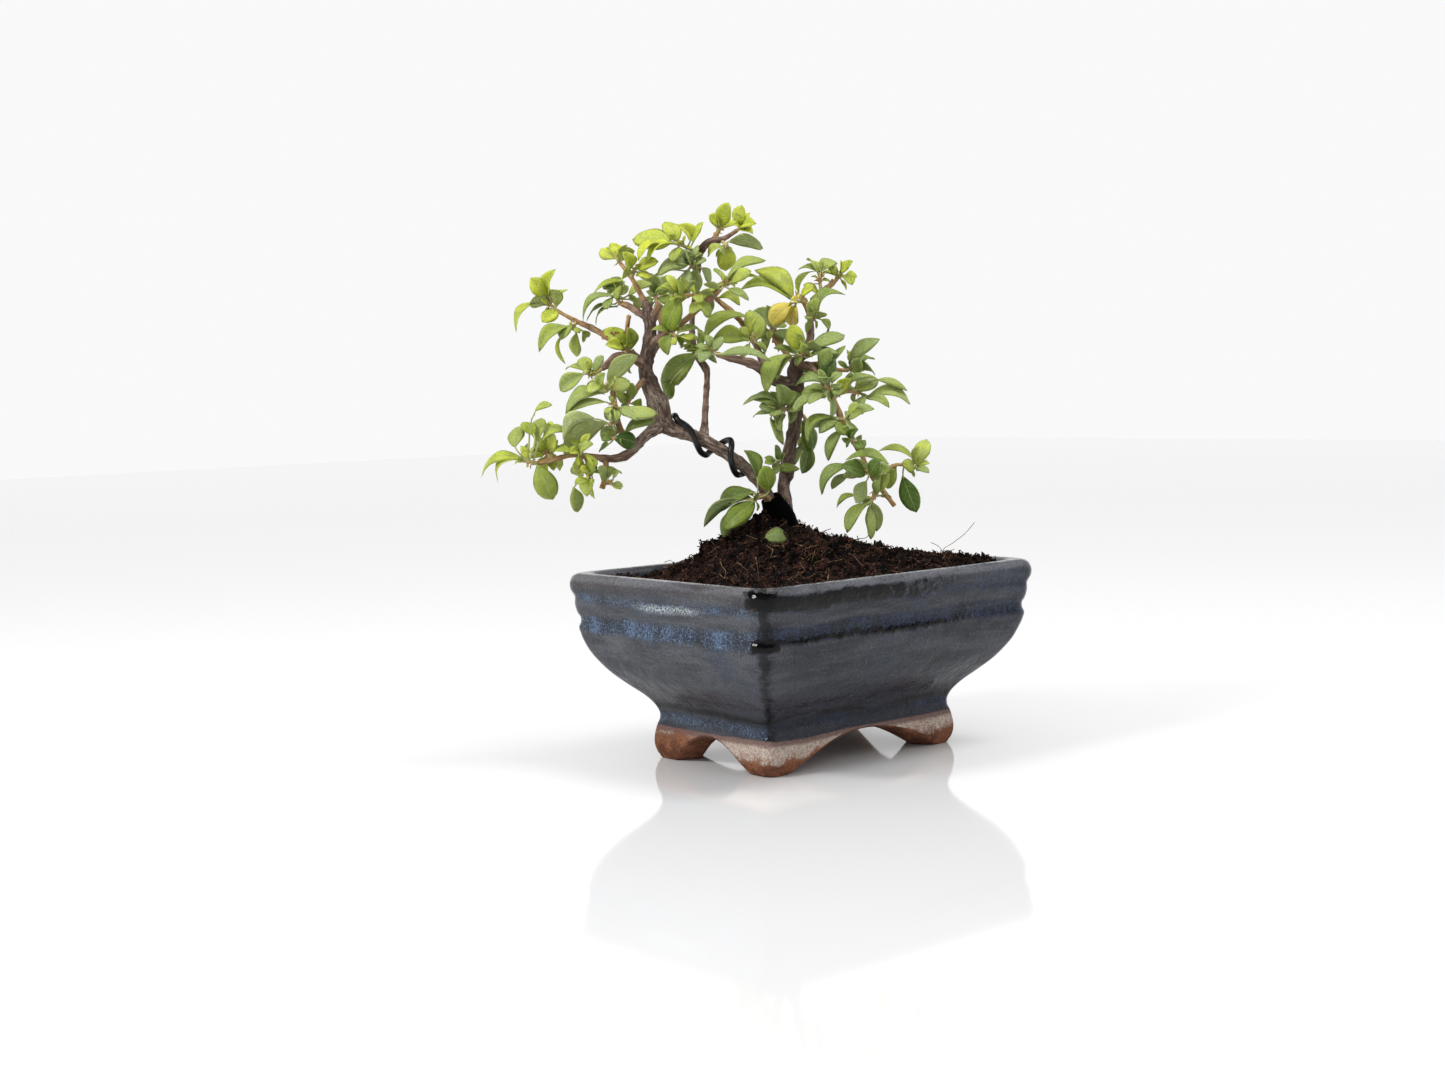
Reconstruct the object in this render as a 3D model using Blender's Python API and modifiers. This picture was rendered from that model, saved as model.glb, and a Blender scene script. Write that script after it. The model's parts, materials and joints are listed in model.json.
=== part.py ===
"""A cotoneaster bonsai in a rectangular glazed pot, at its real size, in metres with +Z up.

The tree is drawn in millimetres on an upright plane through the middle of the pot, as it is seen
from the front: u runs to the right, v is the height above the ground and w comes towards the eye.
seen() carries such a point along the line of sight to its depth, so the outline from the front
stays the same whatever the depth.
"""

import math
import random

import bmesh
import bpy
from mathutils import Matrix, Quaternion, Vector, noise
from mathutils.bvhtree import BVHTree

MM = 0.001
GAP = 0.3 * MM

# Where the front of the tree is seen from
VIEW_AZIMUTH = math.radians(-41.5)
EYE_SIDE = -31.0
EYE_HEIGHT = 148.0
EYE_DISTANCE = 795.0

# Pot, outer size at the rim
POT_LENGTH = 150.0 * MM
POT_WIDTH = 115.4 * MM
CORNER_RADIUS = 7.0 * MM
NO_CORNER_INSET = 60.0 * MM
HOLLOW_INSET = 33.5 * MM
HOLLOW_TOP = 12.0 * MM
ARCH_HEIGHT = 12.5 * MM
LONG_ARCH_HALF = 35.0 * MM
SHORT_ARCH_HALF = 17.0 * MM
ARCH_CUTTER_HALF = 200.0 * MM
DRAIN_RADIUS = 6.0 * MM
DRAIN_SPACING = 44.0 * MM
DRAIN_CUT = (5.0 * MM, 30.0 * MM)

# The side of the pot from the ground up: height, and how far it lies inside the rim's edge
POT_SIDE = [
    (0.0, 26.0), (2.2, 23.9), (7.0, 22.9), (13.2, 23.8), (17.0, 25.0), (21.0, 23.7),
    (25.0, 20.8), (29.5, 16.0), (34.5, 11.0), (41.0, 6.4), (47.0, 3.7), (52.0, 2.5),
    (54.0, 1.8), (56.5, 2.4), (60.0, 2.1), (62.5, 0.7), (66.5, 0.0), (71.0, 0.1),
    (73.3, 1.2), (74.0, 3.6),
]

# The inside of the pot from its floor up: height, and how far it lies inside the rim's edge
CAVITY_SIDE = [
    (18.5, 31.8), (22.0, 30.0), (29.5, 22.5), (36.0, 16.5), (44.0, 11.8), (56.0, 9.2), (70.0, 9.0),
    (72.8, 8.2), (76.0, 4.5),
]

# Soil, in millimetres: how high it lies at the rim, the heap round the stock with its reach to
# the left, the right and in depth, the mound against the sleeve, and its crumbs
SOIL_EDGE = 70.0
SOIL_INSET = 9.0
SOIL_PEAK = 21.5
SOIL_CENTRE = -8.0
HEAP_LEFT = 33.0
HEAP_RIGHT = 48.0
HEAP_DEPTH = 30.0
MOUND_PLACE = (-8.5, 3.0)
MOUND_REACH = 5.5
MOUND_HEIGHT = 5.0
SOIL_CRUMB = 1.1
CRUMB_SIZES = (7.0, 3.0)
SOIL_RINGS = (0.97, 0.82, 0.66, 0.5, 0.36, 0.23, 0.12, 0.05)
FALLEN_LEAF = (-10.0, 84.0)
FALLEN_LENGTH = 9.5 * MM
FALLEN_WIDTH = 7.5 * MM
FALLEN_ARCH = 0.9 * MM

# Stock of the tree in the soil, and the black sleeve round its fork: u, v, w and radius
STOCK = [(-7, 46, 0, 4.2), (-7, 60, 0, 4.8), (-7, 74, 0, 5.0), (-7, 86, 0, 5.0)]
SLEEVE = [
    (-7.2, 84, 0.5, 6.4), (-7.2, 89.5, 0.5, 6.4), (-8.9, 94.5, 0.8, 5.9), (-10.8, 98.6, 1.4, 4.7),
    (-12.2, 101.3, 2, 3.9),
]
SLEEVE_HOLE_RADIUS = 8.3
SLEEVE_HOLE_BOTTOM = 83.5
STOCK_HOLE_BOTTOM = 45.7
HOLE_TOP = 120.0

BRANCH_STEP = 9.0
STOUT_BRANCH = 2.6

# Branches: u, v, w and radius, from the fork or the parent outwards
BRANCHES = {
    "left_stem": [
        (-7, 84, 0, 4.9), (-8.5, 92, 0.5, 4.0), (-11.6, 99.4, 2, 2.4), (-15, 105.6, 3, 2.2),
        (-19.7, 111.5, 4, 2.3), (-25.2, 116.2, 5, 2.4), (-30.7, 120.4, 5, 2.3), (-37, 124.2, 6, 2.6),
        (-45, 127.6, 6, 2.7), (-50, 129.2, 6, 3.0), (-53.6, 132.4, 6, 3.8), (-55, 138.5, 6, 4.2),
        (-58, 146, 5, 3.4), (-60, 153, 4, 2.9), (-58.8, 161, 3, 2.7), (-57.5, 168, 2, 2.4),
        (-58, 173, 1, 2.3), (-58.7, 179, 0, 1.9),
    ],
    "right_stem": [
        (-7, 84, 0, 4.9), (-6, 92, -1.5, 3.7), (-6.2, 99, -3, 2.7), (-6.6, 106, -4, 2.5),
        (-5, 111.5, -4, 2.9), (-4.6, 117, -3, 2.6), (-3, 124, -2, 2.5), (-1.5, 131, -1, 2.6),
        (-0.3, 141, 0, 2.8), (-1.2, 149, 0, 3.0), (-0.6, 154, -1, 2.4), (3.5, 159.5, -4, 1.9),
        (5.4, 165, -7, 1.5), (5, 173, -10, 1.2), (2.6, 179, -12, 1.1),
    ],
    "crown_stub": [(-57.5, 171, 1, 1.9), (-55.6, 175, 3, 1.4), (-53.8, 179, 4, 1.2)],
    "upright_twig": [
        (-37.6, 124.6, 6, 2.1), (-37.4, 129.5, 4, 1.6), (-36.6, 140, 1, 1.2), (-35.8, 149, -2, 1.2),
        (-36.4, 153, -4, 1.5), (-39.3, 157.5, -6, 1.4), (-41, 164, -9, 1.2), (-41, 173, -12, 1.1),
        (-39.3, 184, -13, 1.1), (-38.4, 192, -12, 1.3), (-37.3, 198, -10, 1.5), (-34, 202, -8, 1.5),
        (-28, 203.3, -6, 1.1), (-22.5, 206.5, -3, 0.8),
    ],
    "apex_stub": [(-34.5, 201.5, -8, 1.3), (-31.6, 203.5, -9, 1.1), (-29.8, 206.3, -10, 0.9)],
    "rising_branch": [
        (-58.5, 162, 3, 2.2), (-55, 164.3, 5, 1.7), (-50, 167.6, 8, 1.3), (-44.5, 171.5, 10, 1.2),
        (-39, 176, 12, 1.2), (-33.2, 180.6, 13, 1.3), (-29.5, 184, 13, 1.0),
    ],
    "left_arm": [
        (-60, 154.5, 4, 1.9), (-64, 158.6, 0, 1.4), (-70, 162.4, -6, 1.2), (-76, 167, -12, 1.2),
        (-81, 170, -16, 1.3), (-87, 172.8, -19, 1.0), (-93.5, 176.6, -22, 0.8),
    ],
    "crown_twig": [
        (-58.5, 173, 1, 1.7), (-62.5, 175.6, -3, 1.4), (-66, 178, -8, 1.3), (-69.3, 179.3, -11, 1.0),
    ],
    "tall_twig": [
        (-58.7, 178, 0, 1.5), (-61, 182.5, -5, 1.1), (-64.5, 189, -10, 1.0), (-69, 195.3, -14, 0.8),
    ],
    "dark_twig": [(-67.5, 161, -3.5, 1.0), (-67, 168, -1, 1.0), (-65.8, 174.5, 1, 0.9)],
    "sawn_stub": [
        (-60, 154.5, 4, 1.8), (-65.5, 157.3, 9, 1.7), (-71, 158.2, 13, 2.0), (-74, 156, 15, 1.6),
        (-77.3, 153.7, 17, 1.3),
    ],
    "low_spur": [(-59.5, 150, 5, 1.6), (-63, 146.5, 9, 1.2), (-66.2, 141.8, 11, 1.1)],
    "low_branch": [
        (-54, 131, 6, 3.2), (-59, 128.2, 10, 2.3), (-63, 124.9, 13, 2.1), (-66.2, 121.4, 16, 2.0),
        (-69.5, 119.2, 18, 1.9), (-74, 118.2, 20, 1.6), (-79, 118.8, 22, 1.3), (-85, 119.8, 24, 1.0),
        (-91, 119.8, 26, 0.9), (-98, 118.3, 28, 1.1), (-103.5, 117.2, 29, 1.0),
    ],
    "ochre_spur": [
        (-66, 122.5, 16, 1.5), (-69.5, 127.5, 19, 1.2), (-71.6, 133, 21, 1.3), (-72.6, 139.5, 22, 1.3),
        (-73.2, 145, 22, 1.1),
    ],
    "hanging_spur": [(-77, 118.5, 21, 1.2), (-76.8, 113, 23, 1.0), (-78.6, 106.3, 24, 1.1)],
    "left_limb": [
        (-1.2, 146.5, 0, 2.7), (-5, 146.6, 3, 2.5), (-9, 147.5, 6, 2.3), (-12.4, 150.6, 9, 2.2),
        (-16, 153.3, 12, 2.0), (-21, 155.3, 15, 1.7), (-27, 156.8, 17, 1.4), (-32, 158.3, 17, 1.1),
    ],
    "crossing_twig": [
        (-13.6, 152.4, 10, 1.6), (-15, 158.6, 6, 1.3), (-18, 165, 1, 1.2), (-22, 171, -4, 1.2),
        (-26.5, 175.6, -7, 1.2), (-31.5, 180, -9, 1.0),
    ],
    "upper_right_twig": [
        (5.2, 169, -8.5, 1.1), (7.6, 176.5, -13, 1.0), (10, 181.6, -16, 1.2), (13.5, 184, -18, 1.1),
        (16.8, 187, -20, 0.8),
    ],
    "right_arm": [
        (-0.8, 152, -0.5, 2.0), (4, 153, 4, 1.5), (8, 149, 8, 1.3), (12, 142.5, 12, 1.3),
        (15.8, 134.5, 16, 1.2), (18.3, 127.8, 19, 1.1), (21.8, 121.8, 21, 1.1), (24.8, 116.5, 22, 1.0),
        (26.8, 111.5, 23, 1.1), (30.5, 106, 24, 1.2), (34, 101, 25, 1.0), (37.3, 96.6, 26, 0.9),
    ],
    "outer_right_twig": [
        (3.6, 153.2, 3.6, 1.2), (9.5, 153.3, 0, 1.0), (15, 151.2, -6, 0.9), (19.5, 150.6, -11, 0.8),
    ],
    "basal_spur": [(-10, 98, 1.5, 1.9), (-13.8, 101.8, 6.5, 1.1), (-16.4, 101.3, 9, 1.0)],
    "stem_knot": [(-5, 112, -4, 2.6), (-7.8, 113.4, 0.5, 1.2)],
    "back_branch": [
        (-58.6, 158, 3, 2.0), (-55, 163, -6, 1.5), (-53, 170, -16, 1.3), (-54.5, 178, -25, 1.0),
    ],
    "back_right_branch": [
        (-0.6, 143, 0, 1.9), (1.5, 149, -9, 1.4), (-3, 156, -18, 1.2), (-9, 164, -26, 1.0),
    ],
}

# Training wire round the left stem, on the stretch below WIRE_CEILING: u on the stem, angle round
# it (0 in front, 90 on top) and slack
WIRE_RADIUS = 1.25
WIRE_STEP = 2.1
WIRE_CEILING = 134.0
WINDING = [
    (-53.5, 125, 0.3), (-50.5, 70, 0.1), (-46.5, 50, 0.1), (-43.5, 28, 0.1), (-41.4, 0, 0.1),
    (-39, -40, 0.3), (-36.8, -75, 0.8), (-34.4, -100, 0.9), (-32.2, -180, 0.5), (-30.2, -270, 1.3),
    (-27.4, -360, 0.2), (-22.3, -450, 0.2), (-19.4, -540, 0.2), (-17, -610, 0.2),
]

# Leaves, in millimetres. A blade's rows: how far along it each lies, and its share of full width.
# A leaf drawn shorter than FULL_LEAF mostly points to or from the eye.
BLADE_THICKNESS = 0.7
ROOT_WIDTH = 0.5
STALK_WIDTH = 1.0
LEAST_FACE = 0.55
BLADE_ROWS = [(0.32, 0.96), (0.72, 1.0), (1.0, 0.0)]
SMALL_BLADE_ROWS = [(0.56, 1.05), (1.0, 0.0)]
SMALL_LEAF = 7.6
WIDEST_BLADE = 0.6
ARCH = 0.12
FULL_LEAF = 12.5
SHORT_STALK = 2.2
SHARPEST_BEND = math.radians(75)
CLEARANCE = 0.68
LEAF_SEED = 7

# How a leaf leans in depth, as a share of its length, and how its arch varies
LEAN_SHARE = (0.12, 0.42)
ARCH_SHARE = (0.6, 1.3)

# Green stems of the shoots: radius at the foot and at the tip, and leaves on the outer part
SHOOT_RADIUS = (0.8, 0.65)
SHOOT_STEP = 4.0
SHOOT_SIDES = 4
BARE_SHARE = 1 / 3

# Ways a leaf may be bent clear of its neighbours: shorter, swung in the picture, leant in depth
SHORTENINGS = (1.0, 0.86, 0.72)
SWINGS = (0.0, 9.0, -9.0, 18.0, -18.0, 28.0, -28.0)
LEANS = (0.0, 3.5, -3.5, 7.0, -7.0, 10.5, -10.5, 14.0, -14.0)
FOOT_LEAN = 0.35

# Shoots. stem: u, v, w of a short green stem from the twig that bears it. leaves: u and v of the
# blade's foot, u and v of its tip, the width that shows, how much of its face shows (below zero
# where the underside shows) and, where it is bowed upwards more than usual, by how much.
SHOOTS = {
    "arm_tip": {
        "stem": [(-93.5, 176.6, -22), (-95.5, 178.2, -23), (-97.5, 180, -24)],
        "leaves": [
            (-98, 182, -103.5, 190, 7, 0.9), (-97, 183, -95.2, 193, 5, 0.8),
            (-96, 179, -105, 181, 5, -0.8), (-94.5, 178, -95.5, 186, 7, -0.9),
            (-98, 179, -111, 169.5, 3.5, 0.5, 4), (-94, 177, -100, 173, 6, 0.9),
            (-96, 180, -90, 185, 5, 0.6),
        ],
    },
    "arm_node": {
        "stem": [(-86.5, 172.5, -19), (-88, 170.5, -16.5), (-89.5, 169.3, -14.5)],
        "leaves": [
            (-89.5, 170.5, -102, 161.5, 5, 0.8, 1.5), (-90, 169, -92.3, 156, 2.5, 0.4, 2.5),
            (-86.5, 168, -87.3, 158.5, 4.5, 0.8), (-84.5, 169, -82.5, 165.5, 4, 0.9),
            (-88, 171.5, -93, 166.5, 4.5, 0.6),
        ],
    },
    "crown_twig_leaves": {
        "stem": [(-69.3, 179.3, -11), (-70.3, 181, -13), (-70, 183, -15)],
        "leaves": [
            (-70, 181.5, -84.5, 172, 3, 0.5, 5), (-70.5, 178.5, -83, 172.5, 2.5, 0.4, 1.5),
            (-67, 185, -76, 186, 6, 0.8, 1.5), (-66.5, 187.5, -80.5, 181, 3, 0.4, 1.5),
            (-68, 186, -75, 183, 4, 0.8), (-68.5, 186, -71, 181.5, 2.5, 0.5),
            (-72.5, 181.5, -74.5, 177, 3.5, 0.8), (-69.5, 177.5, -79, 170.5, 2, 0.4, 2.5),
            (-66, 181.5, -56.5, 187, 4, 0.7, 1), (-66, 180.5, -61, 179, 3.5, 0.6),
        ],
    },
    "tall_twig_leaves": {
        "stem": [(-69, 195.3, -14), (-69.8, 196.6, -14.5), (-70.2, 197.6, -15)],
        "leaves": [
            (-70, 196.5, -76.5, 200.5, 5, 0.9), (-69.8, 196.5, -69.6, 203.5, 5.5, 0.9),
            (-69.5, 196, -63, 199.5, 4, -0.7),
        ],
    },
    "tall_twig_side": {
        "stem": [(-64.5, 189, -10), (-63.5, 191, -6.5), (-62.8, 192.5, -4)],
        "leaves": [
            (-64.3, 192.8, -67.3, 199, 5.5, 0.9), (-62.5, 192.5, -54.5, 195.5, 4.5, 0.8),
            (-62, 191, -57, 188.5, 3.5, 0.6), (-63.5, 191, -69, 189.5, 4, -0.6),
        ],
    },
    "crown_top": {
        "stem": [(-37.6, 197, -10.5), (-40.5, 199.2, -7), (-44, 201, -4), (-47, 202, -2)],
        "leaves": [
            (-48, 202.5, -64, 204.6, 8, 0.9), (-46, 202.5, -51, 210.5, 8, 0.9),
            (-40, 201.5, -36.5, 210.5, 3, 0.6), (-41, 203, -44.8, 209.3, 4.5, 0.8),
            (-52, 201.5, -62, 196.5, 3, 0.5, 1.5), (-46, 201.5, -58.5, 195.5, 3.5, 0.5, 2),
            (-45.5, 200.5, -48.5, 195.7, 4, 0.8),
        ],
    },
    "crown_front": {
        "stem": [(-38.6, 190.5, -12), (-40.2, 192.5, -7), (-41.2, 193.6, -3)],
        "leaves": [
            (-42, 193.5, -54.5, 190.6, 5, 0.7, 1), (-41.5, 193.5, -42.7, 200, 4, 0.6),
            (-43, 190.5, -57.5, 187.5, 2, 0.4, 1), (-38.5, 193, -40.2, 182.3, 6.5, 0.9),
            (-42, 192, -44.6, 183.5, 5, 0.8), (-37.5, 192.5, -32.8, 186, 3.5, 0.7),
            (-40, 193.6, -35, 195, 2.5, 0.6),
        ],
    },
    "apex": {
        "stem": [(-29.8, 206.3, -10), (-29.3, 207.4, -10.5), (-29, 208.2, -11)],
        "leaves": [
            (-29, 208, -25.6, 217.3, 6, 0.9), (-30, 207.5, -33.5, 212.5, 3, 0.6),
            (-28.5, 207, -21.5, 210.5, 3, 0.6),
        ],
    },
    "apex_twig_leaves": {
        "stem": [(-22.5, 206.5, -3), (-21.5, 207.3, -2), (-20.8, 208, -1)],
        "leaves": [
            (-21.8, 208, -20.8, 215.8, 6, 0.9), (-21, 207.5, -15, 208.8, 4, 0.8),
            (-22, 206.5, -16.5, 205.8, 3, 0.7),
        ],
    },
    "apex_low": {
        "stem": [(-29, 203, -6.5), (-27.5, 201.4, -4), (-26.5, 200.3, -2)],
        "leaves": [
            (-26.5, 202, -12.3, 199.6, 5, -0.8, 1.2), (-27.5, 201.5, -27, 190.3, 9, 1.0),
            (-28.5, 200.5, -35, 197, 3.5, 0.6),
        ],
    },
    "rising_tip": {
        "stem": [(-29.5, 184, 13), (-28.3, 185.2, 13.5), (-27.2, 186.3, 14)],
        "leaves": [
            (-27.5, 186.5, -11.5, 194.7, 3.5, 0.6, 2), (-27, 187, -20, 191.6, 2.5, 0.5),
            (-25.5, 186, -17.5, 190.5, 4, 0.8), (-27, 184.5, -11.5, 186.8, 2.2, 0.35, 1),
            (-27, 183.8, -18.5, 179.6, 3, 0.7), (-29.5, 185.3, -34.8, 183.2, 4, 0.7),
            (-30, 183.5, -36.2, 186.5, 3, -0.6), (-28, 187, -31, 192, 2.5, 0.5),
        ],
    },
    "rising_low": {
        "stem": [(-36, 178.4, 12.5), (-38, 180.6, 14), (-40.5, 181.7, 15.5), (-45.5, 181.5, 17)],
        "leaves": [
            (-37, 179.5, -42.5, 174, 5, 0.8), (-45.5, 181, -52, 167.5, 8, 0.9),
            (-47, 182, -55.5, 184.5, 3.5, 0.5, 1.5), (-45, 181, -45.6, 187.5, 2, 0.5),
            (-38, 180, -34, 173.5, 3.5, 0.8), (-44, 181, -39.5, 187, 3.5, -0.5),
        ],
    },
    "rising_under": {
        "stem": [(-50, 167.6, 8), (-49, 166, 10.5), (-47.5, 165.8, 12.5)],
        "leaves": [
            (-49.7, 166.7, -52, 158.2, 5.5, 0.9), (-46.5, 167, -37.5, 168, 2.6, 0.6, 1),
            (-48, 166, -45.3, 161.2, 2.5, 0.7), (-46.5, 166, -41.5, 162.3, 2.5, 0.6),
        ],
    },
    "upright_leaves": {
        "stem": [(-39.5, 157, -6), (-38.3, 158.8, -1), (-37.5, 160.5, 3)],
        "leaves": [
            (-39.5, 159, -54, 145.3, 8.5, 0.95), (-41.5, 156.5, -48.3, 146.5, 5.5, 0.8),
            (-37.7, 164, -45.7, 163, 3, 0.6, 1), (-37, 162.5, -18.5, 173.5, 4.5, 0.6, 3),
            (-37, 158, -31.5, 155.8, 3, 0.7), (-38, 159, -38.2, 165.5, 2.6, 0.7),
            (-36.5, 157.5, -33, 162.5, 3, 0.8), (-49.5, 148.5, -52.4, 141, 5.5, 0.9),
        ],
    },
    "limb_tip": {
        "stem": [(-32, 158.3, 17), (-33, 159.2, 17.5), (-34, 159.8, 18)],
        "leaves": [
            (-31, 157.6, -10.5, 156.2, 3.5, 0.6, 1.6), (-34, 159.5, -38.5, 155.5, 4, 0.8),
            (-33.5, 159.7, -29.5, 164.5, 3.5, 0.7), (-34, 158.7, -41, 158.5, 3, 0.6, 1),
        ],
    },
    "crossing_leaves": {
        "stem": [(-16.5, 162, 3.5), (-17.3, 163.5, 8), (-18, 164.5, 11)],
        "leaves": [
            (-18.5, 163.5, -33.5, 164.5, 6.5, 0.9, 1), (-16, 163, -18, 176, 8, 0.95),
            (-16, 162, -11.5, 160, 3, 0.7),
        ],
    },
    "crossing_tip": {
        "stem": [(-31.5, 180, -9), (-32.3, 180.8, -9.5), (-33.2, 181.5, -10)],
        "leaves": [
            (-31, 180, -22, 177.3, 4.5, 0.7, 1.5), (-33, 181.5, -39, 179.8, 4, 0.6),
            (-32, 181, -28, 187.5, 3.5, 0.6), (-32.7, 180.5, -35.5, 173, 3.5, -0.6),
        ],
    },
    "yellow_leaves": {
        "stem": [(3, 178, -11.7), (0.8, 178.2, -9), (-0.6, 177.8, -7)],
        "leaves": [
            (-1.5, 177.5, -10.5, 169.3, 7, 0.95), (0, 177, -2.8, 168.3, 6, 0.9),
        ],
    },
    "long_leaves": {
        "stem": [(2.6, 179, -12), (1.5, 180.2, -13.5), (0.3, 180.8, -15)],
        "leaves": [
            (-1, 178.5, -16, 191.3, 7.5, 0.85, 2), (-2, 178.5, -22, 184, 5, 0.7, 2.5),
            (1, 181, 8, 190, 2.5, 0.5, 2.5), (2, 180.5, 6.5, 184.3, 3, 0.6),
        ],
    },
    "top_right": {
        "stem": [(10, 181.6, -16), (9.6, 184.5, -15), (9.4, 188, -14.5)],
        "leaves": [
            (9.3, 189, 0.8, 191, 3, 0.5, 1.5), (9.5, 189, 15.5, 194.4, 5, 0.8),
            (9, 181.5, 3, 184.5, 3.5, 0.7), (9.2, 182, 8.4, 176.5, 4, 0.8),
            (9, 187.5, 5, 195, 3.5, 0.6),
        ],
    },
    "right_tip": {
        "stem": [(16.8, 187, -20), (17.6, 187.8, -20.5), (18.2, 188.3, -21)],
        "leaves": [
            (17.3, 188.3, 22.6, 193.3, 3, 0.7), (16.8, 188, 12.5, 192.5, 3.5, 0.8),
            (18.8, 187.8, 22.2, 184.3, 4, 0.8), (17.6, 186.3, 20.3, 182.3, 2, 0.5),
            (16.5, 187.3, 10, 189, 2, 0.5, 1),
        ],
    },
    "right_hook": {
        "stem": [(5, 172, -9.5), (6.4, 171.3, -6), (7.6, 171.6, -3)],
        "leaves": [
            (5.6, 171.5, 8.2, 179, 4.5, 0.8), (8.5, 173, 19.6, 180.3, 3.5, 0.5, 2.5),
            (7.2, 170.8, 10.5, 174, 4, -0.8), (9.3, 171, 10.8, 164.3, 2.5, 0.5, 1.5),
            (6.5, 171, 3.5, 165.5, 3.5, 0.6),
        ],
    },
    "fork_leaves": {
        "stem": [(0.5, 156, -2.5), (2, 157, 3.5), (2.6, 158, 7.5)],
        "leaves": [
            (1.8, 158, -2, 169.3, 8.5, 0.95), (0.3, 157, -4.3, 164, 4, 0.7),
            (0.5, 156.5, -13, 143.5, 4.5, 0.6, 3.5), (0, 156, -8.2, 147.5, 3.5, 0.5, 2),
            (2.8, 157.3, 19, 165, 4.5, 0.7, 1), (3.3, 155.5, 16.5, 158.2, 3, 0.5, 1),
            (2, 159, 9.5, 160.8, 3.5, -0.7), (-1, 157.5, -9.3, 160.5, 2.5, 0.6),
        ],
    },
    "shade_leaves": {
        "stem": [(10, 146, 10), (10.8, 148, 7), (11.5, 150, 4.5)],
        "leaves": [
            (8.5, 151.5, 13, 158.7, 5, 0.9), (12.3, 146.5, 14.8, 155.3, 5, 0.8),
            (12, 149.5, 18.8, 160.8, 2.5, 0.4), (9.5, 148, 2.5, 149.3, 3, 0.5, 1),
        ],
    },
    "outer_right": {
        "stem": [(19.5, 150.6, -11), (20.6, 151.2, -12), (21.5, 151.9, -13)],
        "leaves": [
            (20, 153.5, 32, 163.5, 5, 0.6, 1), (21, 150, 24.3, 154.8, 6, 0.9),
            (24, 151, 30.5, 154.8, 2.5, 0.6, 1), (20, 151.5, 16, 154.3, 2.5, 0.7),
            (22, 153, 23.5, 161, 4.5, 0.7), (22.5, 151.5, 31, 149.5, 4.5, -0.6, 1),
        ],
    },
    "right_shelf": {
        "stem": [(13.5, 139.3, 13.5), (16, 141.3, 9), (20, 142.3, 5), (24.5, 141.6, 2)],
        "leaves": [
            (22.5, 142.5, 32, 147, 6.5, 0.85), (16, 144, 32.5, 147.6, 3, 0.5, 1.5),
            (30, 146.5, 43.5, 142.4, 3, 0.7, 1), (26.5, 139.5, 44.7, 137.4, 4.5, 0.6, 2.5),
            (27.5, 140.5, 22.5, 134.8, 3, 0.5, 1), (26.5, 139.5, 36, 136.4, 3.5, 0.7),
            (17, 142.5, 20.5, 147.3, 4.5, 0.9),
        ],
    },
    "inner_right": {
        "stem": [(11, 144.3, 11.2), (11.8, 144.6, 15.5), (12.2, 143.6, 19)],
        "leaves": [
            (11, 144.5, -1.5, 145, 3.5, 0.5, 2.5), (10.5, 143.5, 0.8, 139.7, 3.5, 0.7, 1),
            (10, 142, 4, 137.8, 3, 0.8), (11, 139.5, -2.7, 134.3, 3, 0.6, 1.5),
            (12.8, 138.5, 15, 143.5, 2.6, 0.7), (11.5, 141.5, 13, 132.5, 2.5, 0.6),
        ],
    },
    "stem_leaves": {
        "stem": [(-1.2, 135, -0.5), (-4.5, 136, 5), (-7, 136.3, 9)],
        "leaves": [
            (-7.5, 137.3, -18.3, 141.3, 4.5, 0.7, 1), (-8.5, 138.5, -22, 138.6, 2, 0.4, 2.5),
            (-6.3, 137.5, -8.4, 146, 6, 0.9), (-5.5, 137.3, -0.8, 142.5, 4, 0.8),
            (-7.5, 135, -15.3, 137.4, 3.5, 0.7), (-7.8, 135.5, -7, 130.5, 5.5, 0.95),
            (-10, 134, -18.3, 133, 2, 0.5, 1), (-11.5, 133, -5.7, 122, 3.5, 0.7, -1),
            (-3.3, 130.2, -1, 135.5, 2.5, 0.7),
        ],
    },
    "stem_side": {
        "stem": [(-0.9, 134, -0.6), (2, 133, -4), (3.6, 128, -7), (3, 124, -9)],
        "leaves": [
            (1, 131.5, 5, 118.5, 6, 0.8, 1), (4, 123, 0.2, 110.3, 5, 0.8, -1.5),
            (1.5, 122, -1.8, 114, 3.5, -0.6), (-1, 124.5, 3.5, 131.5, 3.5, 0.6),
        ],
    },
    "knot_leaves": {
        "stem": [(-7.8, 113.4, 0.5), (-8.4, 114.1, 2.5), (-8.8, 114.2, 4.5)],
        "leaves": [
            (-9.8, 112.3, 0, 112.4, 3.4, 0.7, 0.6), (-8, 115.5, -9.7, 121.8, 2.6, 0.6),
        ],
    },
    "arm_leaves": {
        "stem": [(17.2, 130.7, 17.6), (17.7, 131.6, 21.5), (18.4, 131.5, 24.5)],
        "leaves": [
            (16.5, 131, 8, 126.8, 4.5, 0.8, 0.8), (17.3, 127.5, 10.3, 115.2, 4, 0.8, 1),
            (20, 131, 30, 135.2, 3.5, 0.7, 1), (19.3, 131, 21.4, 134.5, 2.5, 0.7),
            (15.5, 132, 2.8, 122, 3.5, 0.6, 4), (18.5, 130.5, 22, 126.3, 3, 0.6),
        ],
    },
    "arm_knot": {
        "stem": [(21.8, 121.8, 21), (21.2, 123, 24), (21, 123.6, 26)],
        "leaves": [
            (20.8, 123.5, 18.7, 121.3, 3, 0.8), (21.8, 123.6, 24.6, 122, 2.6, 0.8),
            (21, 124.5, 22.8, 127.4, 2.6, 0.7),
        ],
    },
    "low_right": {
        "stem": [(26.8, 111.5, 23), (27.3, 110.3, 28), (27.6, 109.4, 31)],
        "leaves": [
            (35.5, 113, 18, 116, 3, 0.5, 2.5), (26, 109.3, 17, 113.5, 6, 0.8),
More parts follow.
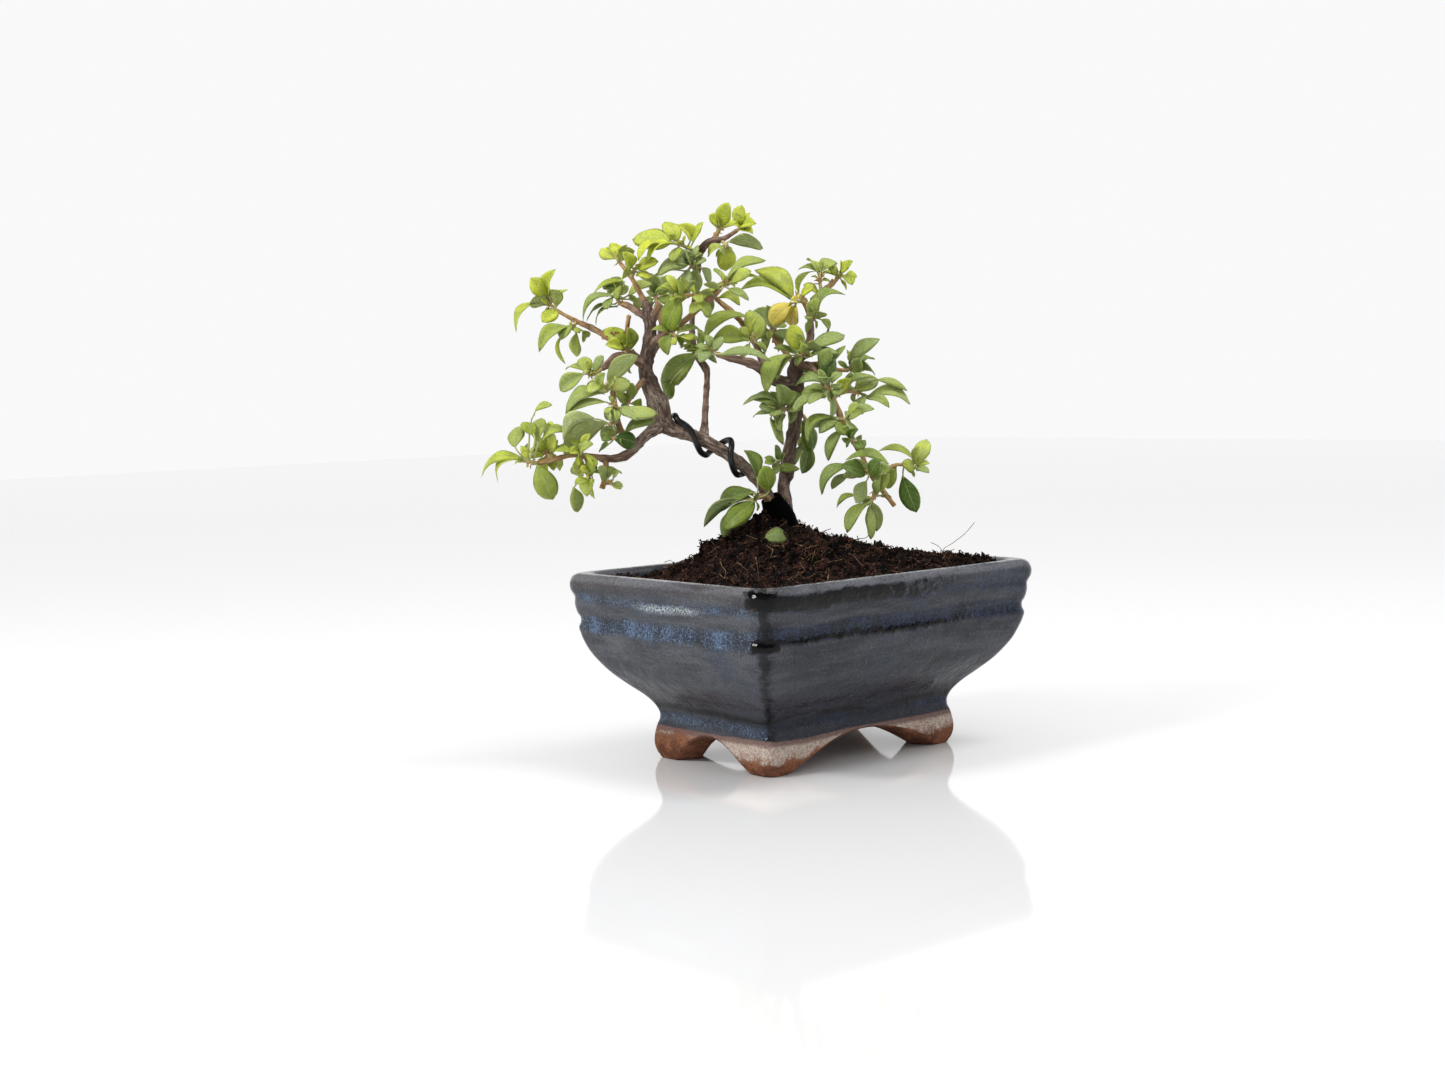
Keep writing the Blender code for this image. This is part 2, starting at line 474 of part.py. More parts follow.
            (27.5, 108.5, 31, 115.3, 5, 0.8), (28.5, 110, 36.5, 112, 3.5, 0.7),
            (20, 113.3, 7.5, 102, 4, 0.7, 3), (18, 110, 12.4, 104.5, 3.5, -0.7),
            (26.5, 107, 21.3, 98, 5.5, -0.9),
        ],
    },
    "low_right_under": {
        "stem": [(31.5, 104.5, 24.2), (29.8, 101.7, 26.5), (28.4, 99.3, 28)],
        "leaves": [
            (22.5, 101, 14, 96.4, 2.2, 0.4, 2), (27, 98, 18, 86.4, 4, 0.7, 0.6),
            (27, 97, 28.2, 83.6, 4, 0.7), (28.3, 98.5, 30.6, 87.3, 5.5, -0.9),
            (30.5, 102.5, 34.7, 109.5, 4, 0.8), (30, 101, 31.2, 109, 2.6, 0.7),
        ],
    },
    "far_right": {
        "stem": [(30, 106.7, 23.9), (33, 110.3, 20), (38.5, 113, 16), (45.5, 111.7, 13)],
        "leaves": [
            (46, 112, 50.5, 122.8, 5.5, 0.8), (45, 115, 30.8, 118.6, 3, 0.5, 2),
            (45.5, 111, 41.3, 113.6, 4, 0.8), (46, 111.3, 51, 110, 2.6, 0.7),
            (40.5, 109, 46, 94, 7, 1.0), (38.5, 113, 34, 103.5, 4, 0.8),
        ],
    },
    "basal": {
        "stem": [(-16.4, 101.3, 9), (-17.4, 101, 10.5), (-18, 100.8, 12)],
        "leaves": [
            (-17, 108.5, -22, 120.3, 4.5, 0.8), (-12.5, 103, -14, 113.8, 7.5, 0.95),
            (-17.5, 103.5, -33, 97, 6.5, 0.8, 1), (-18, 99.5, -31, 88.5, 7.5, 0.9, 1),
            (-22, 100.5, -39.5, 90.6, 4, -0.7, 1.2), (-27, 97.5, -31.8, 85.6, 4, 0.7),
        ],
    },
    "low_tip": {
        "stem": [(-103.5, 117.2, 29), (-105, 117.3, 29.7), (-108, 118.2, 31)],
        "leaves": [
            (-104, 116.5, -98, 102.5, 8, 0.95), (-108.5, 118.5, -126.5, 112.5, 3.5, 0.7, 3),
            (-109, 119, -120, 110, 3, 0.7, 3.5), (-112.5, 123.5, -111, 132.5, 6, 0.9),
            (-108, 118.5, -106.5, 126.8, 3.5, 0.7), (-104.5, 128, -109, 134.3, 6, 0.9),
            (-103.3, 125, -102, 135.6, 5.5, 0.9), (-104.5, 135.5, -97.3, 140, 2.2, 0.5, 1),
            (-102, 126, -90, 130, 3.5, 0.6, 1.5),
        ],
    },
    "low_mid": {
        "stem": [(-98, 118.3, 28), (-99, 119.8, 25), (-99.8, 121.3, 22.5)],
        "leaves": [
            (-98, 121.3, -96.8, 128.5, 4, 0.8), (-100.5, 130.3, -97, 132.2, 2.6, 0.8),
            (-101.5, 120.5, -106.3, 124.2, 4, 0.8), (-101, 121, -103.6, 127, 4, 0.8),
            (-99.5, 121.5, -100, 127.5, 3, 0.7), (-99.5, 119, -97.3, 114.3, 3.5, 0.8),
            (-98, 120, -90.5, 121.5, 2.2, 0.5, 1),
        ],
    },
    "low_hanging": {
        "stem": [(-85, 119.8, 24), (-84, 116.5, 26.5), (-83.5, 112.5, 28), (-84, 110.5, 28.5)],
        "leaves": [
            (-90, 107.5, -88, 97, 5, 0.95), (-86, 113, -90.6, 112.8, 4, -0.8),
            (-82.5, 110.5, -85, 104.3, 6, 0.9), (-83.2, 112, -81.3, 118, 4, 0.8),
            (-84, 111, -86.4, 116.5, 3.5, 0.8), (-84, 110, -89, 108.8, 2.6, 0.7),
            (-82, 110, -81.7, 102.5, 2.2, 0.6),
        ],
    },
    "low_top": {
        "stem": [(-86.5, 119.9, 24.5), (-86.7, 121, 27.5), (-86.5, 122, 29.5)],
        "leaves": [
            (-87, 120.5, -84.8, 124.5, 3, 0.8), (-87.3, 120, -88, 115.8, 3.6, 0.8),
            (-86, 122, -82.5, 124.5, 2.6, 0.6),
        ],
    },
    "spur_tip": {
        "stem": [(-78, 109, 23.6), (-76, 108.5, 26), (-74.8, 109, 28)],
        "leaves": [(-76.5, 109.5, -70.5, 112.8, 4, 0.7, 1.5), (-77, 110, -79.5, 115, 3, 0.6)],
    },
    "grey_leaves": {
        "stem": [(-71.6, 133, 21), (-73.3, 132.4, 24.5), (-75, 131.8, 27)],
        "leaves": [
            (-75, 132.3, -93.3, 120, 8, -0.9, 1), (-72.5, 131, -78, 126, 6, -0.9),
            (-80, 134, -93.6, 126, 5, -0.7, 2),
        ],
    },
    "dark_leaf": {
        "stem": [(-67.6, 124.7, 17.5), (-71, 125.6, 23), (-73.3, 126.3, 26.5)],
        "leaves": [
            (-73.5, 126.3, -64, 123.6, 6.5, 0.95, 0.5), (-75, 124, -79.4, 121.6, 2.6, 0.6),
            (-69, 128, -57, 133.3, 4, 0.6, 1.5),
        ],
    },
    "ochre_top": {
        "stem": [(-73.2, 145, 22), (-73.7, 145.8, 23), (-74.4, 146.4, 24)],
        "leaves": [
            (-76, 143.5, -92.7, 138, 5, 0.6, 2.5), (-75.5, 145.5, -82.7, 147.5, 5, -0.8),
            (-75.5, 145.3, -66, 149.3, 6, 0.9), (-77, 147.5, -82.5, 144.8, 4, 0.7),
            (-75.5, 149, -63, 158.7, 6, -0.9), (-78.3, 147, -75.8, 152, 4, 0.9),
        ],
    },
    "ochre_low": {
        "stem": [(-72.3, 137.5, 21.8), (-73, 138.6, 25.5), (-73, 139.2, 28)],
        "leaves": [
            (-76, 140.5, -91.5, 137.2, 3, 0.6, 1), (-73.5, 139, -76.5, 133.3, 5, 0.9),
            (-70.5, 136.5, -55.6, 136.3, 5.5, 0.8), (-71, 138.5, -63.3, 133.5, 4, 0.7),
        ],
    },
    "stub_rosette": {
        "stem": [(-77.3, 153.7, 17), (-79.5, 151.9, 18.5), (-82.5, 151.3, 20)],
        "leaves": [
            (-84, 152, -94, 145.5, 6, 0.95), (-83.5, 152.5, -91.7, 154, 2.6, 0.5, 1.5),
            (-82.7, 152, -84.2, 159, 5, 0.95), (-80.5, 152.5, -77, 158.7, 3.5, 0.8),
        ],
    },
    "spur_leaves": {
        "stem": [(-66.2, 141.8, 11), (-66.8, 140.8, 11.7), (-67.2, 139.9, 12.3)],
        "leaves": [
            (-66.7, 141.3, -65.4, 147.6, 4, 0.9), (-67.5, 140, -72, 144.5, 4, 0.7),
            (-66.5, 139.8, -61.5, 136.5, 3, 0.6),
        ],
    },
    "arm_base": {
        "stem": [(-66, 160, -2), (-67.3, 161, 2.5), (-68, 161.5, 5.5)],
        "leaves": [
            (-67.5, 161, -76, 169.3, 8, 0.9), (-66, 160.5, -66.3, 169.6, 4.5, 0.8),
            (-69, 160.5, -75.3, 163.3, 4, 0.7), (-66.5, 157.5, -66.8, 152, 5, 0.9),
        ],
    },
    "back_crown": {
        "stem": [(-54.5, 178, -25), (-55, 180, -27), (-55, 182, -29)],
        "leaves": [
            (-55.5, 182, -62, 190.5, 5, -0.7), (-54.5, 182, -48, 189, 5, -0.8),
            (-55.5, 180.5, -64, 178, 4, 0.6), (-54.5, 180.5, -46.5, 178, 4, 0.6),
            (-55, 182.5, -56.5, 190, 5, 0.8), (-54.5, 179.5, -52, 172, 5, -0.7),
            (-55.5, 179.5, -60, 172, 4, 0.6), (-55, 182, -53, 186, 6, 0.3),
        ],
    },
    "back_right": {
        "stem": [(-9, 164, -26), (-9.6, 166, -28), (-9.8, 168, -30)],
        "leaves": [
            (-10, 168, -17, 175, 5, -0.7), (-9.5, 168, -3, 173.5, 5, -0.8),
            (-10, 166.5, -18.5, 164, 4, 0.6), (-9.5, 166.5, -1.5, 163.5, 4, 0.6),
            (-9.8, 168.5, -11, 176.5, 5, 0.8), (-9.5, 165.5, -6.5, 158.5, 5, -0.7),
            (-10, 165.5, -14, 157.5, 4, 0.6), (-9.8, 168, -8.5, 172, 6, 0.3),
        ],
    },
}


ACROSS = Vector((math.cos(VIEW_AZIMUTH), math.sin(VIEW_AZIMUTH), 0.0))
TOWARDS = Vector((math.sin(VIEW_AZIMUTH), -math.cos(VIEW_AZIMUTH), 0.0))
UP = Vector((0.0, 0.0, 1.0))

# Colour, roughness and metallic value of each material
MATERIALS = {
    "glaze": ((0.045, 0.055, 0.075), 0.28, 0.0),
    "soil": ((0.045, 0.022, 0.013), 0.95, 0.0),
    "bark": ((0.16, 0.105, 0.075), 0.85, 0.0),
    "sleeve": ((0.008, 0.008, 0.009), 0.55, 0.0),
    "wire": ((0.012, 0.012, 0.014), 0.4, 0.6),
    "leaf": ((0.22, 0.34, 0.06), 0.6, 0.0),
    "yellow_leaf": ((0.62, 0.48, 0.10), 0.6, 0.0),
}


def seen(u, v, w):
    """The place for a point of the drawing, carried along the line of sight to its depth w."""
    nearer = 1.0 - w / EYE_DISTANCE
    across = EYE_SIDE + (u - EYE_SIDE) * nearer
    height = EYE_HEIGHT + (v - EYE_HEIGHT) * nearer
    return MM * (ACROSS * across + TOWARDS * w + UP * height)


def drawn_place(point):
    """The reverse of seen(): u, v and w of a place."""
    w = point.dot(TOWARDS) / MM
    nearer = 1.0 - w / EYE_DISTANCE
    u = EYE_SIDE + (point.dot(ACROSS) / MM - EYE_SIDE) / nearer
    v = EYE_HEIGHT + (point.z / MM - EYE_HEIGHT) / nearer
    return Vector((u, v, w))


def material(name):
    made = bpy.data.materials.get(name)
    if made is None:
        colour, roughness, metallic = MATERIALS[name]
        made = bpy.data.materials.new(name)
        made.use_nodes = True
        shader = made.node_tree.nodes["Principled BSDF"]
        shader.inputs["Base Color"].default_value = (*colour, 1.0)
        shader.inputs["Roughness"].default_value = roughness
        shader.inputs["Metallic"].default_value = metallic
    return made


def collection(name):
    made = bpy.data.collections.new(name)
    bpy.context.scene.collection.children.link(made)
    return made


def add_object(name, data, home):
    made = bpy.data.objects.new(name, data)
    home.objects.link(made)
    return made


def evaluated_mesh(obj):
    graph = bpy.context.evaluated_depsgraph_get()
    return bpy.data.meshes.new_from_object(obj.evaluated_get(graph))


def apply_modifiers(obj):
    mesh = evaluated_mesh(obj)
    obj.modifiers.clear()
    old = obj.data
    obj.data = mesh
    bpy.data.meshes.remove(old)


def weld(mesh, distance=1e-7):
    bm = bmesh.new()
    bm.from_mesh(mesh)
    bmesh.ops.remove_doubles(bm, verts=bm.verts, dist=distance)
    bmesh.ops.recalc_face_normals(bm, faces=bm.faces)
    bm.to_mesh(mesh)
    bm.free()


def boolean(obj, operation, home, solver="EXACT"):
    """Joins or cuts the object with everything in a collection, which is then removed."""
    step = obj.modifiers.new(operation.lower(), "BOOLEAN")
    step.operation = operation
    step.operand_type = "COLLECTION"
    step.collection = home
    step.solver = solver
    apply_modifiers(obj)
    for piece in list(home.objects):
        bpy.data.objects.remove(piece)
    bpy.data.collections.remove(home)


def smooth_path(knots, step):
    """A smooth curve through the knots, each a place and a radius, with a row every step or so."""
    ends = [knots[0] * 2 - knots[1]] + list(knots) + [knots[-1] * 2 - knots[-2]]
    rows = []
    for before, start, end, after in zip(ends, ends[1:], ends[2:], ends[3:]):
        pieces = max(1, round((end - start).length / step))
        for i in range(pieces):
            t = i / pieces
            rows.append(
                0.5
                * (
                    2 * start
                    + (end - before) * t
                    + (2 * before - 5 * start + 4 * end - after) * t**2
                    + (3 * start - before - 3 * end + after) * t**3
                )
            )
    rows.append(knots[-1])
    return rows


def drawn_path(points, step):
    """The smooth path through points of the drawing, each u, v, w and radius in millimetres."""
    knots = [Vector((*seen(u, v, w), radius * MM)) for u, v, w, radius in points]
    return smooth_path(knots, step * MM)


def tube(name, path, sides, home):
    """A round tapered tube along the path, as a closed mesh."""
    curve = bpy.data.curves.new(name, "CURVE")
    curve.dimensions = "3D"
    curve.bevel_depth = MM
    curve.bevel_resolution = (sides - 4) // 2
    curve.use_fill_caps = True
    spline = curve.splines.new("POLY")
    spline.points.add(len(path) - 1)
    for point, row in zip(spline.points, path):
        point.co = (*row[:3], 1.0)
        point.radius = row[3] / MM
    guide = add_object(name + "_curve", curve, home)
    mesh = evaluated_mesh(guide)
    bpy.data.objects.remove(guide)
    weld(mesh)
    return add_object(name, mesh, home)


def rounded_rectangle(half_x, half_y, radius, z, corner_steps, side_steps):
    """Points round a rectangle with round corners at height z, anticlockwise from above."""
    points = []
    for quarter in range(4):
        side_x = (half_x - radius) * (1 if quarter in (0, 3) else -1)
        side_y = (half_y - radius) * (1 if quarter in (0, 1) else -1)
        for i in range(corner_steps + 1):
            angle = math.radians(90 * (quarter + i / corner_steps))
            edge = Vector((math.cos(angle), math.sin(angle), 0)) * radius
            points.append(Vector((side_x, side_y, z)) + edge)
        run = (half_x if quarter in (0, 2) else half_y) - radius
        step = Vector((-1, 0, 0)) if quarter in (0, 2) else Vector((0, -1, 0))
        step *= (1 if quarter in (0, 1) else -1) * 2 * run / side_steps
        points += [points[-1] + step * i for i in range(1, side_steps)]
    return points


def pot_ring(inset, z, corner_steps=3, side_steps=1):
    """The pot's outline at a height, inset from the rim's edge."""
    radius = CORNER_RADIUS * (1 - inset / NO_CORNER_INSET)
    half_x = POT_LENGTH / 2 - inset
    half_y = POT_WIDTH / 2 - inset
    return rounded_rectangle(half_x, half_y, radius, z, corner_steps, side_steps)


def loft(name, rings, home):
    """A closed solid through rings of equal count, from the bottom up."""
    bm = bmesh.new()
    rows = [[bm.verts.new(point) for point in ring] for ring in rings]
    for low, high in zip(rows, rows[1:]):
        for i in range(len(low)):
            bm.faces.new((low[i - 1], low[i], high[i], high[i - 1]))
    bm.faces.new(rows[0][::-1])
    bm.faces.new(rows[-1])
    bmesh.ops.recalc_face_normals(bm, faces=bm.faces)
    mesh = bpy.data.meshes.new(name)
    bm.to_mesh(mesh)
    bm.free()
    return add_object(name, mesh, home)


def cylinder(name, radius, low, high, place, home, sides=16):
    bm = bmesh.new()
    bmesh.ops.create_cone(
        bm, cap_ends=True, segments=sides, radius1=radius, radius2=radius, depth=high - low
    )
    bmesh.ops.translate(bm, verts=bm.verts, vec=(place[0], place[1], (low + high) / 2))
    mesh = bpy.data.meshes.new(name)
    bm.to_mesh(mesh)
    bm.free()
    return add_object(name, mesh, home)


def foot_arch(name, half_span, turn, home):
    """A long low elliptic cutter that opens the arch between the feet on two sides of the pot."""
    cutter = cylinder(name, 1.0, -ARCH_CUTTER_HALF, ARCH_CUTTER_HALF, (0, 0), home, sides=22)
    shape = Matrix.Diagonal((half_span, ARCH_HEIGHT, 1.0, 1.0))
    upright = Matrix.Rotation(math.radians(90), 4, "X")
    cutter.data.transform(Matrix.Rotation(turn, 4, "Z") @ upright @ shape)
    return cutter


def build_pot(home):
    """The pot: its lofted outside, less the cavity, the hollow under it, its arches and drains."""
    rings = [pot_ring(inset * MM, z * MM) for z, inset in POT_SIDE]
    pot = loft("pot", rings, home)
    cutters = collection("pot_cutters")
    cavity = [pot_ring(inset * MM, z * MM) for z, inset in CAVITY_SIDE]
    loft("cavity", cavity, cutters)
    loft("hollow", [pot_ring(HOLLOW_INSET, z) for z in (-HOLLOW_TOP, HOLLOW_TOP)], cutters)
    foot_arch("long_arch", LONG_ARCH_HALF, 0.0, cutters)
    foot_arch("short_arch", SHORT_ARCH_HALF, math.radians(90), cutters)
    for side in (-1, 1):
        cylinder("drain", DRAIN_RADIUS, *DRAIN_CUT, (side * DRAIN_SPACING / 2, 0), cutters)
    boolean(pot, "DIFFERENCE", cutters)
    return pot


def soil_height(x, y):
    """Height of the soil at a place: level at the rim, heaped round the stock, and crumbly."""
    u = (x * ACROSS.x + y * ACROSS.y) / MM - SOIL_CENTRE
    w = (x * TOWARDS.x + y * TOWARDS.y) / MM
    aside = abs(u / HEAP_LEFT) ** 3 if u < 0 else abs(u / HEAP_RIGHT) ** 1.1
    heap = math.exp(-aside - abs(w / HEAP_DEPTH) ** 1.8)
    off = (Vector((u, w)) - Vector(MOUND_PLACE)).length / MOUND_REACH
    mound = MOUND_HEIGHT * math.exp(-(off**2))
    crumb = sum(noise.noise(Vector((x, y, 0)) / (size * MM)) for size in CRUMB_SIZES)
    return (SOIL_EDGE + SOIL_PEAK * heap + mound + SOIL_CRUMB * crumb) * MM


def soil_ring(inset, z):
    """The pot's inside outline less the gap, a gap above the pot's floor."""
    return pot_ring(inset * MM + GAP, z * MM + GAP, 2, 4)


def build_soil(home):
    """The soil: it fills the cavity, rises to the heap, and has a plain hole for the stock."""
    filled = [(z, inset) for z, inset in CAVITY_SIDE if z < SOIL_EDGE]
    filled.append((SOIL_EDGE - 2, SOIL_INSET))
    rings = [soil_ring(inset, z) for z, inset in filled]
    middle = seen(*STOCK[-1][:3])
    outline = soil_ring(SOIL_INSET, 0)
    for share in SOIL_RINGS:
        ring = [middle.lerp(point, share) for point in outline]
        rings.append([Vector((p.x, p.y, soil_height(p.x, p.y))) for p in ring])
    soil = loft("soil", rings, home)
    holes = collection("soil_cutters")
    for radius, bottom in (
        (STOCK[-1][3] * MM + GAP, STOCK_HOLE_BOTTOM),
        (SLEEVE_HOLE_RADIUS * MM, SLEEVE_HOLE_BOTTOM),
    ):
        cylinder("hole", radius, bottom * MM, HOLE_TOP * MM, middle, holes)
    boolean(soil, "DIFFERENCE", holes, "MANIFOLD")
    return soil


def branch_tube(name, points, wider, home):
    path = [Vector((*row[:3], row[3] + wider)) for row in drawn_path(points, BRANCH_STEP)]
    thick = max(row[3] for row in points) > STOUT_BRANCH
    return tube(name, path, 8 if thick else 6, home)


def build_wood(home):
    """The grown wood, one solid: the stock in the soil and every branch, twig and stub."""
    wood = branch_tube("wood", STOCK, 0, home)
    grown = collection("grown")
    for name, points in BRANCHES.items():
        branch_tube(name, points, 0, grown)
    boolean(wood, "UNION", grown)
    return wood


def build_sleeve(home):
    """The black sleeve: a tapered wrap with room inside for the stock and both stems."""
    sleeve = tube("root_wrap", drawn_path(SLEEVE, 6.0), 10, home)
    inside = collection("sleeve_cutters")
    for name in ("left_stem", "right_stem", "basal_spur"):
        branch_tube(name + "_room", BRANCHES[name], GAP * 1.3, inside)
    branch_tube("stock_room", STOCK, GAP * 1.3, inside)
    boolean(sleeve, "DIFFERENCE", inside)
    return sleeve


def between(table, u):
    """The values of a table of rows, read at u by straight steps between its rows."""
    for start, end in zip(table, table[1:]):
        if start[0] <= u <= end[0]:
            share = (u - start[0]) / (end[0] - start[0])
            return [a + (b - a) * share for a, b in zip(start[1:], end[1:])]
    return table[-1][1:]


def build_wire(home):
    """The training wire: turns round the left stem, worked out along its path."""
    stem = drawn_path(BRANCHES["left_stem"], 0.5)
    path = []
    for row, ahead in zip(stem, stem[1:]):
        place = Vector(row[:3])
        u = place.dot(ACROSS) / MM
        if not WINDING[0][0] < u < WINDING[-1][0] or place.z > WIRE_CEILING * MM:
            continue
        along = (Vector(ahead[:3]) - place).normalized()
        front = (TOWARDS - along * TOWARDS.dot(along)).normalized()
        top = along.cross(front)
        top *= 1 if top.z > 0 else -1
        angle, slack = between(WINDING, u)
        turn = math.radians(angle)
        away = row[3] + GAP + (WIRE_RADIUS + slack) * MM
        spot = place + away * (front * math.cos(turn) + top * math.sin(turn))
        path.append(Vector((*spot, WIRE_RADIUS * MM)))
    return tube("wire", thinned(path, WIRE_STEP * MM), 8, home)


def thinned(path, step):
    """The rows of a path that lie at least a step apart, with its last one."""
    kept = [path[0]]
    for row in path[1:-1]:
        if (row - kept[-1]).length > step and (row - path[-1]).length > step * 0.6:
            kept.append(row)
    return kept + [path[-1]]


class Taken:
    """The surfaces that are already placed, which a new leaf is bent clear of."""

    def __init__(self):
        self.points = []
        self.faces = []
        self.tree = None

    def add(self, obj):
        first = len(self.points)
        self.points += [vertex.co.copy() for vertex in obj.data.vertices]
        self.faces += [[first + i for i in face.vertices] for face in obj.data.polygons]
        self.tree = BVHTree.FromPolygons(self.points, self.faces)


class Leaf:
    """One leaf: its foot and tip on the drawing, its width and face, and where it grows from."""

    def __init__(self, row, spots, chance):
        self.foot = Vector(row[0:2])
        self.reach = Vector(row[2:4]) - self.foot
        self.width, self.face = row[4:6]
        self.bow = row[6] if len(row) > 6 else 0.0
        self.node = min(spots, key=lambda spot: (drawn_place(spot).xy - self.foot).length)
        self.depth = drawn_place(self.node).z
        self.side = 1 if chance.random() < 0.5 else -1
        self.lean_share = chance.uniform(*LEAN_SHARE)
        self.arch = ARCH * chance.uniform(*ARCH_SHARE)

    def ends(self, shorten, swing, lean):
        """The blade's foot and tip in space."""
        drawn = self.reach.length
        full = max(drawn, (drawn + FULL_LEAF) / 2)
        hidden = max(math.sqrt(full**2 - drawn**2), self.lean_share * drawn)
        tip = self.foot + Matrix.Rotation(math.radians(swing), 2) @ self.reach * shorten
        depth = self.depth + (hidden * self.side + lean) * shorten
        return seen(*self.foot, self.depth + lean * FOOT_LEAN), seen(*tip, depth)

    def rows(self, shorten, swing, lean):
        """Pairs of points across the leaf, from its node to its tip, and its upper normal."""
        start, end = self.ends(shorten, swing, lean)
        length = (end - start).length
        along = (end - start) / length
        facing = (TOWARDS - along * TOWARDS.dot(along)).normalized()
        rising = along.cross(facing)
        rising *= 1 if rising.z >= 0 else -1
        normal = facing * self.face + rising * math.sqrt(1 - self.face**2)
        across = normal.cross(along)
        full_width = self.width / max(abs(self.face), LEAST_FACE) * MM
        half = min(full_width, length * WIDEST_BLADE) / 2
        lift = normal * self.arch * length + rising * self.bow * MM
        small = self.reach.length < SMALL_LEAF
        rows = []
        for t, share in SMALL_BLADE_ROWS if small else BLADE_ROWS:
            middle = start.lerp(end, t) + lift * 4 * t * (1 - t)
            rows.append(pair(middle, across, half * share))
        return self.stalk_rows(start, sum(rows[0], Vector()) / 2, along, across) + rows, normal

    def stalk_rows(self, foot, first_middle, along, across):
        """The leaf's root in its shoot and, where its stalk is long enough, the blade's foot."""
        stalk = foot - self.node
        if stalk.length > SHORT_STALK * MM and stalk.angle(along) < SHARPEST_BEND:
            turn = along.rotation_difference(stalk)
            half_turn = turn.slerp(Quaternion(), 0.5)
            root = pair(self.node, turn @ across, ROOT_WIDTH / 2 * MM)
            return [root, pair(foot, half_turn @ across, STALK_WIDTH / 2 * MM)]
        turn = along.rotation_difference(first_middle - self.node)
        return [pair(self.node, turn @ across, ROOT_WIDTH / 2 * MM)]


def pair(middle, across, half):
    return [middle - across * half, middle + across * half]


def outer_spots(path):
    """Places along the outer part of a shoot's stem, where its leaves grow from."""
    spots = []
    for start, end in zip(path, path[1:]):
        spots += [Vector(start.lerp(end, i / 8)[:3]) for i in range(8)]
    return spots[round(len(spots) * BARE_SHARE) :]


def shell(rows, normal, clearance):
    """A closed shape that holds a leaf with clearance all round, to test it on its neighbours."""
    points = []
    for low, high in rows:
        spread = high - low
        edge = spread.normalized() if spread.length > 1e-6 else Vector((0, 0, 0))
        for level in (-1, 1):
            points.append(low + (normal * level - edge * 0.6) * clearance)
            points.append(high + (normal * level + edge * 0.6) * clearance)
    faces = [(0, 1, 3, 2)]
    for row in range(0, len(points) - 4, 4):
        for a, b in ((0, 1), (1, 3), (3, 2), (2, 0)):
            faces.append((row + a, row + b, row + b + 4, row + a + 4))
    faces.append(tuple(len(points) - 4 + i for i in (0, 1, 3, 2)))
    return BVHTree.FromPolygons(points, faces)


def clear_rows(leaf, taken, siblings):
    """The leaf's rows, bent as little as it takes to clear what is already there, or None."""
    crossing = None
    for shorten in SHORTENINGS:
        for swing in SWINGS:
            for lean in LEANS:
                rows, normal = leaf.rows(shorten, swing, lean)
                room = shell(rows, normal, CLEARANCE * MM)
                if room.overlap(taken.tree):
                    continue
                blade_room = shell(rows[-2:], normal, CLEARANCE * MM)
                if not any(blade_room.overlap(other) for other in siblings):
                    siblings.append(blade_room)
                    return rows
                crossing = crossing or rows
    return crossing


def blade(name, rows, home):
    """A leaf as a closed solid: a grid laid over its rows and given its thickness."""
    bm = bmesh.new()
    bmesh.ops.create_grid(bm, x_segments=1, y_segments=len(rows) - 1, size=1.0)
    order = sorted(bm.verts, key=lambda vert: (round(vert.co.y, 3), round(vert.co.x, 3)))
    for vert, point in zip(order, [point for row in rows for point in row]):
        vert.co = point
    bmesh.ops.remove_doubles(bm, verts=bm.verts, dist=1e-6)
    bmesh.ops.triangulate(bm, faces=bm.faces)
    mesh = bpy.data.meshes.new(name)
    bm.to_mesh(mesh)
    bm.free()
    leaf = add_object(name, mesh, home)
    wall = leaf.modifiers.new("thickness", "SOLIDIFY")
    wall.thickness = BLADE_THICKNESS * MM
    wall.offset = 0.0
    apply_modifiers(leaf)
    weld(leaf.data)
    return leaf


def shoot_path(drawn, taken):
    """The path of a shoot's stem, from where it is just clear of the twig that bears it."""
    first, last = SHOOT_RADIUS
    count = len(drawn) - 1
    points = [(*row, first + (last - first) * i / count) for i, row in enumerate(drawn)]
    path = drawn_path(points, 0.25)
    start = 0
    for i, (row, ahead) in enumerate(zip(path, path[1:])):
        place = Vector(row[:3])
        along = (Vector(ahead[:3]) - place).normalized()
        near, normal, _, apart = taken.tree.find_nearest(place)
        slant = math.sqrt(max(0.0, 1 - along.dot(normal) ** 2))
        if (place - near).dot(normal) < 0 or apart < GAP + row[3] * slant:
            start = i + 1
    return thinned(path[start:], SHOOT_STEP * MM)


def build_shoot(name, shoot, taken, chance, home):
    """A leafy shoot: a short stem that starts clear of its twig, with its leaves fused to it."""
    path = shoot_path(shoot["stem"], taken)
    stem = tube("spray_" + name, path, SHOOT_SIDES, home)
    spots = outer_spots(path)
    grown = collection("grown")
    siblings = []
    for row in shoot["leaves"]:
        rows = clear_rows(Leaf(row, spots, chance), taken, siblings)
        if rows:
            blade("leaf", rows, grown)
    boolean(stem, "UNION", grown, "MANIFOLD")
    return stem


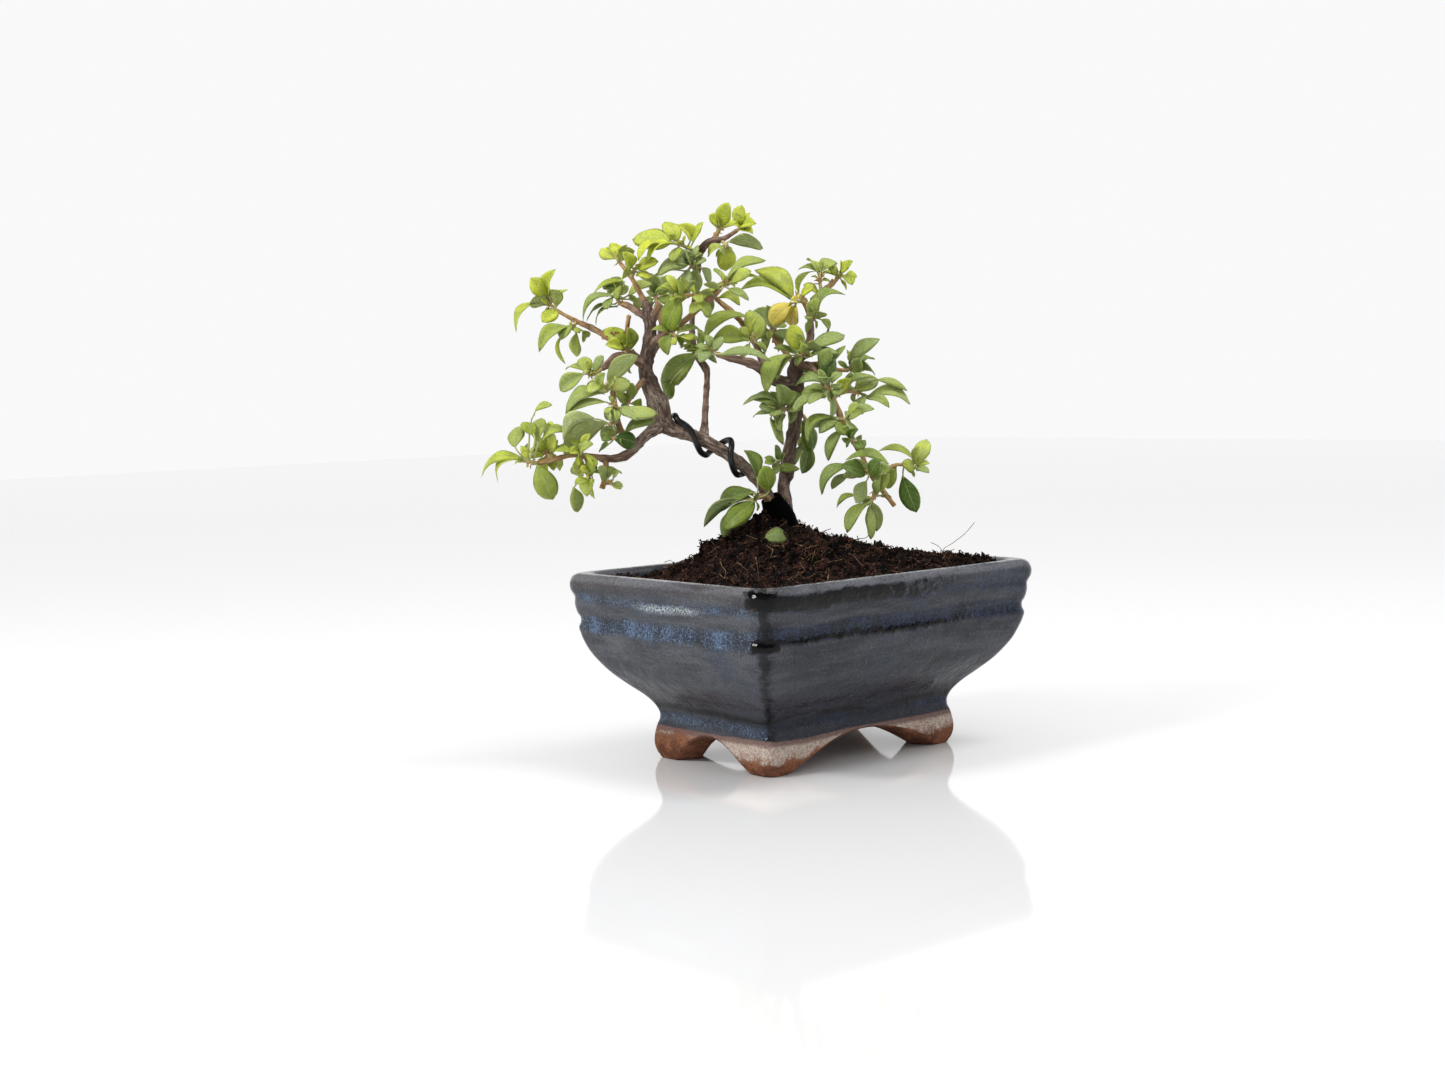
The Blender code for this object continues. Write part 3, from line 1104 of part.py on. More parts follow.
def build_fallen_leaf(taken, home):
    """A leaf that lies on the slope of the soil, where the line of sight meets it."""
    eye = seen(EYE_SIDE, EYE_HEIGHT, EYE_DISTANCE)
    aim = (seen(*FALLEN_LEAF, 0) - eye).normalized()
    place, slope, _, _ = taken.tree.ray_cast(eye, aim)
    along = (ACROSS - slope * ACROSS.dot(slope)).normalized()
    across = slope.cross(along)
    for lift in range(5, 60):
        middle = place + slope * lift * 0.1 * MM
        rows = []
        for t, share in [(0.0, 0.2)] + BLADE_ROWS:
            spot = middle + along * (t - 0.5) * FALLEN_LENGTH + slope * FALLEN_ARCH * 4 * t * (1 - t)
            rows.append(pair(spot, across, FALLEN_WIDTH / 2 * share))
        if not shell(rows, slope, CLEARANCE * MM).overlap(taken.tree):
            return blade("fallen_leaf", rows, home)
    return None


def stand_on_middle(parts):
    """Hangs every part on an empty, moved so that the object stands on the middle of its base."""
    corners = [vertex.co for part in parts for vertex in part.data.vertices]
    middle_x = (min(c.x for c in corners) + max(c.x for c in corners)) / 2
    middle_y = (min(c.y for c in corners) + max(c.y for c in corners)) / 2
    base = bpy.data.objects.new("bonsai_base", None)
    bpy.context.scene.collection.objects.link(base)
    base.location = (-middle_x, -middle_y, 0)
    for part in parts:
        part.parent = base


def finish(obj, slot, crease=40):
    obj.data.materials.clear()
    obj.data.materials.append(material(slot))
    obj.data.shade_smooth()
    obj.data.set_sharp_from_angle(angle=math.radians(crease))
    return obj


def main():
    for old in list(bpy.data.objects):
        bpy.data.objects.remove(old)
    home = collection("cotoneaster_bonsai")
    pot = finish(build_pot(home), "glaze")
    soil = finish(build_soil(home), "soil")
    wood = finish(build_wood(home), "bark", 60)
    sleeve = finish(build_sleeve(home), "sleeve")
    wire = finish(build_wire(home), "wire", 60)
    parts = [pot, soil, wood, sleeve, wire]
    taken = Taken()
    for part in parts:
        taken.add(part)
    fallen = finish(build_fallen_leaf(taken, home), "leaf")
    parts.append(fallen)
    taken.add(fallen)
    chance = random.Random(LEAF_SEED)
    for name, shoot in SHOOTS.items():
        slot = "yellow_leaf" if name == "yellow_leaves" else "leaf"
        spray = finish(build_shoot(name, shoot, taken, chance, home), slot)
        parts.append(spray)
        taken.add(spray)
    stand_on_middle(parts)


main()
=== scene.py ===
"""Looks of a cotoneaster bonsai in a glazed pot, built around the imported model, in metres with +Z up.

The tree is drawn in millimetres on an upright plane through the middle of the pot, as it is seen
from the front: u runs to the right, v is the height above the ground and w comes towards the eye.
seen() carries such a point along the line of sight to its depth.
"""

import json
import math
import random

import bmesh
import bpy
from mathutils import Matrix, Quaternion, Vector, noise
from mathutils.bvhtree import BVHTree
from mathutils.kdtree import KDTree

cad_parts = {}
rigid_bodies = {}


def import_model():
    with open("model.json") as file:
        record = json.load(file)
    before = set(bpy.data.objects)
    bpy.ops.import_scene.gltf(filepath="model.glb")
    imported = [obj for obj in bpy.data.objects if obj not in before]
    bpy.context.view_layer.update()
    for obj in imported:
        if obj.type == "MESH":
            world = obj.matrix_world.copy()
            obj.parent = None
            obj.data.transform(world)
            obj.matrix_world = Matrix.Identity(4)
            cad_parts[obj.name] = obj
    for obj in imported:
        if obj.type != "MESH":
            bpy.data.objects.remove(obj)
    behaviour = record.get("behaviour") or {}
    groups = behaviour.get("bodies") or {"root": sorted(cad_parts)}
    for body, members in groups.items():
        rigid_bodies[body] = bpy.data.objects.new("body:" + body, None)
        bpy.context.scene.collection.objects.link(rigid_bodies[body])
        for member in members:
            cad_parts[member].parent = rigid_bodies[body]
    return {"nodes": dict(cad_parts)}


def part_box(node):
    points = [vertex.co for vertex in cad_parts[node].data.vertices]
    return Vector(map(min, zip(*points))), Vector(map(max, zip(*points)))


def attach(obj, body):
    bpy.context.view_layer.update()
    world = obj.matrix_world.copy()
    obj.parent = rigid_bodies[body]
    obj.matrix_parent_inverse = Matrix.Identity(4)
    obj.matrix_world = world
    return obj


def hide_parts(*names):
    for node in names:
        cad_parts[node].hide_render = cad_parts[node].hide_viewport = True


MM = 0.001
GAP = 0.3 * MM
BODY = "root"

# The eye that the photograph is taken with: where it stands and looks, in millimetres and degrees
VIEW_AZIMUTH = math.radians(-41.5)
EYE_SIDE = -31.0
EYE_HEIGHT = 148.0
EYE_DISTANCE = 795.0
CAMERA_AZIMUTH = math.radians(-41.53)
CAMERA_RISE = math.radians(4.68)
CAMERA_ROLL = math.radians(-1.44)
CAMERA_DISTANCE = 797.86
CAMERA_SIDE = -31.37
CAMERA_HEIGHT = 83.23
SENSOR_WIDTH = 36.0
PHOTO_WIDTH = 1445
FOCAL_PIXELS = 2009.3

ACROSS = Vector((math.cos(VIEW_AZIMUTH), math.sin(VIEW_AZIMUTH), 0.0))
TOWARDS = Vector((math.sin(VIEW_AZIMUTH), -math.cos(VIEW_AZIMUTH), 0.0))
UP = Vector((0.0, 0.0, 1.0))

# Pot, outer size at the rim, in millimetres
POT_LENGTH = 150.0
POT_WIDTH = 115.4
CORNER_RADIUS = 7.0
NO_CORNER_INSET = 60.0
CORNER_STEPS = 9
LONG_STEPS = 44
SHORT_STEPS = 32
PROFILE_STEPS = 4
CAVITY_STEPS = 3
HOLLOW_INSET = 33.5
HOLLOW_TOP = 12.0
HOLLOW_SHARES = (0.06, 0.5, 0.94)
HOLLOW_MIDDLE = 45.0
FLOOR_MIDDLE = 38.0
LONG_ARCH_HEIGHT = 12.3
LONG_ARCH_HALF = 42.0
SHORT_ARCH_HEIGHT = 11.4
SHORT_ARCH_HALF = 22.5
ARCH_ROUNDNESS = 1.2
FOOT_INSET = 24.0
WAIST_HEIGHT = 21.0
LIP_RADIUS = 1.3
LIP_ANGLES = (25, 50, 72, 90)
DRAIN_RADIUS = 6.0
DRAIN_SPACING = 44.0
DRAIN_CUT = (5.0, 30.0)
HAND_WAVER = 0.22
GLAZE_EDGE = 15.2
GLAZE_EDGE_WAVER = 1.3
GLAZE_THICKNESS = 0.3

# The glaze's places, in metres from the ground, and in millimetres from the pot's middle for a
# corner, a spot or a foot. A blue band also says how blue it is, and a side run how far it goes.
# FROST_SPAN lies across the pot's end, from its middle.
GLAZE_BANDS = ((0.0632, 0.0662, 0.75), (0.0512, 0.0578, 1.0), (0.0148, 0.0186, 0.6))
GLAZE_RUNS = ((0.0655, 0.0725), (0.0500, 0.0548))
SIDE_RUNS = ((0.0650, 0.0710, 0.098), (0.0526, 0.0546, 0.125))
SIDE_RISE = 0.0014
POOL_HEIGHTS = (0.0202, 0.0228)
FRONT_CORNER = (-73.0, -55.5, 64.0)
FROST_HEIGHTS = (0.0625, 0.0650)
FROST_SPAN = (-0.020, 0.012)
RUST_SPOT = (-75.3, -52.0, 66.5)
FRONT_FOOT = (-52.0, -36.0, 8.0)

# The side of the pot from the ground up: height, and how far it lies inside the rim's edge
POT_SIDE = [
    (0.0, 26.0), (2.2, 23.9), (7.0, 22.9), (13.2, 23.8), (17.0, 25.0), (21.0, 23.7),
    (25.0, 20.8), (29.5, 16.0), (34.5, 11.0), (41.0, 6.4), (47.0, 3.7), (50.5, 2.6),
    (52.6, 2.3), (54.6, 2.9), (56.6, 2.8), (58.6, 1.9), (61.5, 1.3), (64.2, 1.3), (65.6, 0.9),
    (67.5, 0.1), (70.0, -0.1), (72.4, 0.6), (73.6, 1.9), (74.0, 3.6),
]

# The inside of the pot from its floor up: height, and how far it lies inside the rim's edge
CAVITY_SIDE = [
    (18.5, 31.8), (22.0, 30.0), (29.5, 22.5), (36.0, 16.5), (44.0, 11.8), (56.0, 9.2), (70.0, 9.0),
    (72.6, 8.0), (73.8, 5.8),
]

# Soil, in millimetres
SOIL_EDGE = 70.0
SOIL_INSET = 9.2
SOIL_PEAK = 21.5
SOIL_CENTRE = -8.0
HEAP_LEFT = 33.0
HEAP_RIGHT = 48.0
HEAP_DEPTH = 30.0
MOUND_PLACE = (-8.5, 3.0)
MOUND_REACH = 5.5
MOUND_HEIGHT = 5.0
SOIL_CRUMB = 1.1
CRUMB_SIZES = (7.0, 3.0)
CLOD_SIZES = ((7.5, 3.0), (3.4, 2.1), (1.5, 0.9))
CLOD = ((-32.0, 78.5, 2.0, 1.8), (-35.2, 80.6, 2.0, 2.1), (-37.8, 81.8, 2.0, 2.2), (-39.6, 81.7, 2.0, 1.2))
ROOT_HAIRS = (
    ((56.4, 75.5, 0.0), (56.2, 78.8, 0.0), (60.0, 81.3, 0.0), (65.0, 85.0, 0.0), (68.9, 89.4, 0.0)),
    ((56.4, 75.5, 0.0), (55.0, 79.6, 0.0), (51.4, 81.8, 0.0)),
)
HAIR_RADIUS = 0.13
SOIL_RING_COUNT = 84
SOIL_COLUMN_STEPS = (6, 60)
SOIL_FLOOR = 19.2
SOIL_GAP = 0.5
SOIL_SHOULDER = (6, 4)
SOIL_EDGE_DROP = 0.6
CLOD_STEP = 0.6
CLOD_SIDES = 14
CLOD_ROUGHNESS = (0.7, 0.8)
CLOD_SEED = 1
HAIR_STEP = 0.8
HAIR_SIDES = 6

# The bits that cover the soil: seeds and ranges inside the scatters, then a scatter for each piece
FULL_TURN = 6.28
CRUMB_SEEDS = {"size": 3, "shape": 5, "turn": 8}
CRUMB_FINENESS = 2.5
CRUMB_SHAPE = ((0.7, 0.45, 0.3), (1.7, 0.9, 0.7))
CRUMB_ROUGHNESS = 900.0
FIBRE_SEEDS = {"turn": 4, "length": 6}
FIBRE_TILT = 0.4
FIBRE_SHARES = (0.35, 1.3)
FIBRE_WANDER = 380.0
THREAD_KNOTS = 5
THREAD_SIDES = 3
SOIL_COVER = {
    "soil_crumbs": ("crumbs", "peat_crumb", {
        "Density": 470000.0, "Smallest": 0.6 * MM, "Largest": 4.2 * MM, "Roughness": 0.9 * MM, "Seed": 3,
    }),
    "soil_fibres": ("fibres", "coir_fibre", {
        "Density": 240000.0, "Length": 3.8 * MM, "Thickness": 0.22 * MM, "Bend": 7.0 * MM,
        "Lift": 0.45 * MM, "Seed": 11,
    }),
    "soil_roots": ("fibres", "pale_root", {
        "Density": 5000.0, "Length": 11.0 * MM, "Thickness": 0.17 * MM, "Bend": 9.0 * MM,
        "Lift": 1.0 * MM, "Seed": 21,
    }),
}

# Wood: how finely it is made, its bark, its knots and buds, the branches that end in a cut, where
# its bark gets painted shade, and the sleeve round its foot
WOOD_SEED = 5
WOOD_STEP = 0.9
WOOD_VOXEL = 0.4 * MM
STOUT_RADIUS = 1.8
STOUT_SIDES = 16
THIN_SIDES = 12
SKIN_SOFTNESS = 0.5
SKIN_PASSES = 3
BARK_STRETCH = 0.25
BARK_LUMPS = ((3.4, 0.34), (1.7, 0.2))
BARK_CRACK = (1.0, 0.24)
KNOT_SPACING = 8.5
KNOT_SWELL = 0.14
KNOT_LENGTH = 0.9
GIRTH_WAVER = 0.03
KNOB_GIRTH = 2.2
KNOB_SIZE = (0.55, 0.8)
KNOB_LENGTH = 1.9
KNOB_SIDES = 8
KNOB_SHAPE = ((0.0, 0.9), (0.35, 1.0), (0.7, 0.75), (0.95, 0.2))
CUT_ENDS = ("crown_stub", "apex_stub", "sawn_stub", "hanging_spur", "right_arm")
CUT_REACH = 2.2
CUT_FACING = 0.72
# Painted shade under the leaves darkens the bark above these heights in millimetres: high in the crown,
# and lower on the right stem
SHADE_START = 141.0
SHADED_STEMS = {"right_stem": 105.0}
SHADE_FADE = 8
OLD_TWIGS = ("upright_twig",)
OLD_WOOD = 0.5
SLEEVE_STEP = 0.8
SLEEVE_SIDES = 40
SLEEVE_WALL = 0.5
SLEEVE_WRINKLE = 0.07
SLEEVE_CREASE = 0.035

STOCK = [(-7, 46, 0, 4.2), (-7, 60, 0, 4.8), (-7, 74, 0, 5.0), (-7, 86, 0, 5.0)]
SLEEVE = [
    (-7.2, 82, 0.5, 6.9), (-7.2, 86, 0.5, 6.6), (-7.2, 89.5, 0.5, 6.3), (-8.9, 94.5, 0.8, 5.9),
    (-10.8, 98.6, 1.4, 4.7), (-12.2, 101.3, 2, 3.9),
]

# Branches, in millimetres: u, v, w and radius, from the fork or the parent outwards
BRANCHES = {
    "left_stem": [
        (-7, 84, 0, 4.9), (-8.5, 92, 0.5, 4.0), (-11.6, 99.4, 2, 2.4), (-15, 105.6, 3, 2.2),
        (-19.7, 111.5, 4, 2.3), (-25.2, 116.2, 5, 2.4), (-30.7, 120.4, 5, 2.3), (-37, 124.2, 6, 2.6),
        (-45, 127.6, 6, 2.7), (-50, 129.2, 6, 3.0), (-53.6, 132.4, 6, 3.8), (-55, 138.5, 6, 4.2),
        (-58, 146, 5, 3.4), (-60, 153, 4, 2.9), (-58.8, 161, 3, 2.7), (-57.5, 168, 2, 2.4),
        (-58, 173, 1, 2.3), (-58.7, 179, 0, 1.9),
    ],
    "right_stem": [
        (-7, 84, 0, 4.9), (-6, 92, -1.5, 3.7), (-6.2, 99, -3, 2.7), (-6.6, 106, -4, 2.5),
        (-5, 111.5, -4, 2.9), (-4.6, 117, -3, 2.6), (-3, 124, -2, 2.5), (-1.5, 131, -1, 2.6),
        (-0.3, 141, 0, 2.8), (-1.2, 149, 0, 3.0), (-0.6, 154, -1, 2.4), (3.5, 159.5, -4, 1.9),
        (5.4, 165, -7, 1.5), (5, 173, -10, 1.2), (2.6, 179, -12, 1.1),
    ],
    "crown_stub": [(-57.5, 171, 1, 1.9), (-55.6, 175, 3, 1.4), (-53.8, 179, 4, 1.2)],
    "upright_twig": [
        (-37.6, 124.6, 6, 2.1), (-37.4, 129.5, 4, 1.6), (-36.6, 140, 1, 1.2), (-35.8, 149, -2, 1.2),
        (-36.4, 153, -4, 1.5), (-39.3, 157.5, -6, 1.4), (-41, 164, -9, 1.2), (-41, 173, -12, 1.1),
        (-39.3, 184, -13, 1.1), (-38.4, 192, -12, 1.3), (-37.3, 198, -10, 1.5), (-34, 202, -8, 1.5),
        (-28, 203.3, -6, 1.1), (-22.5, 206.5, -3, 0.8),
    ],
    "apex_stub": [(-34.5, 201.5, -8, 1.3), (-31.6, 203.5, -9, 1.1), (-29.8, 206.3, -10, 0.9)],
    "rising_branch": [
        (-58.5, 162, 3, 2.2), (-55, 164.3, 5, 1.7), (-50, 167.6, 8, 1.3), (-44.5, 171.5, 10, 1.2),
        (-39, 176, 12, 1.2), (-33.2, 180.6, 13, 1.3), (-29.5, 184, 13, 1.0),
    ],
    "left_arm": [
        (-60, 154.5, 4, 1.9), (-64, 158.6, 0, 1.4), (-70, 162.4, -6, 1.2), (-76, 167, -12, 1.2),
        (-81, 170, -16, 1.3), (-87, 172.8, -19, 1.0), (-93.5, 176.6, -22, 0.8),
    ],
    "crown_twig": [
        (-58.5, 173, 1, 1.7), (-62.5, 175.6, -3, 1.4), (-66, 178, -8, 1.3), (-69.3, 179.3, -11, 1.0),
    ],
    "tall_twig": [
        (-58.7, 178, 0, 1.5), (-61, 182.5, -5, 1.1), (-64.5, 189, -10, 1.0), (-69, 195.3, -14, 0.8),
    ],
    "dark_twig": [(-67.5, 161, -3.5, 1.0), (-67, 168, -1, 1.0), (-65.8, 174.5, 1, 0.9)],
    "sawn_stub": [
        (-60, 154.5, 4, 1.8), (-65.5, 157.3, 9, 1.7), (-71, 158.2, 13, 2.0), (-74, 156, 15, 1.6),
        (-77.3, 153.7, 17, 1.3),
    ],
    "low_spur": [(-59.5, 150, 5, 1.6), (-63, 146.5, 9, 1.2), (-66.2, 141.8, 11, 1.1)],
    "low_branch": [
        (-54, 131, 6, 3.2), (-59, 128.2, 10, 2.3), (-63, 124.9, 13, 2.1), (-66.2, 121.4, 16, 2.0),
        (-69.5, 119.2, 18, 1.9), (-74, 118.2, 20, 1.6), (-79, 118.8, 22, 1.3), (-85, 119.8, 24, 1.0),
        (-91, 119.8, 26, 0.9), (-98, 118.3, 28, 1.1), (-103.5, 117.2, 29, 1.0),
    ],
    "ochre_spur": [
        (-66, 122.5, 16, 1.5), (-69.5, 127.5, 19, 1.2), (-71.6, 133, 21, 1.3), (-72.6, 139.5, 22, 1.3),
        (-73.2, 145, 22, 1.1),
    ],
    "hanging_spur": [(-77, 118.5, 21, 1.2), (-76.8, 113, 23, 1.0), (-78.6, 106.3, 24, 1.1)],
    "left_limb": [
        (-1.2, 146.5, 0, 2.7), (-5, 146.6, 3, 2.5), (-9, 147.5, 6, 2.3), (-12.4, 150.6, 9, 2.2),
        (-16, 153.3, 12, 2.0), (-21, 155.3, 15, 1.7), (-27, 156.8, 17, 1.4), (-32, 158.3, 17, 1.1),
    ],
    "crossing_twig": [
        (-13.6, 152.4, 10, 1.6), (-15, 158.6, 6, 1.3), (-18, 165, 1, 1.2), (-22, 171, -4, 1.2),
        (-26.5, 175.6, -7, 1.2), (-31.5, 180, -9, 1.0),
    ],
    "upper_right_twig": [
        (5.2, 169, -8.5, 1.1), (7.6, 176.5, -13, 1.0), (10, 181.6, -16, 1.2), (13.5, 184, -18, 1.1),
        (16.8, 187, -20, 0.8),
    ],
    "right_arm": [
        (-0.8, 152, -0.5, 2.0), (4, 153, 4, 1.5), (8, 149, 8, 1.3), (12, 142.5, 12, 1.3),
        (15.8, 134.5, 16, 1.2), (18.3, 127.8, 19, 1.1), (21.8, 121.8, 21, 1.1), (24.8, 116.5, 22, 1.0),
        (26.8, 111.5, 23, 1.1), (30.5, 106, 24, 1.2), (34, 101, 25, 1.0), (37.3, 96.6, 26, 0.9),
    ],
    "outer_right_twig": [
        (3.6, 153.2, 3.6, 1.2), (9.5, 153.3, 0, 1.0), (15, 151.2, -6, 0.9), (19.5, 150.6, -11, 0.8),
    ],
    "basal_spur": [(-10, 98, 1.5, 1.9), (-13.8, 101.8, 6.5, 1.1), (-16.4, 101.3, 9, 1.0)],
    "stem_knot": [(-5, 112, -4, 2.6), (-7.8, 113.4, 0.5, 1.2)],
    "back_branch": [
        (-58.6, 158, 3, 2.0), (-55, 163, -6, 1.5), (-53, 170, -16, 1.3), (-54.5, 178, -25, 1.0),
    ],
    "back_right_branch": [
        (-0.6, 143, 0, 1.9), (1.5, 149, -9, 1.4), (-3, 156, -18, 1.2), (-9, 164, -26, 1.0),
    ],
}

# Training wire round the left stem, on the stretch below WIRE_CEILING. A row: u on the stem, the
# wire's angle round it in degrees (0 in front, 90 on top) and its slack.
WIRE_RADIUS = 1.25
WIRE_CEILING = 134.0
WIRE_GAP = 0.3
WIRE_FINENESS = 0.5
WIRE_KNOTS = 2.0
WIRE_SMOOTHNESS = 0.6
WIRE_SIDES = 14
WINDING = [
    (-53.5, 125, 0.3), (-50.5, 70, 0.1), (-46.5, 50, 0.1), (-43.5, 28, 0.1), (-41.4, 0, 0.1),
    (-39, -40, 0.3), (-36.8, -75, 0.8), (-34.4, -100, 0.9), (-32.2, -180, 0.5), (-30.2, -270, 1.3),
    (-27.4, -360, 0.2), (-22.3, -450, 0.2), (-19.4, -540, 0.2), (-17, -610, 0.2),
]

# Leaves, in millimetres. A blade's rows: how far along it each lies, and its share of full width.
# A leaf drawn shorter than FULL_LEAF mostly points to or from the eye.
LEAST_FACE = 0.55
BLADE_ROWS = [(0.32, 0.96), (0.72, 1.0), (1.0, 0.0)]
SMALL_BLADE_ROWS = [(0.56, 1.05), (1.0, 0.0)]
SMALL_LEAF = 7.6
WIDEST_BLADE = 0.6
ARCH = 0.12
FULL_LEAF = 12.5
LEAF_SEED = 7
SHADE_SEED = 41
GROWTH_SEED = 77
FALLEN_SEED = 9

# How a leaf leans in depth, as a share of its length, and how its arch varies
LEAN_SHARE = (0.12, 0.42)
ARCH_SHARE = (0.6, 1.3)

# Green stems of the shoots: radius at the foot and at the tip, and leaves on the outer part
SHOOT_RADIUS = (0.8, 0.65)
SHOOT_STEP = 4.0
BARE_SHARE = 1 / 3

# Ways a leaf may be bent clear of its neighbours: shorter, swung in the picture, leant in depth
SHORTENINGS = (1.0, 0.86, 0.72)
SWINGS = (0.0, 9.0, -9.0, 18.0, -18.0, 28.0, -28.0)
LEANS = (0.0, 3.5, -3.5, 7.0, -7.0, 10.5, -10.5, 14.0, -14.0)
FOOT_LEAN = 0.35

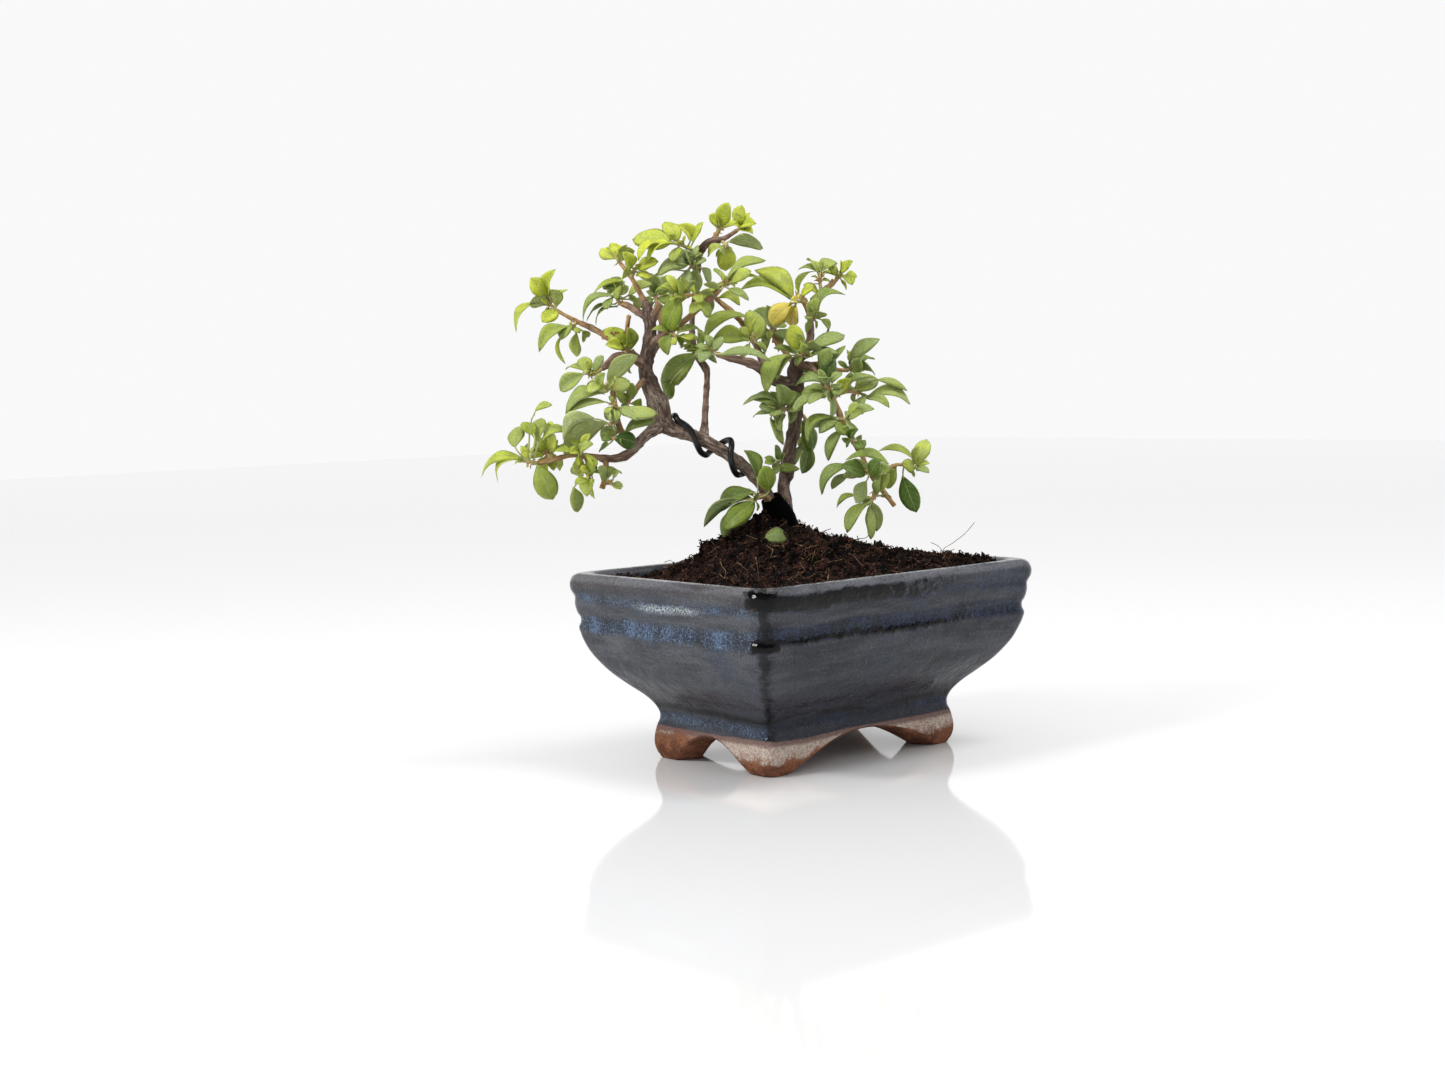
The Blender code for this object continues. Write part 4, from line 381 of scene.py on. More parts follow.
# Shoots. stem: u, v, w of a short green stem from the twig that bears it. leaves: u and v of the
# blade's foot, u and v of its tip, the width that shows, how much of its face shows (below zero
# where the underside shows) and, where it is bowed upwards more than usual, by how much.
SHOOTS = {
    "arm_tip": {
        "stem": [(-93.5, 176.6, -22), (-95.5, 178.2, -23), (-97.5, 180, -24)],
        "leaves": [
            (-98, 182, -103.5, 190, 7, 0.9), (-97, 183, -95.2, 193, 5, 0.8),
            (-96, 179, -105, 181, 5, -0.8), (-94.5, 178, -95.5, 186, 7, -0.9),
            (-98, 179, -111, 169.5, 3.5, 0.5, 4), (-94, 177, -100, 173, 6, 0.9),
            (-96, 180, -90, 185, 5, 0.6),
        ],
    },
    "arm_node": {
        "stem": [(-86.5, 172.5, -19), (-88, 170.5, -16.5), (-89.5, 169.3, -14.5)],
        "leaves": [
            (-89.5, 170.5, -102, 161.5, 5, 0.8, 1.5), (-90, 169, -92.3, 156, 2.5, 0.4, 2.5),
            (-86.5, 168, -87.3, 158.5, 4.5, 0.8), (-84.5, 169, -82.5, 165.5, 4, 0.9),
            (-88, 171.5, -93, 166.5, 4.5, 0.6),
        ],
    },
    "crown_twig_leaves": {
        "stem": [(-69.3, 179.3, -11), (-70.3, 181, -13), (-70, 183, -15)],
        "leaves": [
            (-70, 181.5, -84.5, 172, 3, 0.5, 5), (-70.5, 178.5, -83, 172.5, 2.5, 0.4, 1.5),
            (-67, 185, -76, 186, 6, 0.8, 1.5), (-66.5, 187.5, -80.5, 181, 3, 0.4, 1.5),
            (-68, 186, -75, 183, 4, 0.8), (-68.5, 186, -71, 181.5, 2.5, 0.5),
            (-72.5, 181.5, -74.5, 177, 3.5, 0.8), (-69.5, 177.5, -79, 170.5, 2, 0.4, 2.5),
            (-66, 181.5, -56.5, 187, 4, 0.7, 1), (-66, 180.5, -61, 179, 3.5, 0.6),
        ],
    },
    "tall_twig_leaves": {
        "stem": [(-69, 195.3, -14), (-69.8, 196.6, -14.5), (-70.2, 197.6, -15)],
        "leaves": [
            (-70, 196.5, -76.5, 200.5, 5, 0.9), (-69.8, 196.5, -69.6, 203.5, 5.5, 0.9),
            (-69.5, 196, -63, 199.5, 4, -0.7),
        ],
    },
    "tall_twig_side": {
        "stem": [(-64.5, 189, -10), (-63.5, 191, -6.5), (-62.8, 192.5, -4)],
        "leaves": [
            (-64.3, 192.8, -67.3, 199, 5.5, 0.9), (-62.5, 192.5, -54.5, 195.5, 4.5, 0.8),
            (-62, 191, -57, 188.5, 3.5, 0.6), (-63.5, 191, -69, 189.5, 4, -0.6),
        ],
    },
    "crown_top": {
        "stem": [(-37.6, 197, -10.5), (-40.5, 199.2, -7), (-44, 201, -4), (-47, 202, -2)],
        "leaves": [
            (-48, 202.5, -64, 204.6, 8, 0.9), (-46, 202.5, -51, 210.5, 8, 0.9),
            (-40, 201.5, -36.5, 210.5, 3, 0.6), (-41, 203, -44.8, 209.3, 4.5, 0.8),
            (-52, 201.5, -62, 196.5, 3, 0.5, 1.5), (-46, 201.5, -58.5, 195.5, 3.5, 0.5, 2),
            (-45.5, 200.5, -48.5, 195.7, 4, 0.8),
        ],
    },
    "crown_front": {
        "stem": [(-38.6, 190.5, -12), (-40.2, 192.5, -7), (-41.2, 193.6, -3)],
        "leaves": [
            (-42, 193.5, -54.5, 190.6, 5, 0.7, 1), (-41.5, 193.5, -42.7, 200, 4, 0.6),
            (-43, 190.5, -57.5, 187.5, 2, 0.4, 1), (-38.5, 193, -40.2, 182.3, 6.5, 0.9),
            (-42, 192, -44.6, 183.5, 5, 0.8), (-37.5, 192.5, -32.8, 186, 3.5, 0.7),
            (-40, 193.6, -35, 195, 2.5, 0.6),
        ],
    },
    "apex": {
        "stem": [(-29.8, 206.3, -10), (-29.3, 207.4, -10.5), (-29, 208.2, -11)],
        "leaves": [
            (-29, 208, -25.6, 217.3, 6, 0.9), (-30, 207.5, -33.5, 212.5, 3, 0.6),
            (-28.5, 207, -21.5, 210.5, 3, 0.6),
        ],
    },
    "apex_twig_leaves": {
        "stem": [(-22.5, 206.5, -3), (-21.5, 207.3, -2), (-20.8, 208, -1)],
        "leaves": [
            (-21.8, 208, -20.8, 215.8, 6, 0.9), (-21, 207.5, -15, 208.8, 4, 0.8),
            (-22, 206.5, -16.5, 205.8, 3, 0.7),
        ],
    },
    "apex_low": {
        "stem": [(-29, 203, -6.5), (-27.5, 201.4, -4), (-26.5, 200.3, -2)],
        "leaves": [
            (-26.5, 202, -12.3, 199.6, 5, -0.8, 1.2), (-27.5, 201.5, -27, 190.3, 9, 1.0),
            (-28.5, 200.5, -35, 197, 3.5, 0.6),
        ],
    },
    "rising_tip": {
        "stem": [(-29.5, 184, 13), (-28.3, 185.2, 13.5), (-27.2, 186.3, 14)],
        "leaves": [
            (-27.5, 186.5, -11.5, 194.7, 3.5, 0.6, 2), (-27, 187, -20, 191.6, 2.5, 0.5),
            (-25.5, 186, -17.5, 190.5, 4, 0.8), (-27, 184.5, -11.5, 186.8, 2.2, 0.35, 1),
            (-27, 183.8, -18.5, 179.6, 3, 0.7), (-29.5, 185.3, -34.8, 183.2, 4, 0.7),
            (-30, 183.5, -36.2, 186.5, 3, -0.6), (-28, 187, -31, 192, 2.5, 0.5),
        ],
    },
    "rising_low": {
        "stem": [(-36, 178.4, 12.5), (-38, 180.6, 14), (-40.5, 181.7, 15.5), (-45.5, 181.5, 17)],
        "leaves": [
            (-37, 179.5, -42.5, 174, 5, 0.8), (-45.5, 181, -52, 167.5, 8, 0.9),
            (-47, 182, -55.5, 184.5, 3.5, 0.5, 1.5), (-45, 181, -45.6, 187.5, 2, 0.5),
            (-38, 180, -34, 173.5, 3.5, 0.8), (-44, 181, -39.5, 187, 3.5, -0.5),
        ],
    },
    "rising_under": {
        "stem": [(-50, 167.6, 8), (-49, 166, 10.5), (-47.5, 165.8, 12.5)],
        "leaves": [
            (-49.7, 166.7, -52, 158.2, 5.5, 0.9), (-46.5, 167, -37.5, 168, 2.6, 0.6, 1),
            (-48, 166, -45.3, 161.2, 2.5, 0.7), (-46.5, 166, -41.5, 162.3, 2.5, 0.6),
        ],
    },
    "upright_leaves": {
        "stem": [(-39.5, 157, -6), (-38.3, 158.8, -1), (-37.5, 160.5, 3)],
        "leaves": [
            (-39.5, 159, -54, 145.3, 8.5, 0.95), (-41.5, 156.5, -48.3, 146.5, 5.5, 0.8),
            (-37.7, 164, -45.7, 163, 3, 0.6, 1), (-37, 162.5, -18.5, 173.5, 4.5, 0.6, 3),
            (-37, 158, -31.5, 155.8, 3, 0.7), (-38, 159, -38.2, 165.5, 2.6, 0.7),
            (-36.5, 157.5, -33, 162.5, 3, 0.8), (-49.5, 148.5, -52.4, 141, 5.5, 0.9),
        ],
    },
    "limb_tip": {
        "stem": [(-32, 158.3, 17), (-33, 159.2, 17.5), (-34, 159.8, 18)],
        "leaves": [
            (-31, 157.6, -10.5, 156.2, 3.5, 0.6, 1.6), (-34, 159.5, -38.5, 155.5, 4, 0.8),
            (-33.5, 159.7, -29.5, 164.5, 3.5, 0.7), (-34, 158.7, -41, 158.5, 3, 0.6, 1),
        ],
    },
    "crossing_leaves": {
        "stem": [(-16.5, 162, 3.5), (-17.3, 163.5, 8), (-18, 164.5, 11)],
        "leaves": [
            (-18.5, 163.5, -33.5, 164.5, 6.5, 0.9, 1), (-16, 163, -18, 176, 8, 0.95),
            (-16, 162, -11.5, 160, 3, 0.7),
        ],
    },
    "crossing_tip": {
        "stem": [(-31.5, 180, -9), (-32.3, 180.8, -9.5), (-33.2, 181.5, -10)],
        "leaves": [
            (-31, 180, -22, 177.3, 4.5, 0.7, 1.5), (-33, 181.5, -39, 179.8, 4, 0.6),
            (-32, 181, -28, 187.5, 3.5, 0.6), (-32.7, 180.5, -35.5, 173, 3.5, -0.6),
        ],
    },
    "yellow_leaves": {
        "stem": [(3, 178, -11.7), (0.8, 178.2, -9), (-0.6, 177.8, -7)],
        "leaves": [
            (-1.5, 177.5, -10.5, 169.3, 7, 0.95), (0, 177, -2.8, 168.3, 6, 0.9),
        ],
    },
    "long_leaves": {
        "stem": [(2.6, 179, -12), (1.5, 180.2, -13.5), (0.3, 180.8, -15)],
        "leaves": [
            (-1, 178.5, -16, 191.3, 7.5, 0.85, 2), (-2, 178.5, -22, 184, 5, 0.7, 2.5),
            (1, 181, 8, 190, 2.5, 0.5, 2.5), (2, 180.5, 6.5, 184.3, 3, 0.6),
        ],
    },
    "top_right": {
        "stem": [(10, 181.6, -16), (9.6, 184.5, -15), (9.4, 188, -14.5)],
        "leaves": [
            (9.3, 189, 0.8, 191, 3, 0.5, 1.5), (9.5, 189, 15.5, 194.4, 5, 0.8),
            (9, 181.5, 3, 184.5, 3.5, 0.7), (9.2, 182, 8.4, 176.5, 4, 0.8),
            (9, 187.5, 5, 195, 3.5, 0.6),
        ],
    },
    "right_tip": {
        "stem": [(16.8, 187, -20), (17.6, 187.8, -20.5), (18.2, 188.3, -21)],
        "leaves": [
            (17.3, 188.3, 22.6, 193.3, 3, 0.7), (16.8, 188, 12.5, 192.5, 3.5, 0.8),
            (18.8, 187.8, 22.2, 184.3, 4, 0.8), (17.6, 186.3, 20.3, 182.3, 2, 0.5),
            (16.5, 187.3, 10, 189, 2, 0.5, 1),
        ],
    },
    "right_hook": {
        "stem": [(5, 172, -9.5), (6.4, 171.3, -6), (7.6, 171.6, -3)],
        "leaves": [
            (5.6, 171.5, 8.2, 179, 4.5, 0.8), (8.5, 173, 19.6, 180.3, 3.5, 0.5, 2.5),
            (7.2, 170.8, 10.5, 174, 4, -0.8), (9.3, 171, 10.8, 164.3, 2.5, 0.5, 1.5),
            (6.5, 171, 3.5, 165.5, 3.5, 0.6),
        ],
    },
    "fork_leaves": {
        "stem": [(0.5, 156, -2.5), (2, 157, 3.5), (2.6, 158, 7.5)],
        "leaves": [
            (1.8, 158, -2, 169.3, 8.5, 0.95), (0.3, 157, -4.3, 164, 4, 0.7),
            (0.5, 156.5, -13, 143.5, 4.5, 0.6, 3.5), (0, 156, -8.2, 147.5, 3.5, 0.5, 2),
            (2.8, 157.3, 19, 165, 4.5, 0.7, 1), (3.3, 155.5, 16.5, 158.2, 3, 0.5, 1),
            (2, 159, 9.5, 160.8, 3.5, -0.7), (-1, 157.5, -9.3, 160.5, 2.5, 0.6),
        ],
    },
    "shade_leaves": {
        "stem": [(10, 146, 10), (10.8, 148, 7), (11.5, 150, 4.5)],
        "leaves": [
            (8.5, 151.5, 13, 158.7, 5, 0.9), (12.3, 146.5, 14.8, 155.3, 5, 0.8),
            (12, 149.5, 18.8, 160.8, 2.5, 0.4), (9.5, 148, 2.5, 149.3, 3, 0.5, 1),
        ],
    },
    "outer_right": {
        "stem": [(19.5, 150.6, -11), (20.6, 151.2, -12), (21.5, 151.9, -13)],
        "leaves": [
            (20, 153.5, 32, 163.5, 5, 0.6, 1), (21, 150, 24.3, 154.8, 6, 0.9),
            (24, 151, 30.5, 154.8, 2.5, 0.6, 1), (20, 151.5, 16, 154.3, 2.5, 0.7),
            (22, 153, 23.5, 161, 4.5, 0.7), (22.5, 151.5, 31, 149.5, 4.5, -0.6, 1),
        ],
    },
    "right_shelf": {
        "stem": [(13.5, 139.3, 13.5), (16, 141.3, 9), (20, 142.3, 5), (24.5, 141.6, 2)],
        "leaves": [
            (22.5, 142.5, 32, 147, 6.5, 0.85), (16, 144, 32.5, 147.6, 3, 0.5, 1.5),
            (30, 146.5, 43.5, 142.4, 3, 0.7, 1), (26.5, 139.5, 44.7, 137.4, 4.5, 0.6, 2.5),
            (27.5, 140.5, 22.5, 134.8, 3, 0.5, 1), (26.5, 139.5, 36, 136.4, 3.5, 0.7),
            (17, 142.5, 20.5, 147.3, 4.5, 0.9),
        ],
    },
    "inner_right": {
        "stem": [(11, 144.3, 11.2), (11.8, 144.6, 15.5), (12.2, 143.6, 19)],
        "leaves": [
            (11, 144.5, -1.5, 145, 3.5, 0.5, 2.5), (10.5, 143.5, 0.8, 139.7, 3.5, 0.7, 1),
            (10, 142, 4, 137.8, 3, 0.8), (11, 139.5, -2.7, 134.3, 3, 0.6, 1.5),
            (12.8, 138.5, 15, 143.5, 2.6, 0.7), (11.5, 141.5, 13, 132.5, 2.5, 0.6),
        ],
    },
    "stem_leaves": {
        "stem": [(-1.2, 135, -0.5), (-4.5, 136, 5), (-7, 136.3, 9)],
        "leaves": [
            (-7.5, 137.3, -18.3, 141.3, 4.5, 0.7, 1), (-8.5, 138.5, -22, 138.6, 2, 0.4, 2.5),
            (-6.3, 137.5, -8.4, 146, 6, 0.9), (-5.5, 137.3, -0.8, 142.5, 4, 0.8),
            (-7.5, 135, -15.3, 137.4, 3.5, 0.7), (-7.8, 135.5, -7, 130.5, 5.5, 0.95),
            (-10, 134, -18.3, 133, 2, 0.5, 1), (-11.5, 133, -5.7, 122, 3.5, 0.7, -1),
            (-3.3, 130.2, -1, 135.5, 2.5, 0.7),
        ],
    },
    "stem_side": {
        "stem": [(-0.9, 134, -0.6), (2, 133, -4), (3.6, 128, -7), (3, 124, -9)],
        "leaves": [
            (1, 131.5, 5, 118.5, 6, 0.8, 1), (4, 123, 0.2, 110.3, 5, 0.8, -1.5),
            (1.5, 122, -1.8, 114, 3.5, -0.6), (-1, 124.5, 3.5, 131.5, 3.5, 0.6),
        ],
    },
    "knot_leaves": {
        "stem": [(-7.8, 113.4, 0.5), (-8.4, 114.1, 2.5), (-8.8, 114.2, 4.5)],
        "leaves": [
            (-9.8, 112.3, 0, 112.4, 3.4, 0.7, 0.6), (-8, 115.5, -9.7, 121.8, 2.6, 0.6),
        ],
    },
    "arm_leaves": {
        "stem": [(17.2, 130.7, 17.6), (17.7, 131.6, 21.5), (18.4, 131.5, 24.5)],
        "leaves": [
            (16.5, 131, 8, 126.8, 4.5, 0.8, 0.8), (17.3, 127.5, 10.3, 115.2, 4, 0.8, 1),
            (20, 131, 30, 135.2, 3.5, 0.7, 1), (19.3, 131, 21.4, 134.5, 2.5, 0.7),
            (15.5, 132, 2.8, 122, 3.5, 0.6, 4), (18.5, 130.5, 22, 126.3, 3, 0.6),
        ],
    },
    "arm_knot": {
        "stem": [(21.8, 121.8, 21), (21.2, 123, 24), (21, 123.6, 26)],
        "leaves": [
            (20.8, 123.5, 18.7, 121.3, 3, 0.8), (21.8, 123.6, 24.6, 122, 2.6, 0.8),
            (21, 124.5, 22.8, 127.4, 2.6, 0.7),
        ],
    },
    "low_right": {
        "stem": [(26.8, 111.5, 23), (27.3, 110.3, 28), (27.6, 109.4, 31)],
        "leaves": [
            (35.5, 113, 18, 116, 3, 0.5, 2.5), (26, 109.3, 17, 113.5, 6, 0.8),
            (27.5, 108.5, 31, 115.3, 5, 0.8), (28.5, 110, 36.5, 112, 3.5, 0.7),
            (20, 113.3, 7.5, 102, 4, 0.7, 3), (18, 110, 12.4, 104.5, 3.5, -0.7),
            (26.5, 107, 21.3, 98, 5.5, -0.9),
        ],
    },
    "low_right_under": {
        "stem": [(31.5, 104.5, 24.2), (29.8, 101.7, 26.5), (28.4, 99.3, 28)],
        "leaves": [
            (22.5, 101, 14, 96.4, 2.2, 0.4, 2), (27, 98, 18, 86.4, 4, 0.7, 0.6),
            (27, 97, 28.2, 83.6, 4, 0.7), (28.3, 98.5, 30.6, 87.3, 5.5, -0.9),
            (30.5, 102.5, 34.7, 109.5, 4, 0.8), (30, 101, 31.2, 109, 2.6, 0.7),
        ],
    },
    "far_right": {
        "stem": [(30, 106.7, 23.9), (33, 110.3, 20), (38.5, 113, 16), (45.5, 111.7, 13)],
        "leaves": [
            (46, 112, 50.5, 122.8, 5.5, 0.8), (45, 115, 30.8, 118.6, 3, 0.5, 2),
            (45.5, 111, 41.3, 113.6, 4, 0.8), (46, 111.3, 51, 110, 2.6, 0.7),
            (40.5, 109, 46, 94, 7, 1.0), (38.5, 113, 34, 103.5, 4, 0.8),
        ],
    },
    "basal": {
        "stem": [(-16.4, 101.3, 9), (-17.4, 101, 10.5), (-18, 100.8, 12)],
        "leaves": [
            (-17, 108.5, -22, 120.3, 4.5, 0.8), (-12.5, 103, -14, 113.8, 7.5, 0.95),
            (-17.5, 103.5, -33, 97, 6.5, 0.8, 1), (-18, 99.5, -31, 88.5, 7.5, 0.9, 1),
            (-22, 100.5, -39.5, 90.6, 4, -0.7, 1.2), (-27, 97.5, -31.8, 85.6, 4, 0.7),
        ],
    },
    "low_tip": {
        "stem": [(-103.5, 117.2, 29), (-105, 117.3, 29.7), (-108, 118.2, 31)],
        "leaves": [
            (-104, 116.5, -98, 102.5, 8, 0.95), (-108.5, 118.5, -126.5, 112.5, 3.5, 0.7, 3),
            (-109, 119, -120, 110, 3, 0.7, 3.5), (-112.5, 123.5, -111, 132.5, 6, 0.9),
            (-108, 118.5, -106.5, 126.8, 3.5, 0.7), (-104.5, 128, -109, 134.3, 6, 0.9),
            (-103.3, 125, -102, 135.6, 5.5, 0.9), (-104.5, 135.5, -97.3, 140, 2.2, 0.5, 1),
            (-102, 126, -90, 130, 3.5, 0.6, 1.5),
        ],
    },
    "low_mid": {
        "stem": [(-98, 118.3, 28), (-99, 119.8, 25), (-99.8, 121.3, 22.5)],
        "leaves": [
            (-98, 121.3, -96.8, 128.5, 4, 0.8), (-100.5, 130.3, -97, 132.2, 2.6, 0.8),
            (-101.5, 120.5, -106.3, 124.2, 4, 0.8), (-101, 121, -103.6, 127, 4, 0.8),
            (-99.5, 121.5, -100, 127.5, 3, 0.7), (-99.5, 119, -97.3, 114.3, 3.5, 0.8),
            (-98, 120, -90.5, 121.5, 2.2, 0.5, 1),
        ],
    },
    "low_hanging": {
        "stem": [(-85, 119.8, 24), (-84, 116.5, 26.5), (-83.5, 112.5, 28), (-84, 110.5, 28.5)],
        "leaves": [
            (-90, 107.5, -88, 97, 5, 0.95), (-86, 113, -90.6, 112.8, 4, -0.8),
            (-82.5, 110.5, -85, 104.3, 6, 0.9), (-83.2, 112, -81.3, 118, 4, 0.8),
            (-84, 111, -86.4, 116.5, 3.5, 0.8), (-84, 110, -89, 108.8, 2.6, 0.7),
            (-82, 110, -81.7, 102.5, 2.2, 0.6),
        ],
    },
    "low_top": {
        "stem": [(-86.5, 119.9, 24.5), (-86.7, 121, 27.5), (-86.5, 122, 29.5)],
        "leaves": [
            (-87, 120.5, -84.8, 124.5, 3, 0.8), (-87.3, 120, -88, 115.8, 3.6, 0.8),
            (-86, 122, -82.5, 124.5, 2.6, 0.6),
        ],
    },
    "spur_tip": {
        "stem": [(-78, 109, 23.6), (-76, 108.5, 26), (-74.8, 109, 28)],
        "leaves": [(-76.5, 109.5, -70.5, 112.8, 4, 0.7, 1.5), (-77, 110, -79.5, 115, 3, 0.6)],
    },
    "grey_leaves": {
        "stem": [(-71.6, 133, 21), (-73.3, 132.4, 24.5), (-75, 131.8, 27)],
        "leaves": [
            (-75, 132.3, -93.3, 120, 8, -0.9, 1), (-72.5, 131, -78, 126, 6, -0.9),
            (-80, 134, -93.6, 126, 5, -0.7, 2),
        ],
    },
    "dark_leaf": {
        "stem": [(-67.6, 124.7, 17.5), (-71, 125.6, 23), (-73.3, 126.3, 26.5)],
        "leaves": [
            (-73.5, 126.3, -64, 123.6, 6.5, 0.95, 0.5), (-75, 124, -79.4, 121.6, 2.6, 0.6),
            (-69, 128, -57, 133.3, 4, 0.6, 1.5),
        ],
    },
    "ochre_top": {
        "stem": [(-73.2, 145, 22), (-73.7, 145.8, 23), (-74.4, 146.4, 24)],
        "leaves": [
            (-76, 143.5, -92.7, 138, 5, 0.6, 2.5), (-75.5, 145.5, -82.7, 147.5, 5, -0.8),
            (-75.5, 145.3, -66, 149.3, 6, 0.9), (-77, 147.5, -82.5, 144.8, 4, 0.7),
            (-75.5, 149, -63, 158.7, 6, -0.9), (-78.3, 147, -75.8, 152, 4, 0.9),
        ],
    },
    "ochre_low": {
        "stem": [(-72.3, 137.5, 21.8), (-73, 138.6, 25.5), (-73, 139.2, 28)],
        "leaves": [
            (-76, 140.5, -91.5, 137.2, 3, 0.6, 1), (-73.5, 139, -76.5, 133.3, 5, 0.9),
            (-70.5, 136.5, -55.6, 136.3, 5.5, 0.8), (-71, 138.5, -63.3, 133.5, 4, 0.7),
        ],
    },
    "stub_rosette": {
        "stem": [(-77.3, 153.7, 17), (-79.5, 151.9, 18.5), (-82.5, 151.3, 20)],
        "leaves": [
            (-84, 152, -94, 145.5, 6, 0.95), (-83.5, 152.5, -91.7, 154, 2.6, 0.5, 1.5),
            (-82.7, 152, -84.2, 159, 5, 0.95), (-80.5, 152.5, -77, 158.7, 3.5, 0.8),
        ],
    },
    "spur_leaves": {
        "stem": [(-66.2, 141.8, 11), (-66.8, 140.8, 11.7), (-67.2, 139.9, 12.3)],
        "leaves": [
            (-66.7, 141.3, -65.4, 147.6, 4, 0.9), (-67.5, 140, -72, 144.5, 4, 0.7),
            (-66.5, 139.8, -61.5, 136.5, 3, 0.6),
        ],
    },
    "arm_base": {
        "stem": [(-66, 160, -2), (-67.3, 161, 2.5), (-68, 161.5, 5.5)],
        "leaves": [
            (-67.5, 161, -76, 169.3, 8, 0.9), (-66, 160.5, -66.3, 169.6, 4.5, 0.8),
            (-69, 160.5, -75.3, 163.3, 4, 0.7), (-66.5, 157.5, -66.8, 152, 5, 0.9),
        ],
    },
    "back_crown": {
        "stem": [(-54.5, 178, -25), (-55, 180, -27), (-55, 182, -29)],
        "leaves": [
            (-55.5, 182, -62, 190.5, 5, -0.7), (-54.5, 182, -48, 189, 5, -0.8),
            (-55.5, 180.5, -64, 178, 4, 0.6), (-54.5, 180.5, -46.5, 178, 4, 0.6),
            (-55, 182.5, -56.5, 190, 5, 0.8), (-54.5, 179.5, -52, 172, 5, -0.7),
            (-55.5, 179.5, -60, 172, 4, 0.6), (-55, 182, -53, 186, 6, 0.3),
        ],
    },
    "back_right": {
        "stem": [(-9, 164, -26), (-9.6, 166, -28), (-9.8, 168, -30)],
        "leaves": [
            (-10, 168, -17, 175, 5, -0.7), (-9.5, 168, -3, 173.5, 5, -0.8),
            (-10, 166.5, -18.5, 164, 4, 0.6), (-9.5, 166.5, -1.5, 163.5, 4, 0.6),
            (-9.8, 168.5, -11, 176.5, 5, 0.8), (-9.5, 165.5, -6.5, 158.5, 5, -0.7),
            (-10, 165.5, -14, 157.5, 4, 0.6), (-9.8, 168, -8.5, 172, 6, 0.3),
        ],
    },
}


# Fine leaves, in millimetres: rows along and columns each side of the midrib, and the blade's
# body, fold, rolled margin and waves as shares of its half width
LEAF_ROWS = 10
LEAF_COLUMNS = 3
LEAF_BODY = 0.34
LEAF_FOLD = 0.2
LEAF_ROLL = 0.34
LEAF_WAVE = 0.1
OUTLINE_SCALE = 1.12
STALK_RADIUS = 0.4
STALK_END_RADIUS = 0.3
STEM_SIDES = 8
STALK_SIDES = 6
STALK_GREEN = 0.6
MATCH_DISTANCE = 0.25

# How leaves differ from each other: where they are widest, how full foot and tip are, how many are
# folded shut and how far, the shares of fold and roll, droop, sickle, twist and waves, then how
# far green and grey stray from the shoot's, and how many leaves have spots
WIDEST_AT = (0.9, 1.28)
FOOT_FULLNESS = (0.75, 1.0)
TIP_FULLNESS = (0.5, 0.72)
FOLDED_SHARE = 0.14
CLOSED_FOLD = (0.6, 0.85)
FOLD_SHARE = (0.3, 1.7)
ROLL_SHARE = (0.3, 1.3)
DROOP = (0.0, 0.55)
SICKLE = (-0.22, 0.22)
TWIST = (-0.4, 0.4)
WAVES = (5.0, 9.0)
GREEN_SPREAD = 0.17
GREY_SPREAD = 0.2
SPOTTED_SHARE = 0.07
SPOT_STRENGTH = 0.4

# The leaf on the soil: half its length and width, its bow, its tilt to the eye, and its look
FALLEN_HALF_LENGTH = 4.7
FALLEN_HALF_WIDTH = 3.9
FALLEN_BOW = 2.0
FALLEN_TILT = 0.45
FALLEN_LOOK = (0.22, 0.3, 0.6)

# How green a shoot's leaves are (0 dark, 1 lime), partly their own colour and partly painted shade on
# inner and low shoots and painted light on top and outer ones, and how grey with down (0 to 1)
LEAF_LOOKS = {
    "arm_tip": (0.9, 0.1), "arm_node": (0.72, 0.2), "crown_twig_leaves": (0.62, 0.25),
    "tall_twig_leaves": (1.0, 0.0), "tall_twig_side": (0.9, 0.05), "crown_top": (0.88, 0.05),
    "crown_front": (0.4, 0.7), "apex": (0.95, 0.0), "apex_twig_leaves": (0.92, 0.05),
    "apex_low": (0.72, 0.25), "rising_tip": (0.62, 0.3), "rising_low": (0.62, 0.15),
    "rising_under": (0.6, 0.2), "upright_leaves": (0.5, 0.25), "limb_tip": (0.35, 0.5),
    "crossing_leaves": (0.6, 0.2), "crossing_tip": (0.7, 0.15), "yellow_leaves": (1.0, 0.0),
    "long_leaves": (0.75, 0.15), "top_right": (0.72, 0.2), "right_tip": (0.72, 0.1),
    "right_hook": (0.5, 0.3), "fork_leaves": (0.5, 0.4), "shade_leaves": (0.25, 0.25),
    "outer_right": (0.45, 0.35), "right_shelf": (0.5, 0.4), "inner_right": (0.35, 0.45),
    "stem_leaves": (0.38, 0.45), "stem_side": (0.3, 0.2), "knot_leaves": (0.3, 0.3),
    "arm_leaves": (0.42, 0.4), "arm_knot": (0.2, 0.1), "low_right": (0.38, 0.3),
    "low_right_under": (0.48, 0.3), "far_right": (0.6, 0.35), "basal": (0.2, 0.1),
    "low_tip": (0.75, 0.15), "low_mid": (0.8, 0.1), "low_hanging": (0.68, 0.2),
    "low_top": (0.7, 0.1), "spur_tip": (0.5, 0.5), "grey_leaves": (0.55, 0.85),
    "dark_leaf": (0.3, 0.2), "ochre_top": (0.62, 0.45), "ochre_low": (0.55, 0.45),
    "stub_rosette": (0.68, 0.4), "spur_leaves": (0.5, 0.2), "arm_base": (0.66, 0.0),
    "back_crown": (0.5, 0.35), "back_right": (0.45, 0.35),
}
